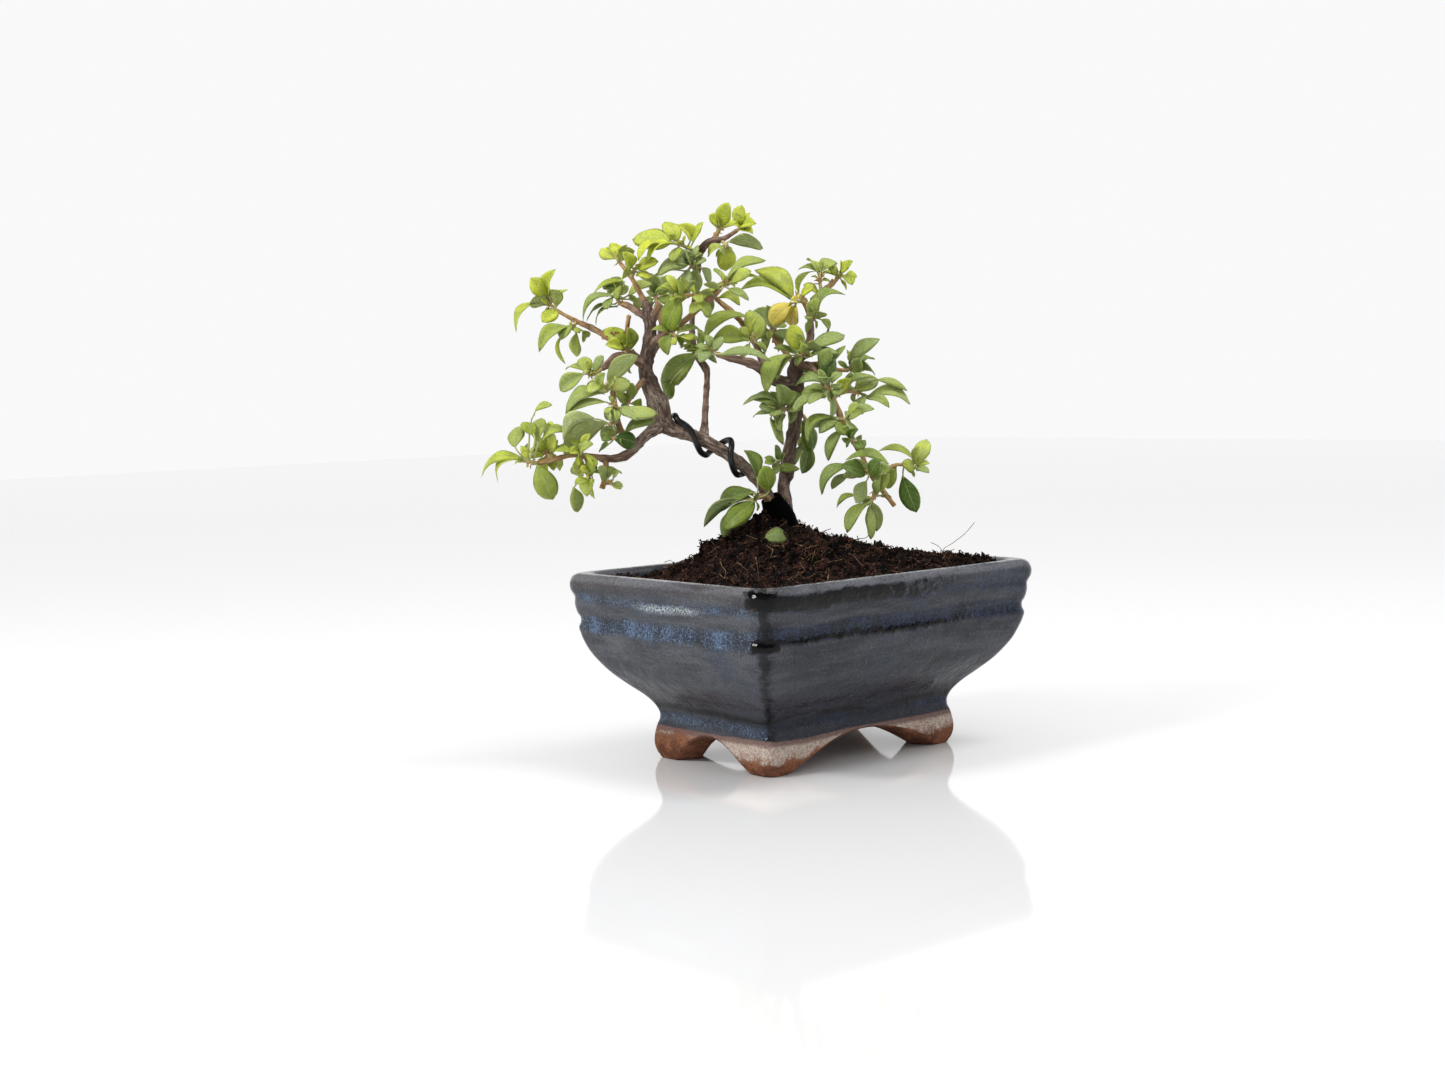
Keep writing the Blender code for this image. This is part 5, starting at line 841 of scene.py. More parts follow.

# Leaves that differ from their shoot: its name, the leaf's number, green (its own colour with
# painted shade and light), grey and brown spots
LEAF_EXCEPTIONS = {
    ("arm_tip", 4): (0.8, 0.1, 0.0), ("arm_tip", 2): (0.6, 0.6, 0.0),
    ("upright_leaves", 0): (0.42, 0.25, 0.0), ("upright_leaves", 1): (0.55, 0.1, 0.0),
    ("upright_leaves", 7): (0.3, 0.0, 0.0), ("fork_leaves", 0): (0.8, 0.05, 0.0),
    ("shade_leaves", 1): (0.0, 0.1, 0.0), ("far_right", 4): (0.12, 0.0, 0.0),
    ("far_right", 0): (0.85, 0.5, 0.0), ("basal", 1): (0.5, 0.0, 0.0),
    ("dark_leaf", 0): (0.05, 0.0, 0.0), ("arm_base", 0): (0.7, 0.0, 1.0),
    ("arm_base", 1): (0.55, 0.0, 0.5), ("crown_twig_leaves", 2): (0.3, 0.3, 0.0),
    ("stem_side", 0): (0.2, 0.1, 0.2), ("low_hanging", 0): (0.55, 0.3, 0.4),
    ("apex_low", 0): (0.5, 0.45, 0.3), ("right_shelf", 6): (0.7, 0.0, 0.3),
    ("low_right", 1): (0.15, 0.05, 0.0), ("low_right", 2): (0.15, 0.05, 0.0),
}

# Colours of the leaves: dark, middle and bright green, and the grey of their down; the dark green
# also stands for painted shade and the bright green for painted light
GREEN_TONES = ((0.04, 0.09, 0.009), (0.2, 0.265, 0.03), (0.53, 0.58, 0.05), (0.37, 0.44, 0.2))
YELLOW_TONES = ((0.4, 0.26, 0.03), (0.56, 0.42, 0.06), (0.66, 0.54, 0.1), (0.6, 0.52, 0.2))

# Young leaves at the end of a shoot, in millimetres, and the papery scales round its buds
YOUNG_LENGTH = (3.2, 7.5)
YOUNG_SHARE = 0.6
FILL_LENGTH = (5.5, 10.5)
FULL_SHARE = 1.75
FULL_SHOOTS = ("stem_leaves", "stem_side", "knot_leaves", "inner_right", "shade_leaves", "crown_front",
               "upright_leaves", "low_mid", "low_top", "crossing_leaves", "rising_low")
DENSE_SHOOTS = ("stem_leaves", "stem_side", "knot_leaves", "inner_right", "shade_leaves", "right_shelf",
                "arm_leaves", "arm_knot", "low_right", "low_right_under", "outer_right", "fork_leaves",
                "low_mid", "low_hanging", "low_top", "rising_low", "rising_under", "crossing_leaves",
                "upright_leaves", "crown_front", "back_crown", "back_right", "far_right")
SCALE_LENGTH = (1.6, 3.4)
FEW_SCALES = 3
SHAGGY_SCALES = 14
SHAGGY_SHOOTS = ("limb_tip", "spur_tip", "arm_tip", "apex", "stub_rosette", "ochre_top", "ochre_low",
                 "low_tip", "low_mid", "crown_twig_leaves", "rising_tip", "top_right", "outer_right")

# The glaze: sizes, heights and distances in metres, shares from 0 to 1, colours as linear red, green
# and blue. A pair of colours is for the pot's long sides and for its ends; the ends are lighter
# partly in the glaze itself and partly as painted light. A pair of heights or distances is where a
# change begins and ends. RIM_GLOSS also says how much glossier the rim gets.
GLAZE_SPECULAR = 0.19
CORNER_BLEND = 0.003
CLOUD_SIZE = 0.028
GRAIN_SIZE = 0.0008
LEVEL_WAVER = 0.005
EDGE_GRAIN = 0.0009
GLAZED_FROM = (0.0136, 0.0144)
LOW_GLAZE = (0.024, 0.045)
RIM_FROM = (0.0675, 0.07)
RIM_TOP = (0.0704, 0.0724)
RUST_REACH = (0.0004, 0.0009)
FRONT_REACH = (0.05, 0.075)
SIDE_RUN_FADE = 0.03
FOOT_REACH = (0.03, 0.055)
STAIN_FROM = (0.0112, 0.0128)
GLOSS_CLOUDS = 0.36
GLOSS_START = -0.02
RIM_GLOSS = (0.058, 0.068, 0.12)
RUN_GLOSS = 0.3
BEST_GLOSS = 0.045
CLAY_ROUGHNESS = 0.92
SLATE_DARK = ((0.024, 0.0255, 0.031), (0.04, 0.042, 0.049))
SLATE_GREY = ((0.063, 0.067, 0.078), (0.087, 0.092, 0.105))
BAND_UNDER = ((0.0015, 0.0025, 0.007), (0.009, 0.013, 0.022))
BAND_BLUE = ((0.032, 0.055, 0.115), (0.085, 0.13, 0.22))
BAND_PALE = ((0.1, 0.13, 0.2), (0.28, 0.35, 0.44))
MISTY_BLUE = (0.035, 0.044, 0.07)
LOW_NAVY = (0.018, 0.02, 0.031)
RIM_BROWN = (0.075, 0.06, 0.055)
# The grey along the rim's top is a painted reflection of the bright room
RIM_SHEEN_GREY = (0.17, 0.17, 0.185)
GRAIN_DARK = (0.018, 0.019, 0.025)
GRAIN_PALE = (0.19, 0.22, 0.27)
FROST_WHITE = (0.4, 0.45, 0.47)
POOL_BLACK = (0.004, 0.0035, 0.004)
RUN_BLACK = (0.0015, 0.0015, 0.002)
RUST_RED = (0.16, 0.05, 0.03)

# The bare clay: its body, its specks, the pale wash over it and the stain under the glaze's edge
CLAY_TONES = ((0.11, 0.042, 0.022), (0.28, 0.115, 0.06))
CLAY_SPECK = (0.085, 0.034, 0.02)
WASH_TONES = ((0.3, 0.215, 0.17), (0.56, 0.48, 0.42))
CLAY_STAIN = (0.13, 0.068, 0.062)

# The bark: a dark and a pale tone for each age of wood, then its streaks, the painted shade in its
# cracks and fissures, the painted shade of its parts under the leaves and its cut ends
OLD_BARK = ((0.13, 0.085, 0.062), (0.3, 0.225, 0.175))
MIDDLE_BARK = ((0.17, 0.1, 0.072), (0.29, 0.195, 0.145))
YOUNG_BARK = ((0.34, 0.19, 0.075), (0.45, 0.31, 0.15))
BARK_STREAK = (0.4, 0.32, 0.26)
BARK_CRACK_SHADE = ((0.03, 0.016, 0.012), (0.028, 0.016, 0.012))
SHADED_BARK = (0.055, 0.03, 0.022)
CUT_WOOD = (0.3, 0.17, 0.11)

# The leaves and what grows with them; roughness is for the upper face and the underside
LEAF_GLOW = (0.9, 1.0, 0.15)
LEAF_ROUGHNESS = (0.38, 0.6)
VEIN_SLANT = 0.24
VEIN_TURNS = 42.0
UNDERSIDE = (0.36, 0.41, 0.2)
VEIN_GREEN = (0.42, 0.48, 0.2)
RIB_GREEN = (0.48, 0.54, 0.25)
MARGIN_GREEN = (0.56, 0.6, 0.38)
HOAR = (0.66, 0.7, 0.52)
BROWN_SPOT = (0.16, 0.06, 0.02)
STEM_TAN = ((0.36, 0.19, 0.07), (0.46, 0.34, 0.14))
STEM_GREEN = ((0.3, 0.34, 0.09), (0.42, 0.44, 0.18))
SCALE_TONES = ((0.36, 0.2, 0.06), (0.55, 0.42, 0.18))
SCALE_GREEN = (0.4, 0.38, 0.12)
SLEEVE_TONES = ((0.0008, 0.0007, 0.0007), (0.04, 0.03, 0.025))
WIRE_TONES = ((0.006, 0.006, 0.007), (0.035, 0.035, 0.04))

# The soil, from its hollows to its lumps, and what lies on it
PEAT_TONES = ((0.002, 0.0012, 0.001), (0.008, 0.004, 0.003))
COVER_TONES = {
    "peat_crumb": ((0.0022, 0.0013, 0.001), (0.031, 0.013, 0.008)),
    "coir_fibre": ((0.005, 0.0026, 0.0018), (0.066, 0.029, 0.018)),
    "pale_root": ((0.13, 0.075, 0.04), (0.22, 0.14, 0.08)),
}
FLECK_LIGHT = 4.2

# The ground and the light: a light's place across the view, up and towards the eye in millimetres,
# its size in metres and its power in watts
FLOOR_SIZE = 6.0
FLOOR_COLOUR = (0.72, 0.72, 0.72)
FLOOR_ROUGHNESS = 0.07
ROOM_LIGHT = 0.95
MIRRORED_LIGHT = 0.15
MIRRORED_FROM = (0.3, 0.5)
LIGHT_TARGET = (-20, 100, 0)
LIGHTS = {"window": ((-900, 900, 500), 0.26, 9.0), "ceiling": ((500, 1300, 100), 0.5, 8.0)}


def eye_place(across, height, nearer):
    """A place given in millimetres across the view, up and towards the eye."""
    return MIDDLE + MM * (ACROSS * across + TOWARDS * nearer + UP * height)


def seen(u, v, w):
    """The place for a point of the drawing, carried along the line of sight to its depth w."""
    nearer = 1.0 - w / EYE_DISTANCE
    across = EYE_SIDE + (u - EYE_SIDE) * nearer
    height = EYE_HEIGHT + (v - EYE_HEIGHT) * nearer
    return eye_place(across, height, w)


def drawn_place(point):
    """The reverse of seen(): u, v and w of a place."""
    local = point - MIDDLE
    w = local.dot(TOWARDS) / MM
    nearer = 1.0 - w / EYE_DISTANCE
    u = EYE_SIDE + (local.dot(ACROSS) / MM - EYE_SIDE) / nearer
    v = EYE_HEIGHT + (local.z / MM - EYE_HEIGHT) / nearer
    return Vector((u, v, w))


def smooth_path(knots, step):
    """A smooth curve through the knots, each a place and a radius, with a row every step or so."""
    ends = [knots[0] * 2 - knots[1]] + list(knots) + [knots[-1] * 2 - knots[-2]]
    rows = []
    for before, start, end, after in zip(ends, ends[1:], ends[2:], ends[3:]):
        pieces = max(1, round((end - start).length / step))
        for i in range(pieces):
            t = i / pieces
            rows.append(
                0.5
                * (
                    2 * start
                    + (end - before) * t
                    + (2 * before - 5 * start + 4 * end - after) * t**2
                    + (3 * start - before - 3 * end + after) * t**3
                )
            )
    rows.append(knots[-1])
    return rows


def drawn_path(points, step):
    """The smooth path through points of the drawing, each u, v, w and radius in millimetres."""
    knots = [Vector((*seen(u, v, w), radius * MM)) for u, v, w, radius in points]
    return smooth_path(knots, step * MM)


def thinned(path, step):
    """The rows of a path that lie at least a step apart, with its last one."""
    kept = [path[0]]
    for row in path[1:-1]:
        if (row - kept[-1]).length > step and (row - path[-1]).length > step * 0.6:
            kept.append(row)
    return kept + [path[-1]]


def mesh_object(name, points, faces):
    mesh = bpy.data.meshes.new(name)
    mesh.from_pydata(points, [], faces)
    mesh.update()
    made = bpy.data.objects.new(name, mesh)
    bpy.context.scene.collection.objects.link(made)
    return made


def evaluated_mesh(obj):
    graph = bpy.context.evaluated_depsgraph_get()
    return bpy.data.meshes.new_from_object(obj.evaluated_get(graph))


def apply_modifiers(obj):
    mesh = evaluated_mesh(obj)
    obj.modifiers.clear()
    old = obj.data
    obj.data = mesh
    bpy.data.meshes.remove(old)


def finish_piece(obj, node, slot, *finishes):
    """Gives a piece its finishes, lets it stand for a node of the frame, and ride; its slot is not used.
    """
    if finishes:
        obj.data.materials.clear()
        for finish in finishes:
            obj.data.materials.append(finish)
    obj.data.shade_smooth()
    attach(obj, BODY)
    if node:
        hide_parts(node)


def add_tube(points, faces, path, sides):
    """Adds a closed round tube along the path to lists of points and faces."""
    first = len(points)
    side = None
    for i, row in enumerate(path):
        ahead = path[min(i + 1, len(path) - 1)]
        behind = path[max(i - 1, 0)]
        along = (Vector(ahead[:3]) - Vector(behind[:3])).normalized()
        if side is None:
            side = along.orthogonal().normalized()
        side = (side - along * side.dot(along)).normalized()
        other = along.cross(side)
        for k in range(sides):
            angle = 2 * math.pi * k / sides
            spoke = side * math.cos(angle) + other * math.sin(angle)
            points.append(Vector(row[:3]) + spoke * row[3])
    rows = len(path)
    for i in range(rows - 1):
        for k in range(sides):
            a = first + i * sides + k
            b = first + i * sides + (k + 1) % sides
            faces.append((a, b, b + sides, a + sides))
    faces.append(tuple(first + k for k in reversed(range(sides))))
    last = first + (rows - 1) * sides
    faces.append(tuple(last + k for k in range(sides)))


def add_node(tree, kind, inputs, settings):
    """A new node of a tree, with its settings made and its inputs linked or given values."""
    made = tree.nodes.new(kind)
    for key, value in settings.items():
        setattr(made, key, value)
    for key, value in (inputs or {}).items():
        if isinstance(value, bpy.types.NodeSocket):
            tree.links.new(value, made.inputs[key])
        else:
            made.inputs[key].default_value = value
    return made


def shown(sockets):
    """The first socket that is in use for a node's present settings."""
    return [socket for socket in sockets if socket.enabled][0]


class Finish:
    """A material and the short calls that build its nodes."""

    def __init__(self, name, **constants):
        self.material = bpy.data.materials.new(name)
        self.material.use_nodes = True
        self.tree = self.material.node_tree
        self.shader = self.tree.nodes["Principled BSDF"]
        for socket, value in constants.items():
            self.shader.inputs[socket.replace("_", " ")].default_value = value
        self.place = self.tree.nodes.new("ShaderNodeTexCoord").outputs["Object"]

    def node(self, kind, inputs=None, **settings):
        return add_node(self.tree, kind, inputs, settings)

    def noise(self, size, detail=3.0, place=None, roughness=0.55, stretch=None):
        """Noise whose patches are about a size in metres, from 0 to 1."""
        where = place or self.place
        if stretch:
            stretched = self.node("ShaderNodeVectorMath", {0: where, 1: stretch}, operation="MULTIPLY")
            where = stretched.outputs[0]
        inputs = {"Vector": where, "Scale": 1 / size, "Detail": detail, "Roughness": roughness}
        return self.node("ShaderNodeTexNoise", inputs).outputs["Fac"]

    def ramp(self, value, low, high):
        """How far a value has come from low to high, smoothly, from 0 to 1."""
        inputs = {"Value": value, "From Min": low, "From Max": high}
        made = self.node("ShaderNodeMapRange", inputs, interpolation_type="SMOOTHSTEP")
        return made.outputs["Result"]

    def mix(self, share, first, second):
        """A colour that goes from the first to the second with the share."""
        made = self.node("ShaderNodeMix", data_type="RGBA")
        for key, value in (("Factor", share), ("A", first), ("B", second)):
            socket = shown([s for s in made.inputs if s.name == key])
            if isinstance(value, bpy.types.NodeSocket):
                self.tree.links.new(value, socket)
            else:
                socket.default_value = value if key == "Factor" else (*value, 1.0)
        return shown(made.outputs)

    def tones(self, share, pair):
        return self.mix(share, pair[0], pair[1])

    def maths(self, operation, first, second=0.0):
        return self.node("ShaderNodeMath", {0: first, 1: second}, operation=operation).outputs[0]

    def times(self, first, second):
        return self.maths("MULTIPLY", first, second)

    def plus(self, first, second):
        return self.maths("ADD", first, second)

    def less(self, first, second):
        return self.maths("SUBTRACT", first, second)

    def attribute(self, name):
        return self.node("ShaderNodeAttribute", attribute_name=name).outputs["Fac"]

    def axes(self, vector=None):
        return self.node("ShaderNodeSeparateXYZ", {0: vector or self.place}).outputs

    def distance(self, value, other):
        return self.maths("ABSOLUTE", self.less(value, other))

    def near(self, spot):
        """How far the surface is from a spot, given in millimetres from the pot's middle."""
        centre = MIDDLE + Vector(spot) * MM
        apart = self.node("ShaderNodeVectorMath", {0: self.place, 1: centre}, operation="DISTANCE")
        return apart.outputs[1]

    def band(self, value, low, high, soft):
        """1 between low and high, fading out over a soft edge on both sides."""
        half = (high - low) / 2
        return self.ramp(self.distance(value, (low + high) / 2), half + soft, half - soft)

    def link(self, value, socket):
        self.tree.links.new(value, self.shader.inputs[socket])

    def bump(self, value, depth):
        """Raises the surface where the value is high, by up to a depth in metres."""
        made = self.node("ShaderNodeBump", {"Height": value, "Distance": depth, "Strength": 1.0})
        if self.shader.inputs["Normal"].links:
            before = self.shader.inputs["Normal"].links[0].from_socket
            self.tree.links.new(before, made.inputs["Normal"])
        self.link(made.outputs["Normal"], "Normal")


def glaze_finish():
    """Dark slate glaze, blue in its grooves and black where it runs, over reddish clay feet."""
    finish = Finish("stoneware_glaze", IOR=1.5, Specular_IOR_Level=GLAZE_SPECULAR)
    x, y, height = finish.axes()
    end_inset = finish.less(POT_LENGTH / 2 * MM, finish.distance(x, MIDDLE.x))
    side_inset = finish.less(POT_WIDTH / 2 * MM, finish.distance(y, MIDDLE.y))
    past_corner = finish.less(side_inset, end_inset)
    on_end = finish.ramp(past_corner, -CORNER_BLEND, CORNER_BLEND)
    clouds = finish.noise(CLOUD_SIZE)
    grains = finish.noise(GRAIN_SIZE, 4.0, roughness=0.9)
    waver = finish.times(finish.less(clouds, 0.5), LEVEL_WAVER)
    level = finish.plus(height, waver)
    body = slate_colour(finish, clouds, grains, height, on_end)
    for low, high, strength in GLAZE_BANDS:
        body = blue_band(finish, body, level, (low, high), strength, grains, on_end)
    body = finish.mix(frost_patch(finish, x, y, level, grains), body, FROST_WHITE)
    body = finish.mix(waist_pool(finish, level), body, POOL_BLACK)
    away = finish.distance(past_corner, 0.0)
    runs = glaze_runs(finish, finish.plus(away, waver), level, on_end)
    body = finish.mix(runs, body, RUN_BLACK)
    rust = finish.ramp(finish.near(RUST_SPOT), RUST_REACH[1], RUST_REACH[0])
    body = finish.mix(rust, body, RUST_RED)
    edge = finish.plus(height, finish.times(waver, -0.5))
    edge = finish.plus(edge, finish.times(grains, EDGE_GRAIN))
    glazed = finish.ramp(edge, GLAZED_FROM[0], GLAZED_FROM[1])
    finish.link(finish.mix(glazed, clay_colour(finish, y, height, edge, grains), body), "Base Color")
    glaze_surface(finish, clouds, height, runs, glazed)
    return finish.material


def glaze_surface(finish, clouds, height, runs, glazed):
    """How glossy and how uneven the pot is: glassy in the runs and at the rim, dull on bare clay."""
    gloss = finish.plus(finish.times(clouds, GLOSS_CLOUDS), GLOSS_START)
    gloss = finish.less(gloss, finish.times(finish.ramp(height, RIM_GLOSS[0], RIM_GLOSS[1]), RIM_GLOSS[2]))
    gloss = finish.less(gloss, finish.times(runs, RUN_GLOSS))
    gloss = finish.maths("MAXIMUM", gloss, BEST_GLOSS)
    dull = finish.node("ShaderNodeMix", {0: glazed, 2: CLAY_ROUGHNESS, 3: gloss}, data_type="FLOAT")
    finish.link(dull.outputs[0], "Roughness")
    finish.bump(finish.noise(0.007), 0.0006)
    finish.bump(finish.noise(0.0022, 2.0), 0.00012)
    finish.bump(finish.times(finish.noise(0.0035, stretch=(0.6, 0.6, 1.2)), runs), 0.0006)
    finish.bump(finish.times(finish.noise(0.001), finish.less(1.0, glazed)), 0.0005)


def slate_colour(finish, clouds, grains, height, on_end):
    """The glaze's body: slate grey in level streaks, darker below, with fine pale grains, and a painted
    reflection of the bright room along the rim's top.
    """
    streaks = finish.noise(0.009, 5.0, stretch=(0.3, 0.3, 1.8), roughness=0.6)
    # The ends' tones are lighter, partly the glaze's own colour and partly painted light on the lit end
    dark, grey = finish.tones(on_end, SLATE_DARK), finish.tones(on_end, SLATE_GREY)
    body = finish.mix(finish.ramp(streaks, 0.33, 0.67), dark, grey)
    body = finish.mix(finish.times(finish.ramp(clouds, 0.48, 0.68), 0.55), body, MISTY_BLUE)
    low = finish.less(0.8, finish.times(on_end, 0.3))
    low = finish.times(finish.ramp(height, LOW_GLAZE[1], LOW_GLAZE[0]), low)
    body = finish.mix(low, body, LOW_NAVY)
    brown = finish.times(finish.times(finish.ramp(height, RIM_FROM[0], RIM_FROM[1]), 0.5), on_end)
    body = finish.mix(brown, body, RIM_BROWN)
    # Painted reflection: light grey along the rim's top, broken by the streaks
    thin = finish.times(finish.ramp(height, RIM_TOP[0], RIM_TOP[1]), finish.ramp(streaks, 0.25, 0.6))
    body = finish.mix(finish.times(thin, 0.7), body, RIM_SHEEN_GREY)
    body = finish.mix(finish.times(finish.ramp(grains, 0.5, 0.38), 0.7), body, GRAIN_DARK)
    return finish.mix(finish.times(finish.ramp(grains, 0.57, 0.66), 0.42), body, GRAIN_PALE)


def blue_band(finish, body, level, heights, strength, grains, on_end):
    """A granular blue band between two heights: light on the pot's ends, navy on its sides, partly the
    glaze's own colour and partly painted light.
    """
    low, high = heights
    level = finish.less(level, finish.times(finish.less(1.0, on_end), SIDE_RISE))
    patches = finish.noise(0.011, 4.0, stretch=(1.0, 1.0, 0.5), roughness=0.65)
    band = finish.times(finish.band(level, low, high, 0.0013), strength)
    under = finish.times(band, finish.less(0.95, finish.times(on_end, 0.25)))
    body = finish.mix(under, body, finish.tones(on_end, BAND_UNDER))
    dots = finish.plus(grains, finish.times(patches, 0.5))
    dots = finish.times(band, finish.ramp(dots, 0.7, 0.84))
    dots = finish.times(dots, finish.plus(0.6, finish.times(on_end, 0.4)))
    body = finish.mix(dots, body, finish.tones(on_end, BAND_BLUE))
    pale = finish.times(finish.times(dots, finish.ramp(grains, 0.56, 0.66)), 0.6)
    return finish.mix(pale, body, finish.tones(on_end, BAND_PALE))


def frost_patch(finish, x, y, level, grains):
    """Where a pale granular patch lies on the upper blue band of one end of the pot."""
    patch = finish.band(level, FROST_HEIGHTS[0], FROST_HEIGHTS[1], 0.0012)
    across = finish.less(y, MIDDLE.y)
    patch = finish.times(patch, finish.band(across, FROST_SPAN[0], FROST_SPAN[1], 0.008))
    patch = finish.times(patch, finish.ramp(x, MIDDLE.x, MIDDLE.x - 0.01))
    return finish.times(patch, finish.ramp(grains, 0.44, 0.56))


def waist_pool(finish, level):
    """Where the glaze has gathered in a dark broken line over the waist."""
    pool = finish.band(level, POOL_HEIGHTS[0], POOL_HEIGHTS[1], 0.0012)
    streaks = finish.noise(0.012, 4.0, stretch=(0.4, 0.4, 2.0))
    return finish.times(finish.times(pool, finish.ramp(streaks, 0.36, 0.46)), 0.9)


def glaze_runs(finish, corner, level, on_end):
    """Where the glaze runs black: thick at the front corner, petering out along the long side."""
    ragged = finish.less(finish.noise(0.005, 4.0, roughness=0.65), 0.5)
    front = finish.ramp(finish.near(FRONT_CORNER), FRONT_REACH[1], FRONT_REACH[0])
    corner = finish.plus(corner, finish.times(ragged, 0.012))
    level = finish.plus(level, finish.times(ragged, 0.004))
    near_corner = finish.ramp(corner, 0.0095, 0.0065)
    runs = finish.times(finish.ramp(corner, 0.0042, 0.0008), 0.75)
    for low, high in GLAZE_RUNS:
        run = finish.times(finish.band(level, low, high, 0.0006), near_corner)
        runs = finish.maths("MAXIMUM", runs, run)
    runs = finish.times(runs, front)
    reach = finish.plus(finish.near(FRONT_CORNER), finish.times(ragged, 0.13))
    for low, high, end in SIDE_RUNS:
        side = finish.times(finish.band(level, low, high, 0.0008), finish.ramp(on_end, 0.9, 0.1))
        side = finish.times(side, finish.ramp(reach, end, end - SIDE_RUN_FADE))
        runs = finish.maths("MAXIMUM", runs, side)
    return runs


def clay_colour(finish, y, height, edge, grains):
    """Bare clay: reddish brown, under a sprayed pale wash that is thickest on the front foot."""
    blots = finish.noise(0.006, 5.0, roughness=0.7)
    down = finish.axes(finish.node("ShaderNodeNewGeometry").outputs["Normal"])["Z"]
    clay = finish.tones(finish.ramp(blots, 0.35, 0.65), CLAY_TONES)
    clay = finish.mix(finish.ramp(grains, 0.55, 0.35), clay, CLAY_SPECK)
    front = finish.ramp(finish.near(FRONT_FOOT), FOOT_REACH[1], FOOT_REACH[0])
    side = finish.ramp(y, MIDDLE.y + 0.02, MIDDLE.y - 0.02)
    start = finish.times(finish.plus(front, side), -0.002)
    start = finish.plus(start, finish.times(blots, 0.018))
    cover = finish.ramp(finish.less(height, start), -0.006, 0.0045)
    cover = finish.times(cover, finish.ramp(down, -0.5, -0.12))
    cover = finish.times(cover, finish.plus(0.62, finish.times(side, 0.34)))
    wash = finish.ramp(finish.less(cover, grains), -0.08, 0.44)
    clay = finish.mix(wash, clay, finish.tones(finish.ramp(grains, 0.6, 0.4), WASH_TONES))
    stain = finish.times(finish.ramp(edge, STAIN_FROM[0], STAIN_FROM[1]), 0.8)
    return finish.mix(stain, clay, CLAY_STAIN)


def soil_finish(name, tones):
    """Peat and coir: nearly black in its hollows, with reddish and tan flecks."""
    finish = Finish(name, Roughness=0.95, Specular_IOR_Level=0.2)
    colour = finish.tones(finish.ramp(finish.noise(0.0042, 4.0), 0.42, 0.62), tones)
    tan = tuple(channel * FLECK_LIGHT for channel in tones[1])
    colour = finish.mix(finish.ramp(finish.noise(0.0012), 0.6, 0.7), colour, tan)
    finish.link(colour, "Base Color")
    finish.bump(finish.noise(0.0006), 0.0004)
    return finish.material


def bark_finish():
    """Bark: grey-brown and fissured on stout wood, smooth and tan on young twigs, pale where cut."""
    finish = Finish("bark", Roughness=0.85, Specular_IOR_Level=0.25)
    girth = finish.attribute("girth")
    along = finish.node("ShaderNodeAttribute", attribute_name="grain").outputs["Vector"]
    streaks = finish.noise(0.0011, place=along)
    cracks = finish.distance(finish.noise(0.0016, place=along, roughness=0.6), 0.5)
    old = old_bark_colour(finish, streaks, cracks)
    middle = finish.tones(finish.ramp(streaks, 0.4, 0.65), MIDDLE_BARK)
    young = finish.tones(finish.ramp(streaks, 0.4, 0.65), YOUNG_BARK)
    colour = finish.mix(finish.ramp(girth, 1.1, 1.45), young, middle)
    colour = finish.mix(finish.ramp(girth, 1.7, 2.2), colour, old)
    colour = finish.mix(finish.times(finish.attribute("cut"), 0.8), colour, CUT_WOOD)
    finish.link(colour, "Base Color")
    finish.bump(finish.ramp(cracks, 0.0, 0.05), 0.0003)
    finish.bump(streaks, 0.00015)
    return finish.material


def old_bark_colour(finish, streaks, cracks):
    """The bark of stout wood: patchy grey-brown, with painted shade in its cracks and sunk fissures and
    where leaves shade it.
    """
    old = finish.tones(finish.ramp(finish.noise(0.006), 0.35, 0.68), OLD_BARK)
    old = finish.mix(finish.ramp(streaks, 0.45, 0.7), old, BARK_STREAK)
    # Painted shade in the bark's cracks and in the fissures that the mesh sinks
    old = finish.mix(finish.times(finish.ramp(cracks, 0.03, 0.0), 0.55), old, BARK_CRACK_SHADE[0])
    fissure_shade = finish.times(finish.ramp(finish.attribute("fissure"), 0.4, 0.08), 0.65)
    old = finish.mix(fissure_shade, old, BARK_CRACK_SHADE[1])
    # Painted shade: the wood high among the leaves is darkened by its shade attribute
    return finish.mix(finish.times(finish.attribute("shade"), 0.62), old, SHADED_BARK)


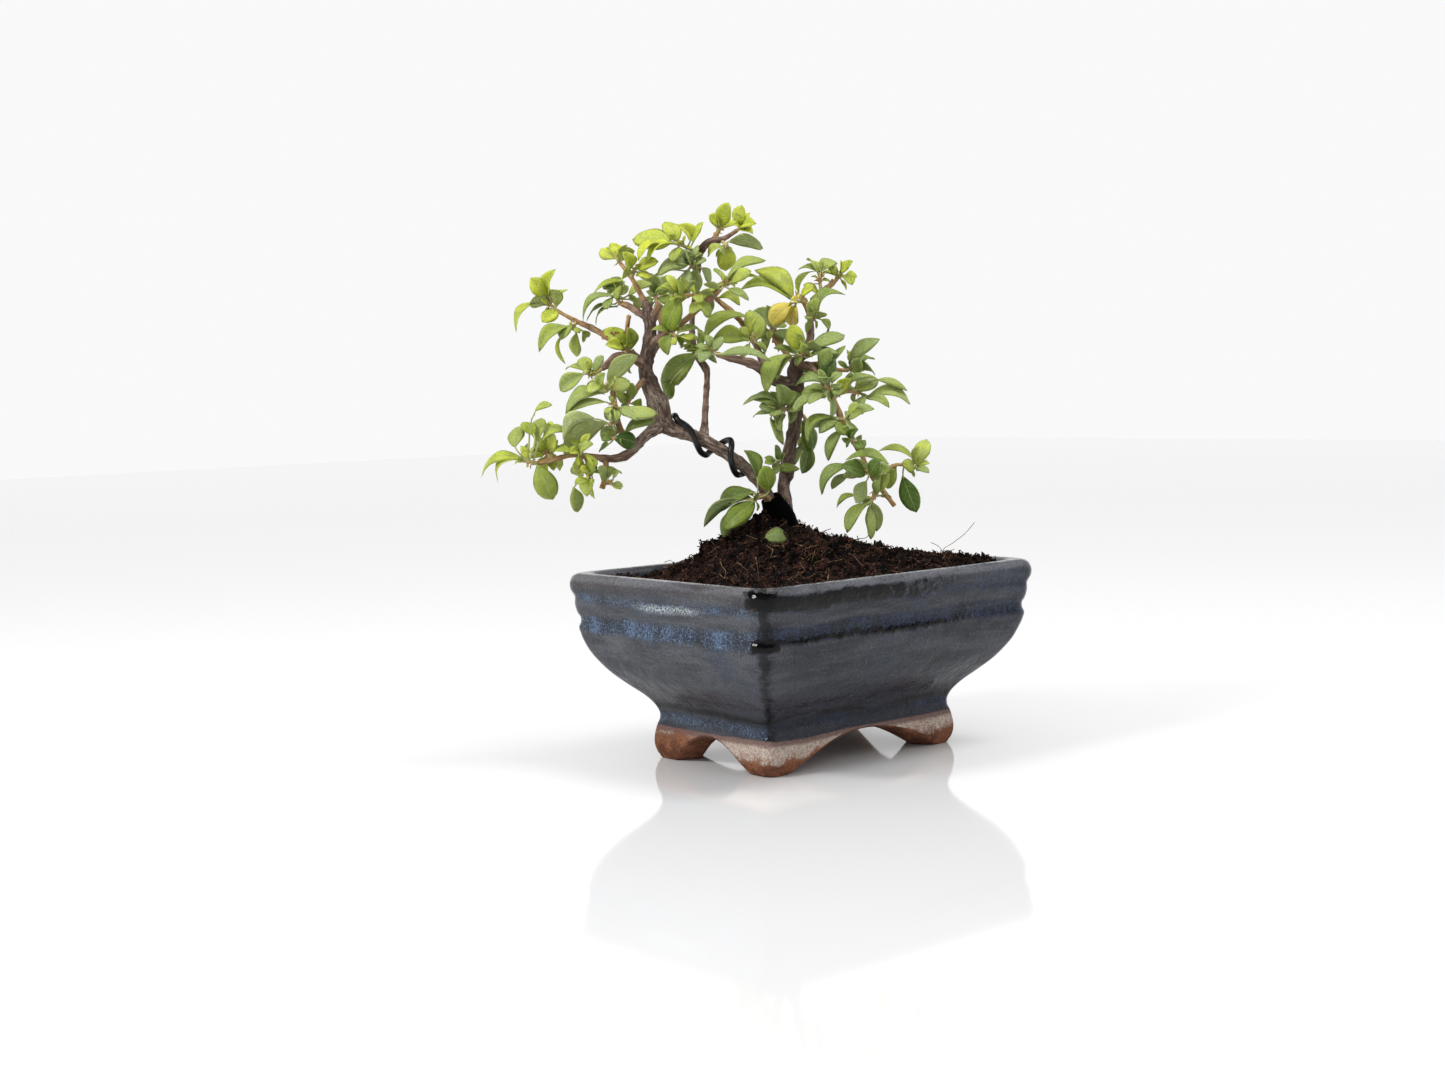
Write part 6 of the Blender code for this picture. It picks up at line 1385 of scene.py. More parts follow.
def leaf_finish(name, under, yellow=False):
    """A leaf's face: its green by the leaf's tone, partly its own colour and partly painted shade and
    light, veins by its map, down and spots.
    """
    finish = Finish(name, Subsurface_Weight=0.2, Subsurface_Scale=0.0007, Specular_IOR_Level=0.2)
    finish.shader.inputs["Subsurface Radius"].default_value = LEAF_GLOW
    down = finish.attribute("down")
    across, along, _ = finish.axes(finish.node("ShaderNodeUVMap", uv_map="leaf_map").outputs[0])
    side = finish.times(finish.distance(across, 0.5), 2.0)
    mottle = finish.noise(0.0035, 4.0)
    slant = finish.less(along, finish.times(side, VEIN_SLANT))
    slant = finish.plus(slant, finish.times(mottle, 0.1))
    wave = finish.maths("SINE", finish.times(slant, VEIN_TURNS))
    rib = finish.ramp(side, 0.1, 0.015)
    vein = finish.times(finish.ramp(wave, 0.7, 1.0), finish.ramp(side, 0.9, 0.25))
    colour = leaf_green(finish, YELLOW_TONES if yellow else GREEN_TONES, down, mottle)
    if under:
        colour = finish.mix(0.4, colour, UNDERSIDE)
    colour = finish.mix(finish.times(vein, 0.1), colour, VEIN_GREEN)
    colour = finish.mix(finish.times(rib, 0.28), colour, RIB_GREEN)
    colour = finish.mix(finish.times(finish.ramp(side, 0.88, 1.0), 0.4), colour, MARGIN_GREEN)
    hoar = finish.times(finish.ramp(finish.noise(0.0008), 0.52, 0.7), finish.plus(down, 0.15))
    colour = finish.mix(finish.times(hoar, 0.42), colour, HOAR)
    blotch = finish.ramp(finish.noise(0.0016, 2.0), 0.56, 0.66)
    colour = finish.mix(finish.times(blotch, finish.attribute("spots")), colour, BROWN_SPOT)
    finish.link(colour, "Base Color")
    finish.link(finish.plus(finish.times(down, 0.3), LEAF_ROUGHNESS[under]), "Roughness")
    relief = finish.plus(vein, finish.times(rib, 1.5))
    finish.bump(finish.times(relief, 1.0 if under else -1.0), 0.0001)
    finish.bump(finish.noise(0.0016, 2.0), 0.00022)
    return finish.material


def leaf_green(finish, tones, down, mottle):
    """A leaf's green, from dark to bright with its tone, partly its own and partly painted shade and
    light, mottled and greyed by its down.
    """
    tone = finish.attribute("tone")
    dark, middle, lime, grey = tones
    low = finish.mix(finish.ramp(tone, 0.0, 0.5), dark, middle)
    colour = finish.mix(finish.ramp(tone, 0.45, 1.0), low, lime)
    colour = finish.mix(finish.times(finish.ramp(mottle, 0.4, 0.65), 0.3), colour, dark)
    downy = finish.times(down, finish.ramp(mottle, 0.1, 0.6))
    return finish.mix(finish.times(downy, 0.75), colour, grey)


def stem_finish():
    """Young stems and stalks: tan to yellow-green, with pale down."""
    finish = Finish("young_stem", Roughness=0.75, Sheen_Weight=0.25)
    patches = finish.ramp(finish.noise(0.004), 0.4, 0.65)
    tan, green = finish.tones(patches, STEM_TAN), finish.tones(patches, STEM_GREEN)
    finish.link(finish.mix(finish.ramp(finish.attribute("tone"), 0.2, 0.9), tan, green), "Base Color")
    finish.bump(finish.noise(0.0005, 2.0), 0.0001)
    return finish.material


def scale_finish():
    """Papery bud scales and withered bits: ochre to straw."""
    finish = Finish("bud_scale", Roughness=0.85, Specular_IOR_Level=0.2)
    colour = finish.tones(finish.ramp(finish.noise(0.0015), 0.35, 0.65), SCALE_TONES)
    colour = finish.mix(finish.ramp(finish.noise(0.003, 2.0), 0.55, 0.7), colour, SCALE_GREEN)
    finish.link(colour, "Base Color")
    return finish.material


def sleeve_finish():
    """Dull black wrap with a trace of dust."""
    finish = Finish("black_wrap", Roughness=0.7, Specular_IOR_Level=0.03)
    dust = finish.ramp(finish.noise(0.003, 4.0), 0.6, 0.78)
    finish.link(finish.tones(finish.times(dust, 0.06), SLEEVE_TONES), "Base Color")
    finish.bump(finish.noise(0.0015), 0.0004)
    return finish.material


def wire_finish():
    """Black enamelled wire, scuffed grey here and there."""
    finish = Finish("black_wire", Metallic=0.3)
    scuffs = finish.noise(0.0015, 4.0, stretch=(1.0, 1.0, 0.3))
    finish.link(finish.tones(finish.ramp(scuffs, 0.6, 0.75), WIRE_TONES), "Base Color")
    finish.link(finish.plus(finish.times(scuffs, 0.25), 0.22), "Roughness")
    return finish.material


def smooth_side(side, steps):
    """More rows of a side of the pot: height and inset along a smooth curve through its rows."""
    knots = [Vector((z, inset, 0.0, 0.0)) for z, inset in side]
    ends = [knots[0] * 2 - knots[1]] + knots + [knots[-1] * 2 - knots[-2]]
    rows = []
    for before, start, end, after in zip(ends, ends[1:], ends[2:], ends[3:]):
        for i in range(steps):
            t = i / steps
            first = (end - before) * t + (2 * before - 5 * start + 4 * end - after) * t**2
            row = 0.5 * (2 * start + first + (3 * start - before - 3 * end + after) * t**3)
            rows.append((row[0], row[1]))
    rows.append(side[-1])
    return rows


def read_side(side, z):
    """The inset of a side at a height."""
    for (low, first), (high, second) in zip(side, side[1:]):
        if low <= z <= high:
            return first + (second - first) * (z - low) / max(high - low, 1e-6)
    return side[0][1] if z < side[0][0] else side[-1][1]


def pot_columns(corner_steps, long_steps, short_steps):
    """Where the pot's columns stand: quarter, share of its corner and share of the next side."""
    columns = []
    for quarter in range(4):
        columns += [(quarter, i / corner_steps, 0.0) for i in range(corner_steps + 1)]
        steps = long_steps if quarter in (0, 2) else short_steps
        columns += [(quarter, 1.0, i / steps) for i in range(1, steps)]
    return columns


def corner_place(quarter, share, inset):
    """A place on one of the pot's rounded corners, at a share of its turn."""
    half_x = POT_LENGTH / 2 - inset
    half_y = POT_WIDTH / 2 - inset
    radius = max(0.2, CORNER_RADIUS * (1 - inset / NO_CORNER_INSET))
    quarter = quarter % 4
    side_x = (half_x - radius) * (1 if quarter in (0, 3) else -1)
    side_y = (half_y - radius) * (1 if quarter in (0, 1) else -1)
    angle = math.radians(90 * (quarter + share))
    return Vector((side_x + radius * math.cos(angle), side_y + radius * math.sin(angle), 0.0))


def column_place(column, inset, z):
    """A column's place on the pot's outline at an inset and a height, in millimetres."""
    quarter, corner, along = column
    place = corner_place(quarter, corner, inset)
    if along:
        place = place.lerp(corner_place(quarter + 1, 0.0, inset), along)
    place.z = z
    return place


def arch_height(column):
    """How high the arch between two feet is open at a column."""
    quarter, _, along = column
    if not along:
        return 0.0
    place = column_place(column, FOOT_INSET, 0.0)
    if quarter in (0, 2):
        share, height = abs(place.x) / LONG_ARCH_HALF, LONG_ARCH_HEIGHT
    else:
        share, height = abs(place.y) / SHORT_ARCH_HALF, SHORT_ARCH_HEIGHT
    return height * max(0.0, 1 - share**2) ** ARCH_ROUNDNESS


def wavered(place, z_share=1.0):
    """A hand-made unevenness of the pot's walls."""
    lean = noise.noise(place * 0.035) * HAND_WAVER * 2 + noise.noise(place * 0.12) * HAND_WAVER
    flat = Vector((place.x, place.y, 0)).normalized()
    return place + flat * lean * z_share


def pot_column(column, side, cavity):
    """One column of the pot, from its inner floor over the rim, down the wall and foot, inwards."""
    points = [column_place(column, FLOOR_MIDDLE, cavity[0][0])]
    points += [column_place(column, inset, z) for z, inset in cavity]
    low = arch_height(column)
    start = low + LIP_RADIUS
    outside = []
    for z, _ in side:
        if z < WAIST_HEIGHT:
            z = start + z * (WAIST_HEIGHT - start) / WAIST_HEIGHT
        place = column_place(column, read_side(side, z), z)
        edge = GLAZE_EDGE + GLAZE_EDGE_WAVER * noise.noise(place * 0.06)
        swell = GLAZE_THICKNESS * min(1.0, max(0.0, z - edge))
        place = column_place(column, read_side(side, z) - swell, z)
        outside.append(wavered(place, min(1.0, z / 20)))
    outside[-1] = column_place(column, side[-1][1], side[-1][0])
    points += outside[::-1]
    foot = read_side(side, start)
    for angle in LIP_ANGLES:
        turn = math.radians(angle)
        inset = foot + LIP_RADIUS * (1 - math.cos(turn))
        points.append(column_place(column, inset, low + LIP_RADIUS * (1 - math.sin(turn))))
    inner = HOLLOW_INSET - 1.0
    points.append(column_place(column, (foot + inner) / 2, low))
    points.append(column_place(column, inner, low))
    top = HOLLOW_TOP
    for share in HOLLOW_SHARES:
        points.append(column_place(column, HOLLOW_INSET, low + (top - low) * share))
    points.append(column_place(column, HOLLOW_INSET + 1.0, top))
    points.append(column_place(column, HOLLOW_MIDDLE, top))
    return points


def make_pot(finish):
    """The pot as one closed skin over its columns, with its drain holes."""
    side = smooth_side(POT_SIDE, PROFILE_STEPS)
    cavity = smooth_side(CAVITY_SIDE, CAVITY_STEPS)
    columns = pot_columns(CORNER_STEPS, LONG_STEPS, SHORT_STEPS)
    grid = [pot_column(column, side, cavity) for column in columns]
    rows = len(grid[0])
    points = [MIDDLE + point * MM for column in grid for point in column]
    faces = []
    for c in range(len(grid)):
        here, there = c * rows, (c + 1) % len(grid) * rows
        for r in range(rows - 1):
            faces.append((here + r, here + r + 1, there + r + 1, there + r))
    faces.append(tuple(c * rows for c in range(len(grid))))
    faces.append(tuple(c * rows + rows - 1 for c in reversed(range(len(grid)))))
    pot = mesh_object("glazed_pot", points, faces)
    bm = bmesh.new()
    bm.from_mesh(pot.data)
    bmesh.ops.recalc_face_normals(bm, faces=bm.faces)
    bm.to_mesh(pot.data)
    bm.free()
    drill_drains(pot)
    finish_piece(pot, "pot", "glaze", finish)


def drill_drains(pot):
    """Cuts the two drain holes through the pot's floor."""
    drills = bpy.data.collections.new("drills")
    bpy.context.scene.collection.children.link(drills)
    low, high = DRAIN_CUT
    for side in (-1, 1):
        bm = bmesh.new()
        bmesh.ops.create_cone(
            bm, cap_ends=True, segments=48, radius1=DRAIN_RADIUS * MM,
            radius2=DRAIN_RADIUS * MM, depth=(high - low) * MM,
        )
        middle = MIDDLE + Vector((side * DRAIN_SPACING / 2, 0, (low + high) / 2)) * MM
        bmesh.ops.translate(bm, verts=bm.verts, vec=middle)
        mesh = bpy.data.meshes.new("drill")
        bm.to_mesh(mesh)
        bm.free()
        drills.objects.link(bpy.data.objects.new("drill", mesh))
    step = pot.modifiers.new("drains", "BOOLEAN")
    step.operation = "DIFFERENCE"
    step.operand_type = "COLLECTION"
    step.collection = drills
    step.solver = "EXACT"
    apply_modifiers(pot)
    for drill in list(drills.objects):
        bpy.data.objects.remove(drill)
    bpy.data.collections.remove(drills)


def soil_height(place):
    """Height of the soil at a place in millimetres from the pot's middle: heaped and crumbly."""
    u = place.dot(ACROSS) - SOIL_CENTRE
    w = place.dot(TOWARDS)
    aside = abs(u / HEAP_LEFT) ** 3 if u < 0 else abs(u / HEAP_RIGHT) ** 1.1
    heap = math.exp(-aside - abs(w / HEAP_DEPTH) ** 1.8)
    off = (Vector((u, w)) - Vector(MOUND_PLACE)).length / MOUND_REACH
    mound = MOUND_HEIGHT * math.exp(-(off**2))
    crumb = sum(noise.noise(Vector((place.x, place.y, 0)) / size) for size in CRUMB_SIZES)
    return SOIL_EDGE + SOIL_PEAK * heap + mound + SOIL_CRUMB * crumb


def clods(place):
    """Fine lumps of the soil's surface with sharp hollows between them, in millimetres."""
    return sum((0.3 - abs(noise.noise(place / size)) * 1.6) * height for size, height in CLOD_SIZES)


def soil_top(columns):
    """The rings of the soil's surface, from the pot's wall in to the foot of the tree."""
    middle = (seen(*STOCK[-1][:3]) - MIDDLE) / MM
    rings = []
    for i in range(SOIL_RING_COUNT):
        share = 1 - i / SOIL_RING_COUNT
        ring = []
        for column in columns:
            place = middle.lerp(column_place(column, SOIL_INSET, 0), share)
            place.z = 0
            place.z = soil_height(place) - (SOIL_EDGE_DROP if i == 0 else 0)
            place.z += clods(place) * min(1.0, i / 2)
            ring.append(place)
        rings.append(ring)
    return rings


def add_clod(points, faces):
    """Adds the long crumbling clod that lies at the left of the heap."""
    first = len(points)
    noise.seed_set(CLOD_SEED)
    add_tube(points, faces, drawn_path(CLOD, CLOD_STEP), CLOD_SIDES)
    for i in range(first, len(points)):
        points[i] += noise.noise_vector(points[i] / MM * CLOD_ROUGHNESS[0]) * CLOD_ROUGHNESS[1] * MM


def make_soil_bed(finish):
    """The soil's body: it fills the pot and rises to the heap round the foot of the tree."""
    columns = pot_columns(SOIL_COLUMN_STEPS[0], SOIL_COLUMN_STEPS[1], SOIL_COLUMN_STEPS[1])
    levels = [(z, inset + SOIL_GAP) for z, inset in CAVITY_SIDE if z < SOIL_EDGE - SOIL_SHOULDER[0]]
    levels = [(SOIL_FLOOR, levels[0][1])] + levels[1:]
    levels.append((SOIL_EDGE - SOIL_SHOULDER[1], SOIL_INSET + 0.1))
    rings = [[column_place(c, inset, z) for c in columns] for z, inset in levels]
    rings += soil_top(columns)
    count = len(columns)
    points = [MIDDLE + point * MM for ring in rings for point in ring]
    faces = []
    for r in range(len(rings) - 1):
        for c in range(count):
            a, b = r * count + c, r * count + (c + 1) % count
            faces.append((a, b, b + count, a + count))
    faces.append(tuple((len(rings) - 1) * count + c for c in range(count)))
    add_clod(points, faces)
    faces.append(tuple(reversed(range(count))))
    bed = mesh_object("soil_bed", points, faces)
    top = bed.data.attributes.new("top", "BOOLEAN", "FACE")
    first = len(levels) * count
    top.data.foreach_set("value", [first <= i < len(faces) - 1 for i in range(len(faces))])
    finish_piece(bed, "soil", "soil", finish)
    return bed


class Tree:
    """A node tree that strews bits over the soil, built by short calls; its inputs have plain names."""

    def __init__(self, name):
        self.group = bpy.data.node_groups.new(name, "GeometryNodeTree")
        for way in ("INPUT", "OUTPUT"):
            self.group.interface.new_socket("Geometry", in_out=way, socket_type="NodeSocketGeometry")
        self.entry = self.group.nodes.new("NodeGroupInput")
        self.exit = self.group.nodes.new("NodeGroupOutput")

    def input(self, name, kind="NodeSocketFloat", value=None):
        socket = self.group.interface.new_socket(name, in_out="INPUT", socket_type=kind)
        if value is not None:
            socket.default_value = value
        return self.entry.outputs[name]

    def node(self, kind, inputs=None, **settings):
        return add_node(self.group, kind, inputs, settings)

    def vector(self, operation, first, **inputs):
        return self.node("ShaderNodeVectorMath", {0: first, **inputs}, operation=operation).outputs[0]

    def random(self, low, high, seed, kind="FLOAT"):
        first = 0 if kind == "FLOAT_VECTOR" else 2
        inputs = {first: low, first + 1: high, "Seed": seed}
        return shown(self.node("FunctionNodeRandomValue", inputs, data_type=kind).outputs)

    def strewn(self):
        """Spots strewn over the faces that are marked as the soil's top."""
        on_top = self.node("GeometryNodeInputNamedAttribute", {"Name": "top"}, data_type="BOOLEAN")
        inputs = {
            "Mesh": self.entry.outputs["Geometry"], "Density": self.input("Density", value=1.0),
            "Seed": self.input("Seed", "NodeSocketInt", 0), "Selection": shown(on_top.outputs),
        }
        return self.node("GeometryNodeDistributePointsOnFaces", inputs).outputs

    def copies(self, spots, bit, turn, size):
        """A real copy of a bit on every spot."""
        inputs = {"Points": spots["Points"], "Instance": bit, "Rotation": turn, "Scale": size}
        placed = self.node("GeometryNodeInstanceOnPoints", inputs)
        return self.node("GeometryNodeRealizeInstances", {"Geometry": placed.outputs[0]}).outputs[0]

    def wander(self, fineness, strength):
        """A shift by noise in every direction, about half the strength long at most."""
        field = self.node("ShaderNodeTexNoise", {"Scale": fineness, "Detail": 1.0}).outputs["Color"]
        centred = self.node("ShaderNodeVectorMath", {0: field, 1: (0.5, 0.5, 0.5)}, operation="SUBTRACT")
        return self.vector("SCALE", centred.outputs[0], Scale=strength)

    def end(self, geometry):
        """Makes the instances real, gives them the finish, and ends the tree."""
        real = self.node("GeometryNodeRealizeInstances", {"Geometry": geometry})
        inputs = {"Geometry": real.outputs[0], "Material": self.input("Finish", "NodeSocketMaterial")}
        dressed = self.node("GeometryNodeSetMaterial", inputs)
        self.group.links.new(dressed.outputs[0], self.exit.inputs["Geometry"])


def grown_mesh(base, tree, values):
    """The mesh that a node tree makes on a base with these values for its named inputs."""
    step = base.modifiers.new(tree.group.name, "NODES")
    step.node_group = tree.group
    for item in tree.group.interface.items_tree:
        if item.in_out == "INPUT" and item.name in values:
            step[item.identifier] = values[item.name]
    mesh = evaluated_mesh(base)
    base.modifiers.remove(step)
    return mesh


def crumb_tree():
    """Crumbs of soil: small flakes strewn over a surface, each turned, stretched and roughened."""
    tree = Tree("soil_crumbs")
    spots = tree.strewn()
    crumb = tree.node("GeometryNodeMeshIcoSphere", {"Radius": 0.5, "Subdivisions": 1})
    share = tree.random(0.0, 1.0, CRUMB_SEEDS["size"])
    share = tree.node("ShaderNodeMath", {0: share, 1: CRUMB_FINENESS}, operation="POWER").outputs[0]
    inputs = {"Value": share, 3: tree.input("Smallest", value=MM), 4: tree.input("Largest", value=MM)}
    size = tree.node("ShaderNodeMapRange", inputs).outputs[0]
    shape = tree.random(CRUMB_SHAPE[0], CRUMB_SHAPE[1], CRUMB_SEEDS["shape"], "FLOAT_VECTOR")
    turn = tree.random((0.0, 0.0, 0.0), (FULL_TURN,) * 3, CRUMB_SEEDS["turn"], "FLOAT_VECTOR")
    flakes = tree.copies(spots, crumb.outputs["Mesh"], turn, tree.vector("SCALE", shape, Scale=size))
    shift = tree.wander(CRUMB_ROUGHNESS, tree.input("Roughness", value=MM))
    bent = tree.node("GeometryNodeSetPosition", {"Geometry": flakes, "Offset": shift})
    tree.end(bent.outputs[0])
    return tree


def fibre_tree():
    """Coir fibres: short bent threads that lie on a surface, at any turn."""
    tree = Tree("soil_fibres")
    spots = tree.strewn()
    line = tree.node("GeometryNodeCurvePrimitiveLine", {"Start": (-0.5, 0, 0), "End": (0.5, 0, 0)})
    thread = tree.node("GeometryNodeResampleCurve", {"Curve": line.outputs[0], "Count": THREAD_KNOTS})
    least, most = (-FIBRE_TILT, -FIBRE_TILT, 0.0), (FIBRE_TILT, FIBRE_TILT, FULL_TURN)
    spin = tree.random(least, most, FIBRE_SEEDS["turn"], "FLOAT_VECTOR")
    spin = tree.node("FunctionNodeEulerToRotation", {0: spin}).outputs[0]
    inputs = {"Rotation": spots["Rotation"], "Rotate By": spin}
    turned = tree.node("FunctionNodeRotateRotation", inputs, rotation_space="LOCAL")
    share = tree.random(FIBRE_SHARES[0], FIBRE_SHARES[1], FIBRE_SEEDS["length"])
    inputs = {0: share, 1: tree.input("Length", value=MM)}
    size = tree.node("ShaderNodeMath", inputs, operation="MULTIPLY")
    threads = tree.copies(spots, thread.outputs[0], turned.outputs[0], size.outputs[0])
    shift = tree.wander(FIBRE_WANDER, tree.input("Bend", value=MM))
    raised = tree.node("ShaderNodeCombineXYZ", {"Z": tree.input("Lift", value=0.0)})
    inputs = {0: shift, 1: raised.outputs[0]}
    shift = tree.node("ShaderNodeVectorMath", inputs, operation="ADD").outputs[0]
    bent = tree.node("GeometryNodeSetPosition", {"Geometry": threads, "Offset": shift})
    inputs = {"Resolution": THREAD_SIDES, "Radius": tree.input("Thickness", value=MM)}
    ring = tree.node("GeometryNodeCurvePrimitiveCircle", inputs)
    inputs = {"Curve": bent.outputs[0], "Profile Curve": ring.outputs[0], "Fill Caps": True}
    tree.end(tree.node("GeometryNodeCurveToMesh", inputs).outputs[0])
    return tree


def make_soil_cover(bed):
    """The crumbs, fibres and roots on the soil, and the two hairs that stand out of it."""
    trees = {"crumbs": crumb_tree(), "fibres": fibre_tree()}
    finishes = {name: soil_finish(name, tones) for name, tones in COVER_TONES.items()}
    for name, (kind, finish, values) in SOIL_COVER.items():
        mesh = grown_mesh(bed, trees[kind], {**values, "Finish": finishes[finish]})
        mesh.name = name
        cover = bpy.data.objects.new(name, mesh)
        bpy.context.scene.collection.objects.link(cover)
        finish_piece(cover, None, "soil")
        if kind == "crumbs":
            cover.data.shade_flat()
    points, faces = [], []
    for hair in ROOT_HAIRS:
        add_tube(points, faces, drawn_path([(*row, HAIR_RADIUS) for row in hair], HAIR_STEP), HAIR_SIDES)
    finish_piece(mesh_object("root_hairs", points, faces), None, "soil", finishes["pale_root"])


class WoodSample:
    """A place in the middle of a branch, to tell the wood round it its girth, its grain and the height
    where its painted shade starts.
    """

    def __init__(self, place, radius, girth, pale, along, side, walked, branch):
        self.place, self.radius, self.girth, self.pale = place, radius, girth, pale
        self.along, self.side = along, side
        self.other = along.cross(side)
        self.walked, self.branch = walked, branch

    def grain(self, point):
        """The point in the branch's own directions, drawn out along it."""
        off = point - self.place
        walked = self.walked + off.dot(self.along)
        lengthwise = walked * BARK_STRETCH + self.branch * 0.05
        return Vector((off.dot(self.side), off.dot(self.other), lengthwise))


def swollen_path(path, chance):
    """A branch's path with a swelling at each old node, and where those nodes are."""
    offset = chance.random() * KNOT_SPACING
    walked = [0.0]
    for row, ahead in zip(path, path[1:]):
        walked.append(walked[-1] + (Vector(ahead[:3]) - Vector(row[:3])).length / MM)
    swollen, nodes = [], []
    for i, row in enumerate(path):
        turns = (walked[i] + offset) / KNOT_SPACING
        apart = abs(turns - round(turns)) * KNOT_SPACING
        swell = 1 + KNOT_SWELL * math.exp(-((apart / KNOT_LENGTH) ** 2))
        swell += chance.uniform(-GIRTH_WAVER, GIRTH_WAVER)
        swollen.append(Vector((*row[:3], row[3] * swell)))
        if i and int(turns) != int((walked[i - 1] + offset) / KNOT_SPACING):
            nodes.append(i)
    return swollen, walked, nodes


def add_knobs(points, faces, path, nodes, chance):
    """Small round buds that stand on a twig at its nodes."""
    for i in nodes:
        row = path[i]
        if row[3] > KNOB_GIRTH * MM or i in (0, len(path) - 1):
            continue
        along = (Vector(path[i + 1][:3]) - Vector(path[i - 1][:3])).normalized()
        spoke = Matrix.Rotation(chance.uniform(0, FULL_TURN), 3, along) @ along.orthogonal().normalized()
        foot, size = Vector(row[:3]) + spoke * row[3] * 0.6, chance.uniform(*KNOB_SIZE) * MM
        lean = (spoke + along * 0.4).normalized()
        knob = [Vector((*(foot + lean * t * size * KNOB_LENGTH), size * r)) for t, r in KNOB_SHAPE]
        add_tube(points, faces, knob, KNOB_SIDES)


def make_wood(finish):
    """The grown wood as one skin: every branch merged, smoothed at its forks and fissured."""
    points, faces, samples = [], [], []
    chance = random.Random(WOOD_SEED)
    for number, (name, rows) in enumerate([("stock", STOCK)] + list(BRANCHES.items())):
        plain = drawn_path(rows, WOOD_STEP)
        path, walked, nodes = swollen_path(plain, chance)
        stout = max(row[3] for row in rows) > STOUT_RADIUS
        add_tube(points, faces, path, STOUT_SIDES if stout else THIN_SIDES)
        if name != "stock":
            add_knobs(points, faces, path, nodes, chance)
        side = None
        for i, row in enumerate(path):
            ahead, behind = path[min(i + 1, len(path) - 1)], path[max(i - 1, 0)]
            along = (Vector(ahead[:3]) - Vector(behind[:3])).normalized()
            side = side or along.orthogonal()
            side = (side - along * side.dot(along)).normalized()
            girth = plain[i][3] / MM + (OLD_WOOD if name in OLD_TWIGS else 0.0)
            # The height from which this branch's bark gets painted shade
            pale = SHADED_STEMS.get(name, SHADE_START)
            sample = WoodSample(Vector(row[:3]), row[3], girth, pale, along, side, walked[i] * MM, number)
            samples.append(sample)
    wood = mesh_object("bark_wood", points, faces)
    skin = wood.modifiers.new("skin", "REMESH")
    skin.mode = "VOXEL"
    skin.voxel_size = WOOD_VOXEL
    soft = wood.modifiers.new("soft", "SMOOTH")
    soft.factor = SKIN_SOFTNESS
    soft.iterations = SKIN_PASSES
    apply_modifiers(wood)
    roughen_bark(wood, samples)
    finish_piece(wood, "wood", "bark", finish)


def roughen_bark(wood, samples):
    """Cuts fissures along each branch, and keeps girth, grain, fissures, cut ends and painted shade for
    the finish.
    """
    nearest = KDTree(len(samples))
    for i, sample in enumerate(samples):
        nearest.insert(sample.place, i)
    nearest.balance()
    cuts = [seen(*BRANCHES[name][-1][:3]) for name in CUT_ENDS]
    kept = {"girth": [], "fissure": [], "cut": [], "shade": []}
    grains = []
    normals = [vertex.normal.copy() for vertex in wood.data.vertices]
    for vertex, normal in zip(wood.data.vertices, normals):
        place = vertex.co.copy()
        close = nearest.find_n(place, 7)
        _, i, _ = min(close, key=lambda found: abs(found[2] - samples[found[1]].radius))
        sample = samples[i]
        grain = sample.grain(place)
        size, depth = BARK_CRACK
        crack = min(1.0, abs(noise.noise(grain / (size * MM))) * 4.0)
        lumps = sum(noise.noise(grain / (s * MM)) * d for s, d in BARK_LUMPS)
        strength = min(1.0, sample.radius / MM / 2.6) ** 1.3
        vertex.co = place + normal * ((crack - 0.7) * depth + lumps) * strength * MM
        grains += list(grain)
        kept["girth"].append(sample.girth)
        kept["fissure"].append(crack if strength > 0.5 else 1.0)
        near_cut = min((place - cut).length for cut in cuts)
        is_end = near_cut < CUT_REACH * MM and abs(normal.dot(sample.along)) > CUT_FACING
        kept["cut"].append(1.0 if is_end else 0.0)
        # How far the wood lies in painted shade, by its height above where that starts
        kept["shade"].append(min(1.0, max(0.0, (place.z / MM - sample.pale) / SHADE_FADE)))
    for name, values in kept.items():
        wood.data.attributes.new(name, "FLOAT", "POINT").data.foreach_set("value", values)
    wood.data.attributes.new("grain", "FLOAT_VECTOR", "POINT").data.foreach_set("vector", grains)


def make_sleeve(finish):
    """The black wrap round the fork: a wrinkled sleeve, open round the stems at its top."""
    path = drawn_path(SLEEVE, SLEEVE_STEP)
    points, faces = [], []
    rows, sides = len(path), SLEEVE_SIDES
    for i, row in enumerate(path):
        ahead, behind = path[min(i + 1, rows - 1)], path[max(i - 1, 0)]
        along = (Vector(ahead[:3]) - Vector(behind[:3])).normalized()
        front = (TOWARDS - along * TOWARDS.dot(along)).normalized()
        right = along.cross(front)
        for k in range(sides):
            angle = 2 * math.pi * k / sides
            spoke = front * math.cos(angle) + right * math.sin(angle)
            wrinkle = noise.noise(Vector((math.cos(angle) * 2.2, math.sin(angle) * 2.2, i * 0.12)))
            crease = noise.noise(Vector((math.cos(angle) * 5, math.sin(angle) * 5, i * 0.5 + 9)))
            radius = row[3] * (1 + SLEEVE_WRINKLE * wrinkle + SLEEVE_CREASE * crease)
            points.append(Vector(row[:3]) + spoke * radius)
    for i in range(rows - 1):
        for k in range(sides):
            a, b = i * sides + k, i * sides + (k + 1) % sides
            faces.append((a, b, b + sides, a + sides))
    sleeve = mesh_object("root_sleeve", points, faces)
    wall = sleeve.modifiers.new("wall", "SOLIDIFY")
    wall.thickness = SLEEVE_WALL * MM
    wall.offset = -1.0
    apply_modifiers(sleeve)
    finish_piece(sleeve, "root_wrap", "sleeve", finish)


def between(table, u):
    """The values of a table of rows, read at u by straight steps between its rows."""
    for start, end in zip(table, table[1:]):
        if start[0] <= u <= end[0]:
            share = (u - start[0]) / (end[0] - start[0])
            return [a + (b - a) * share for a, b in zip(start[1:], end[1:])]
    return table[-1][1:]


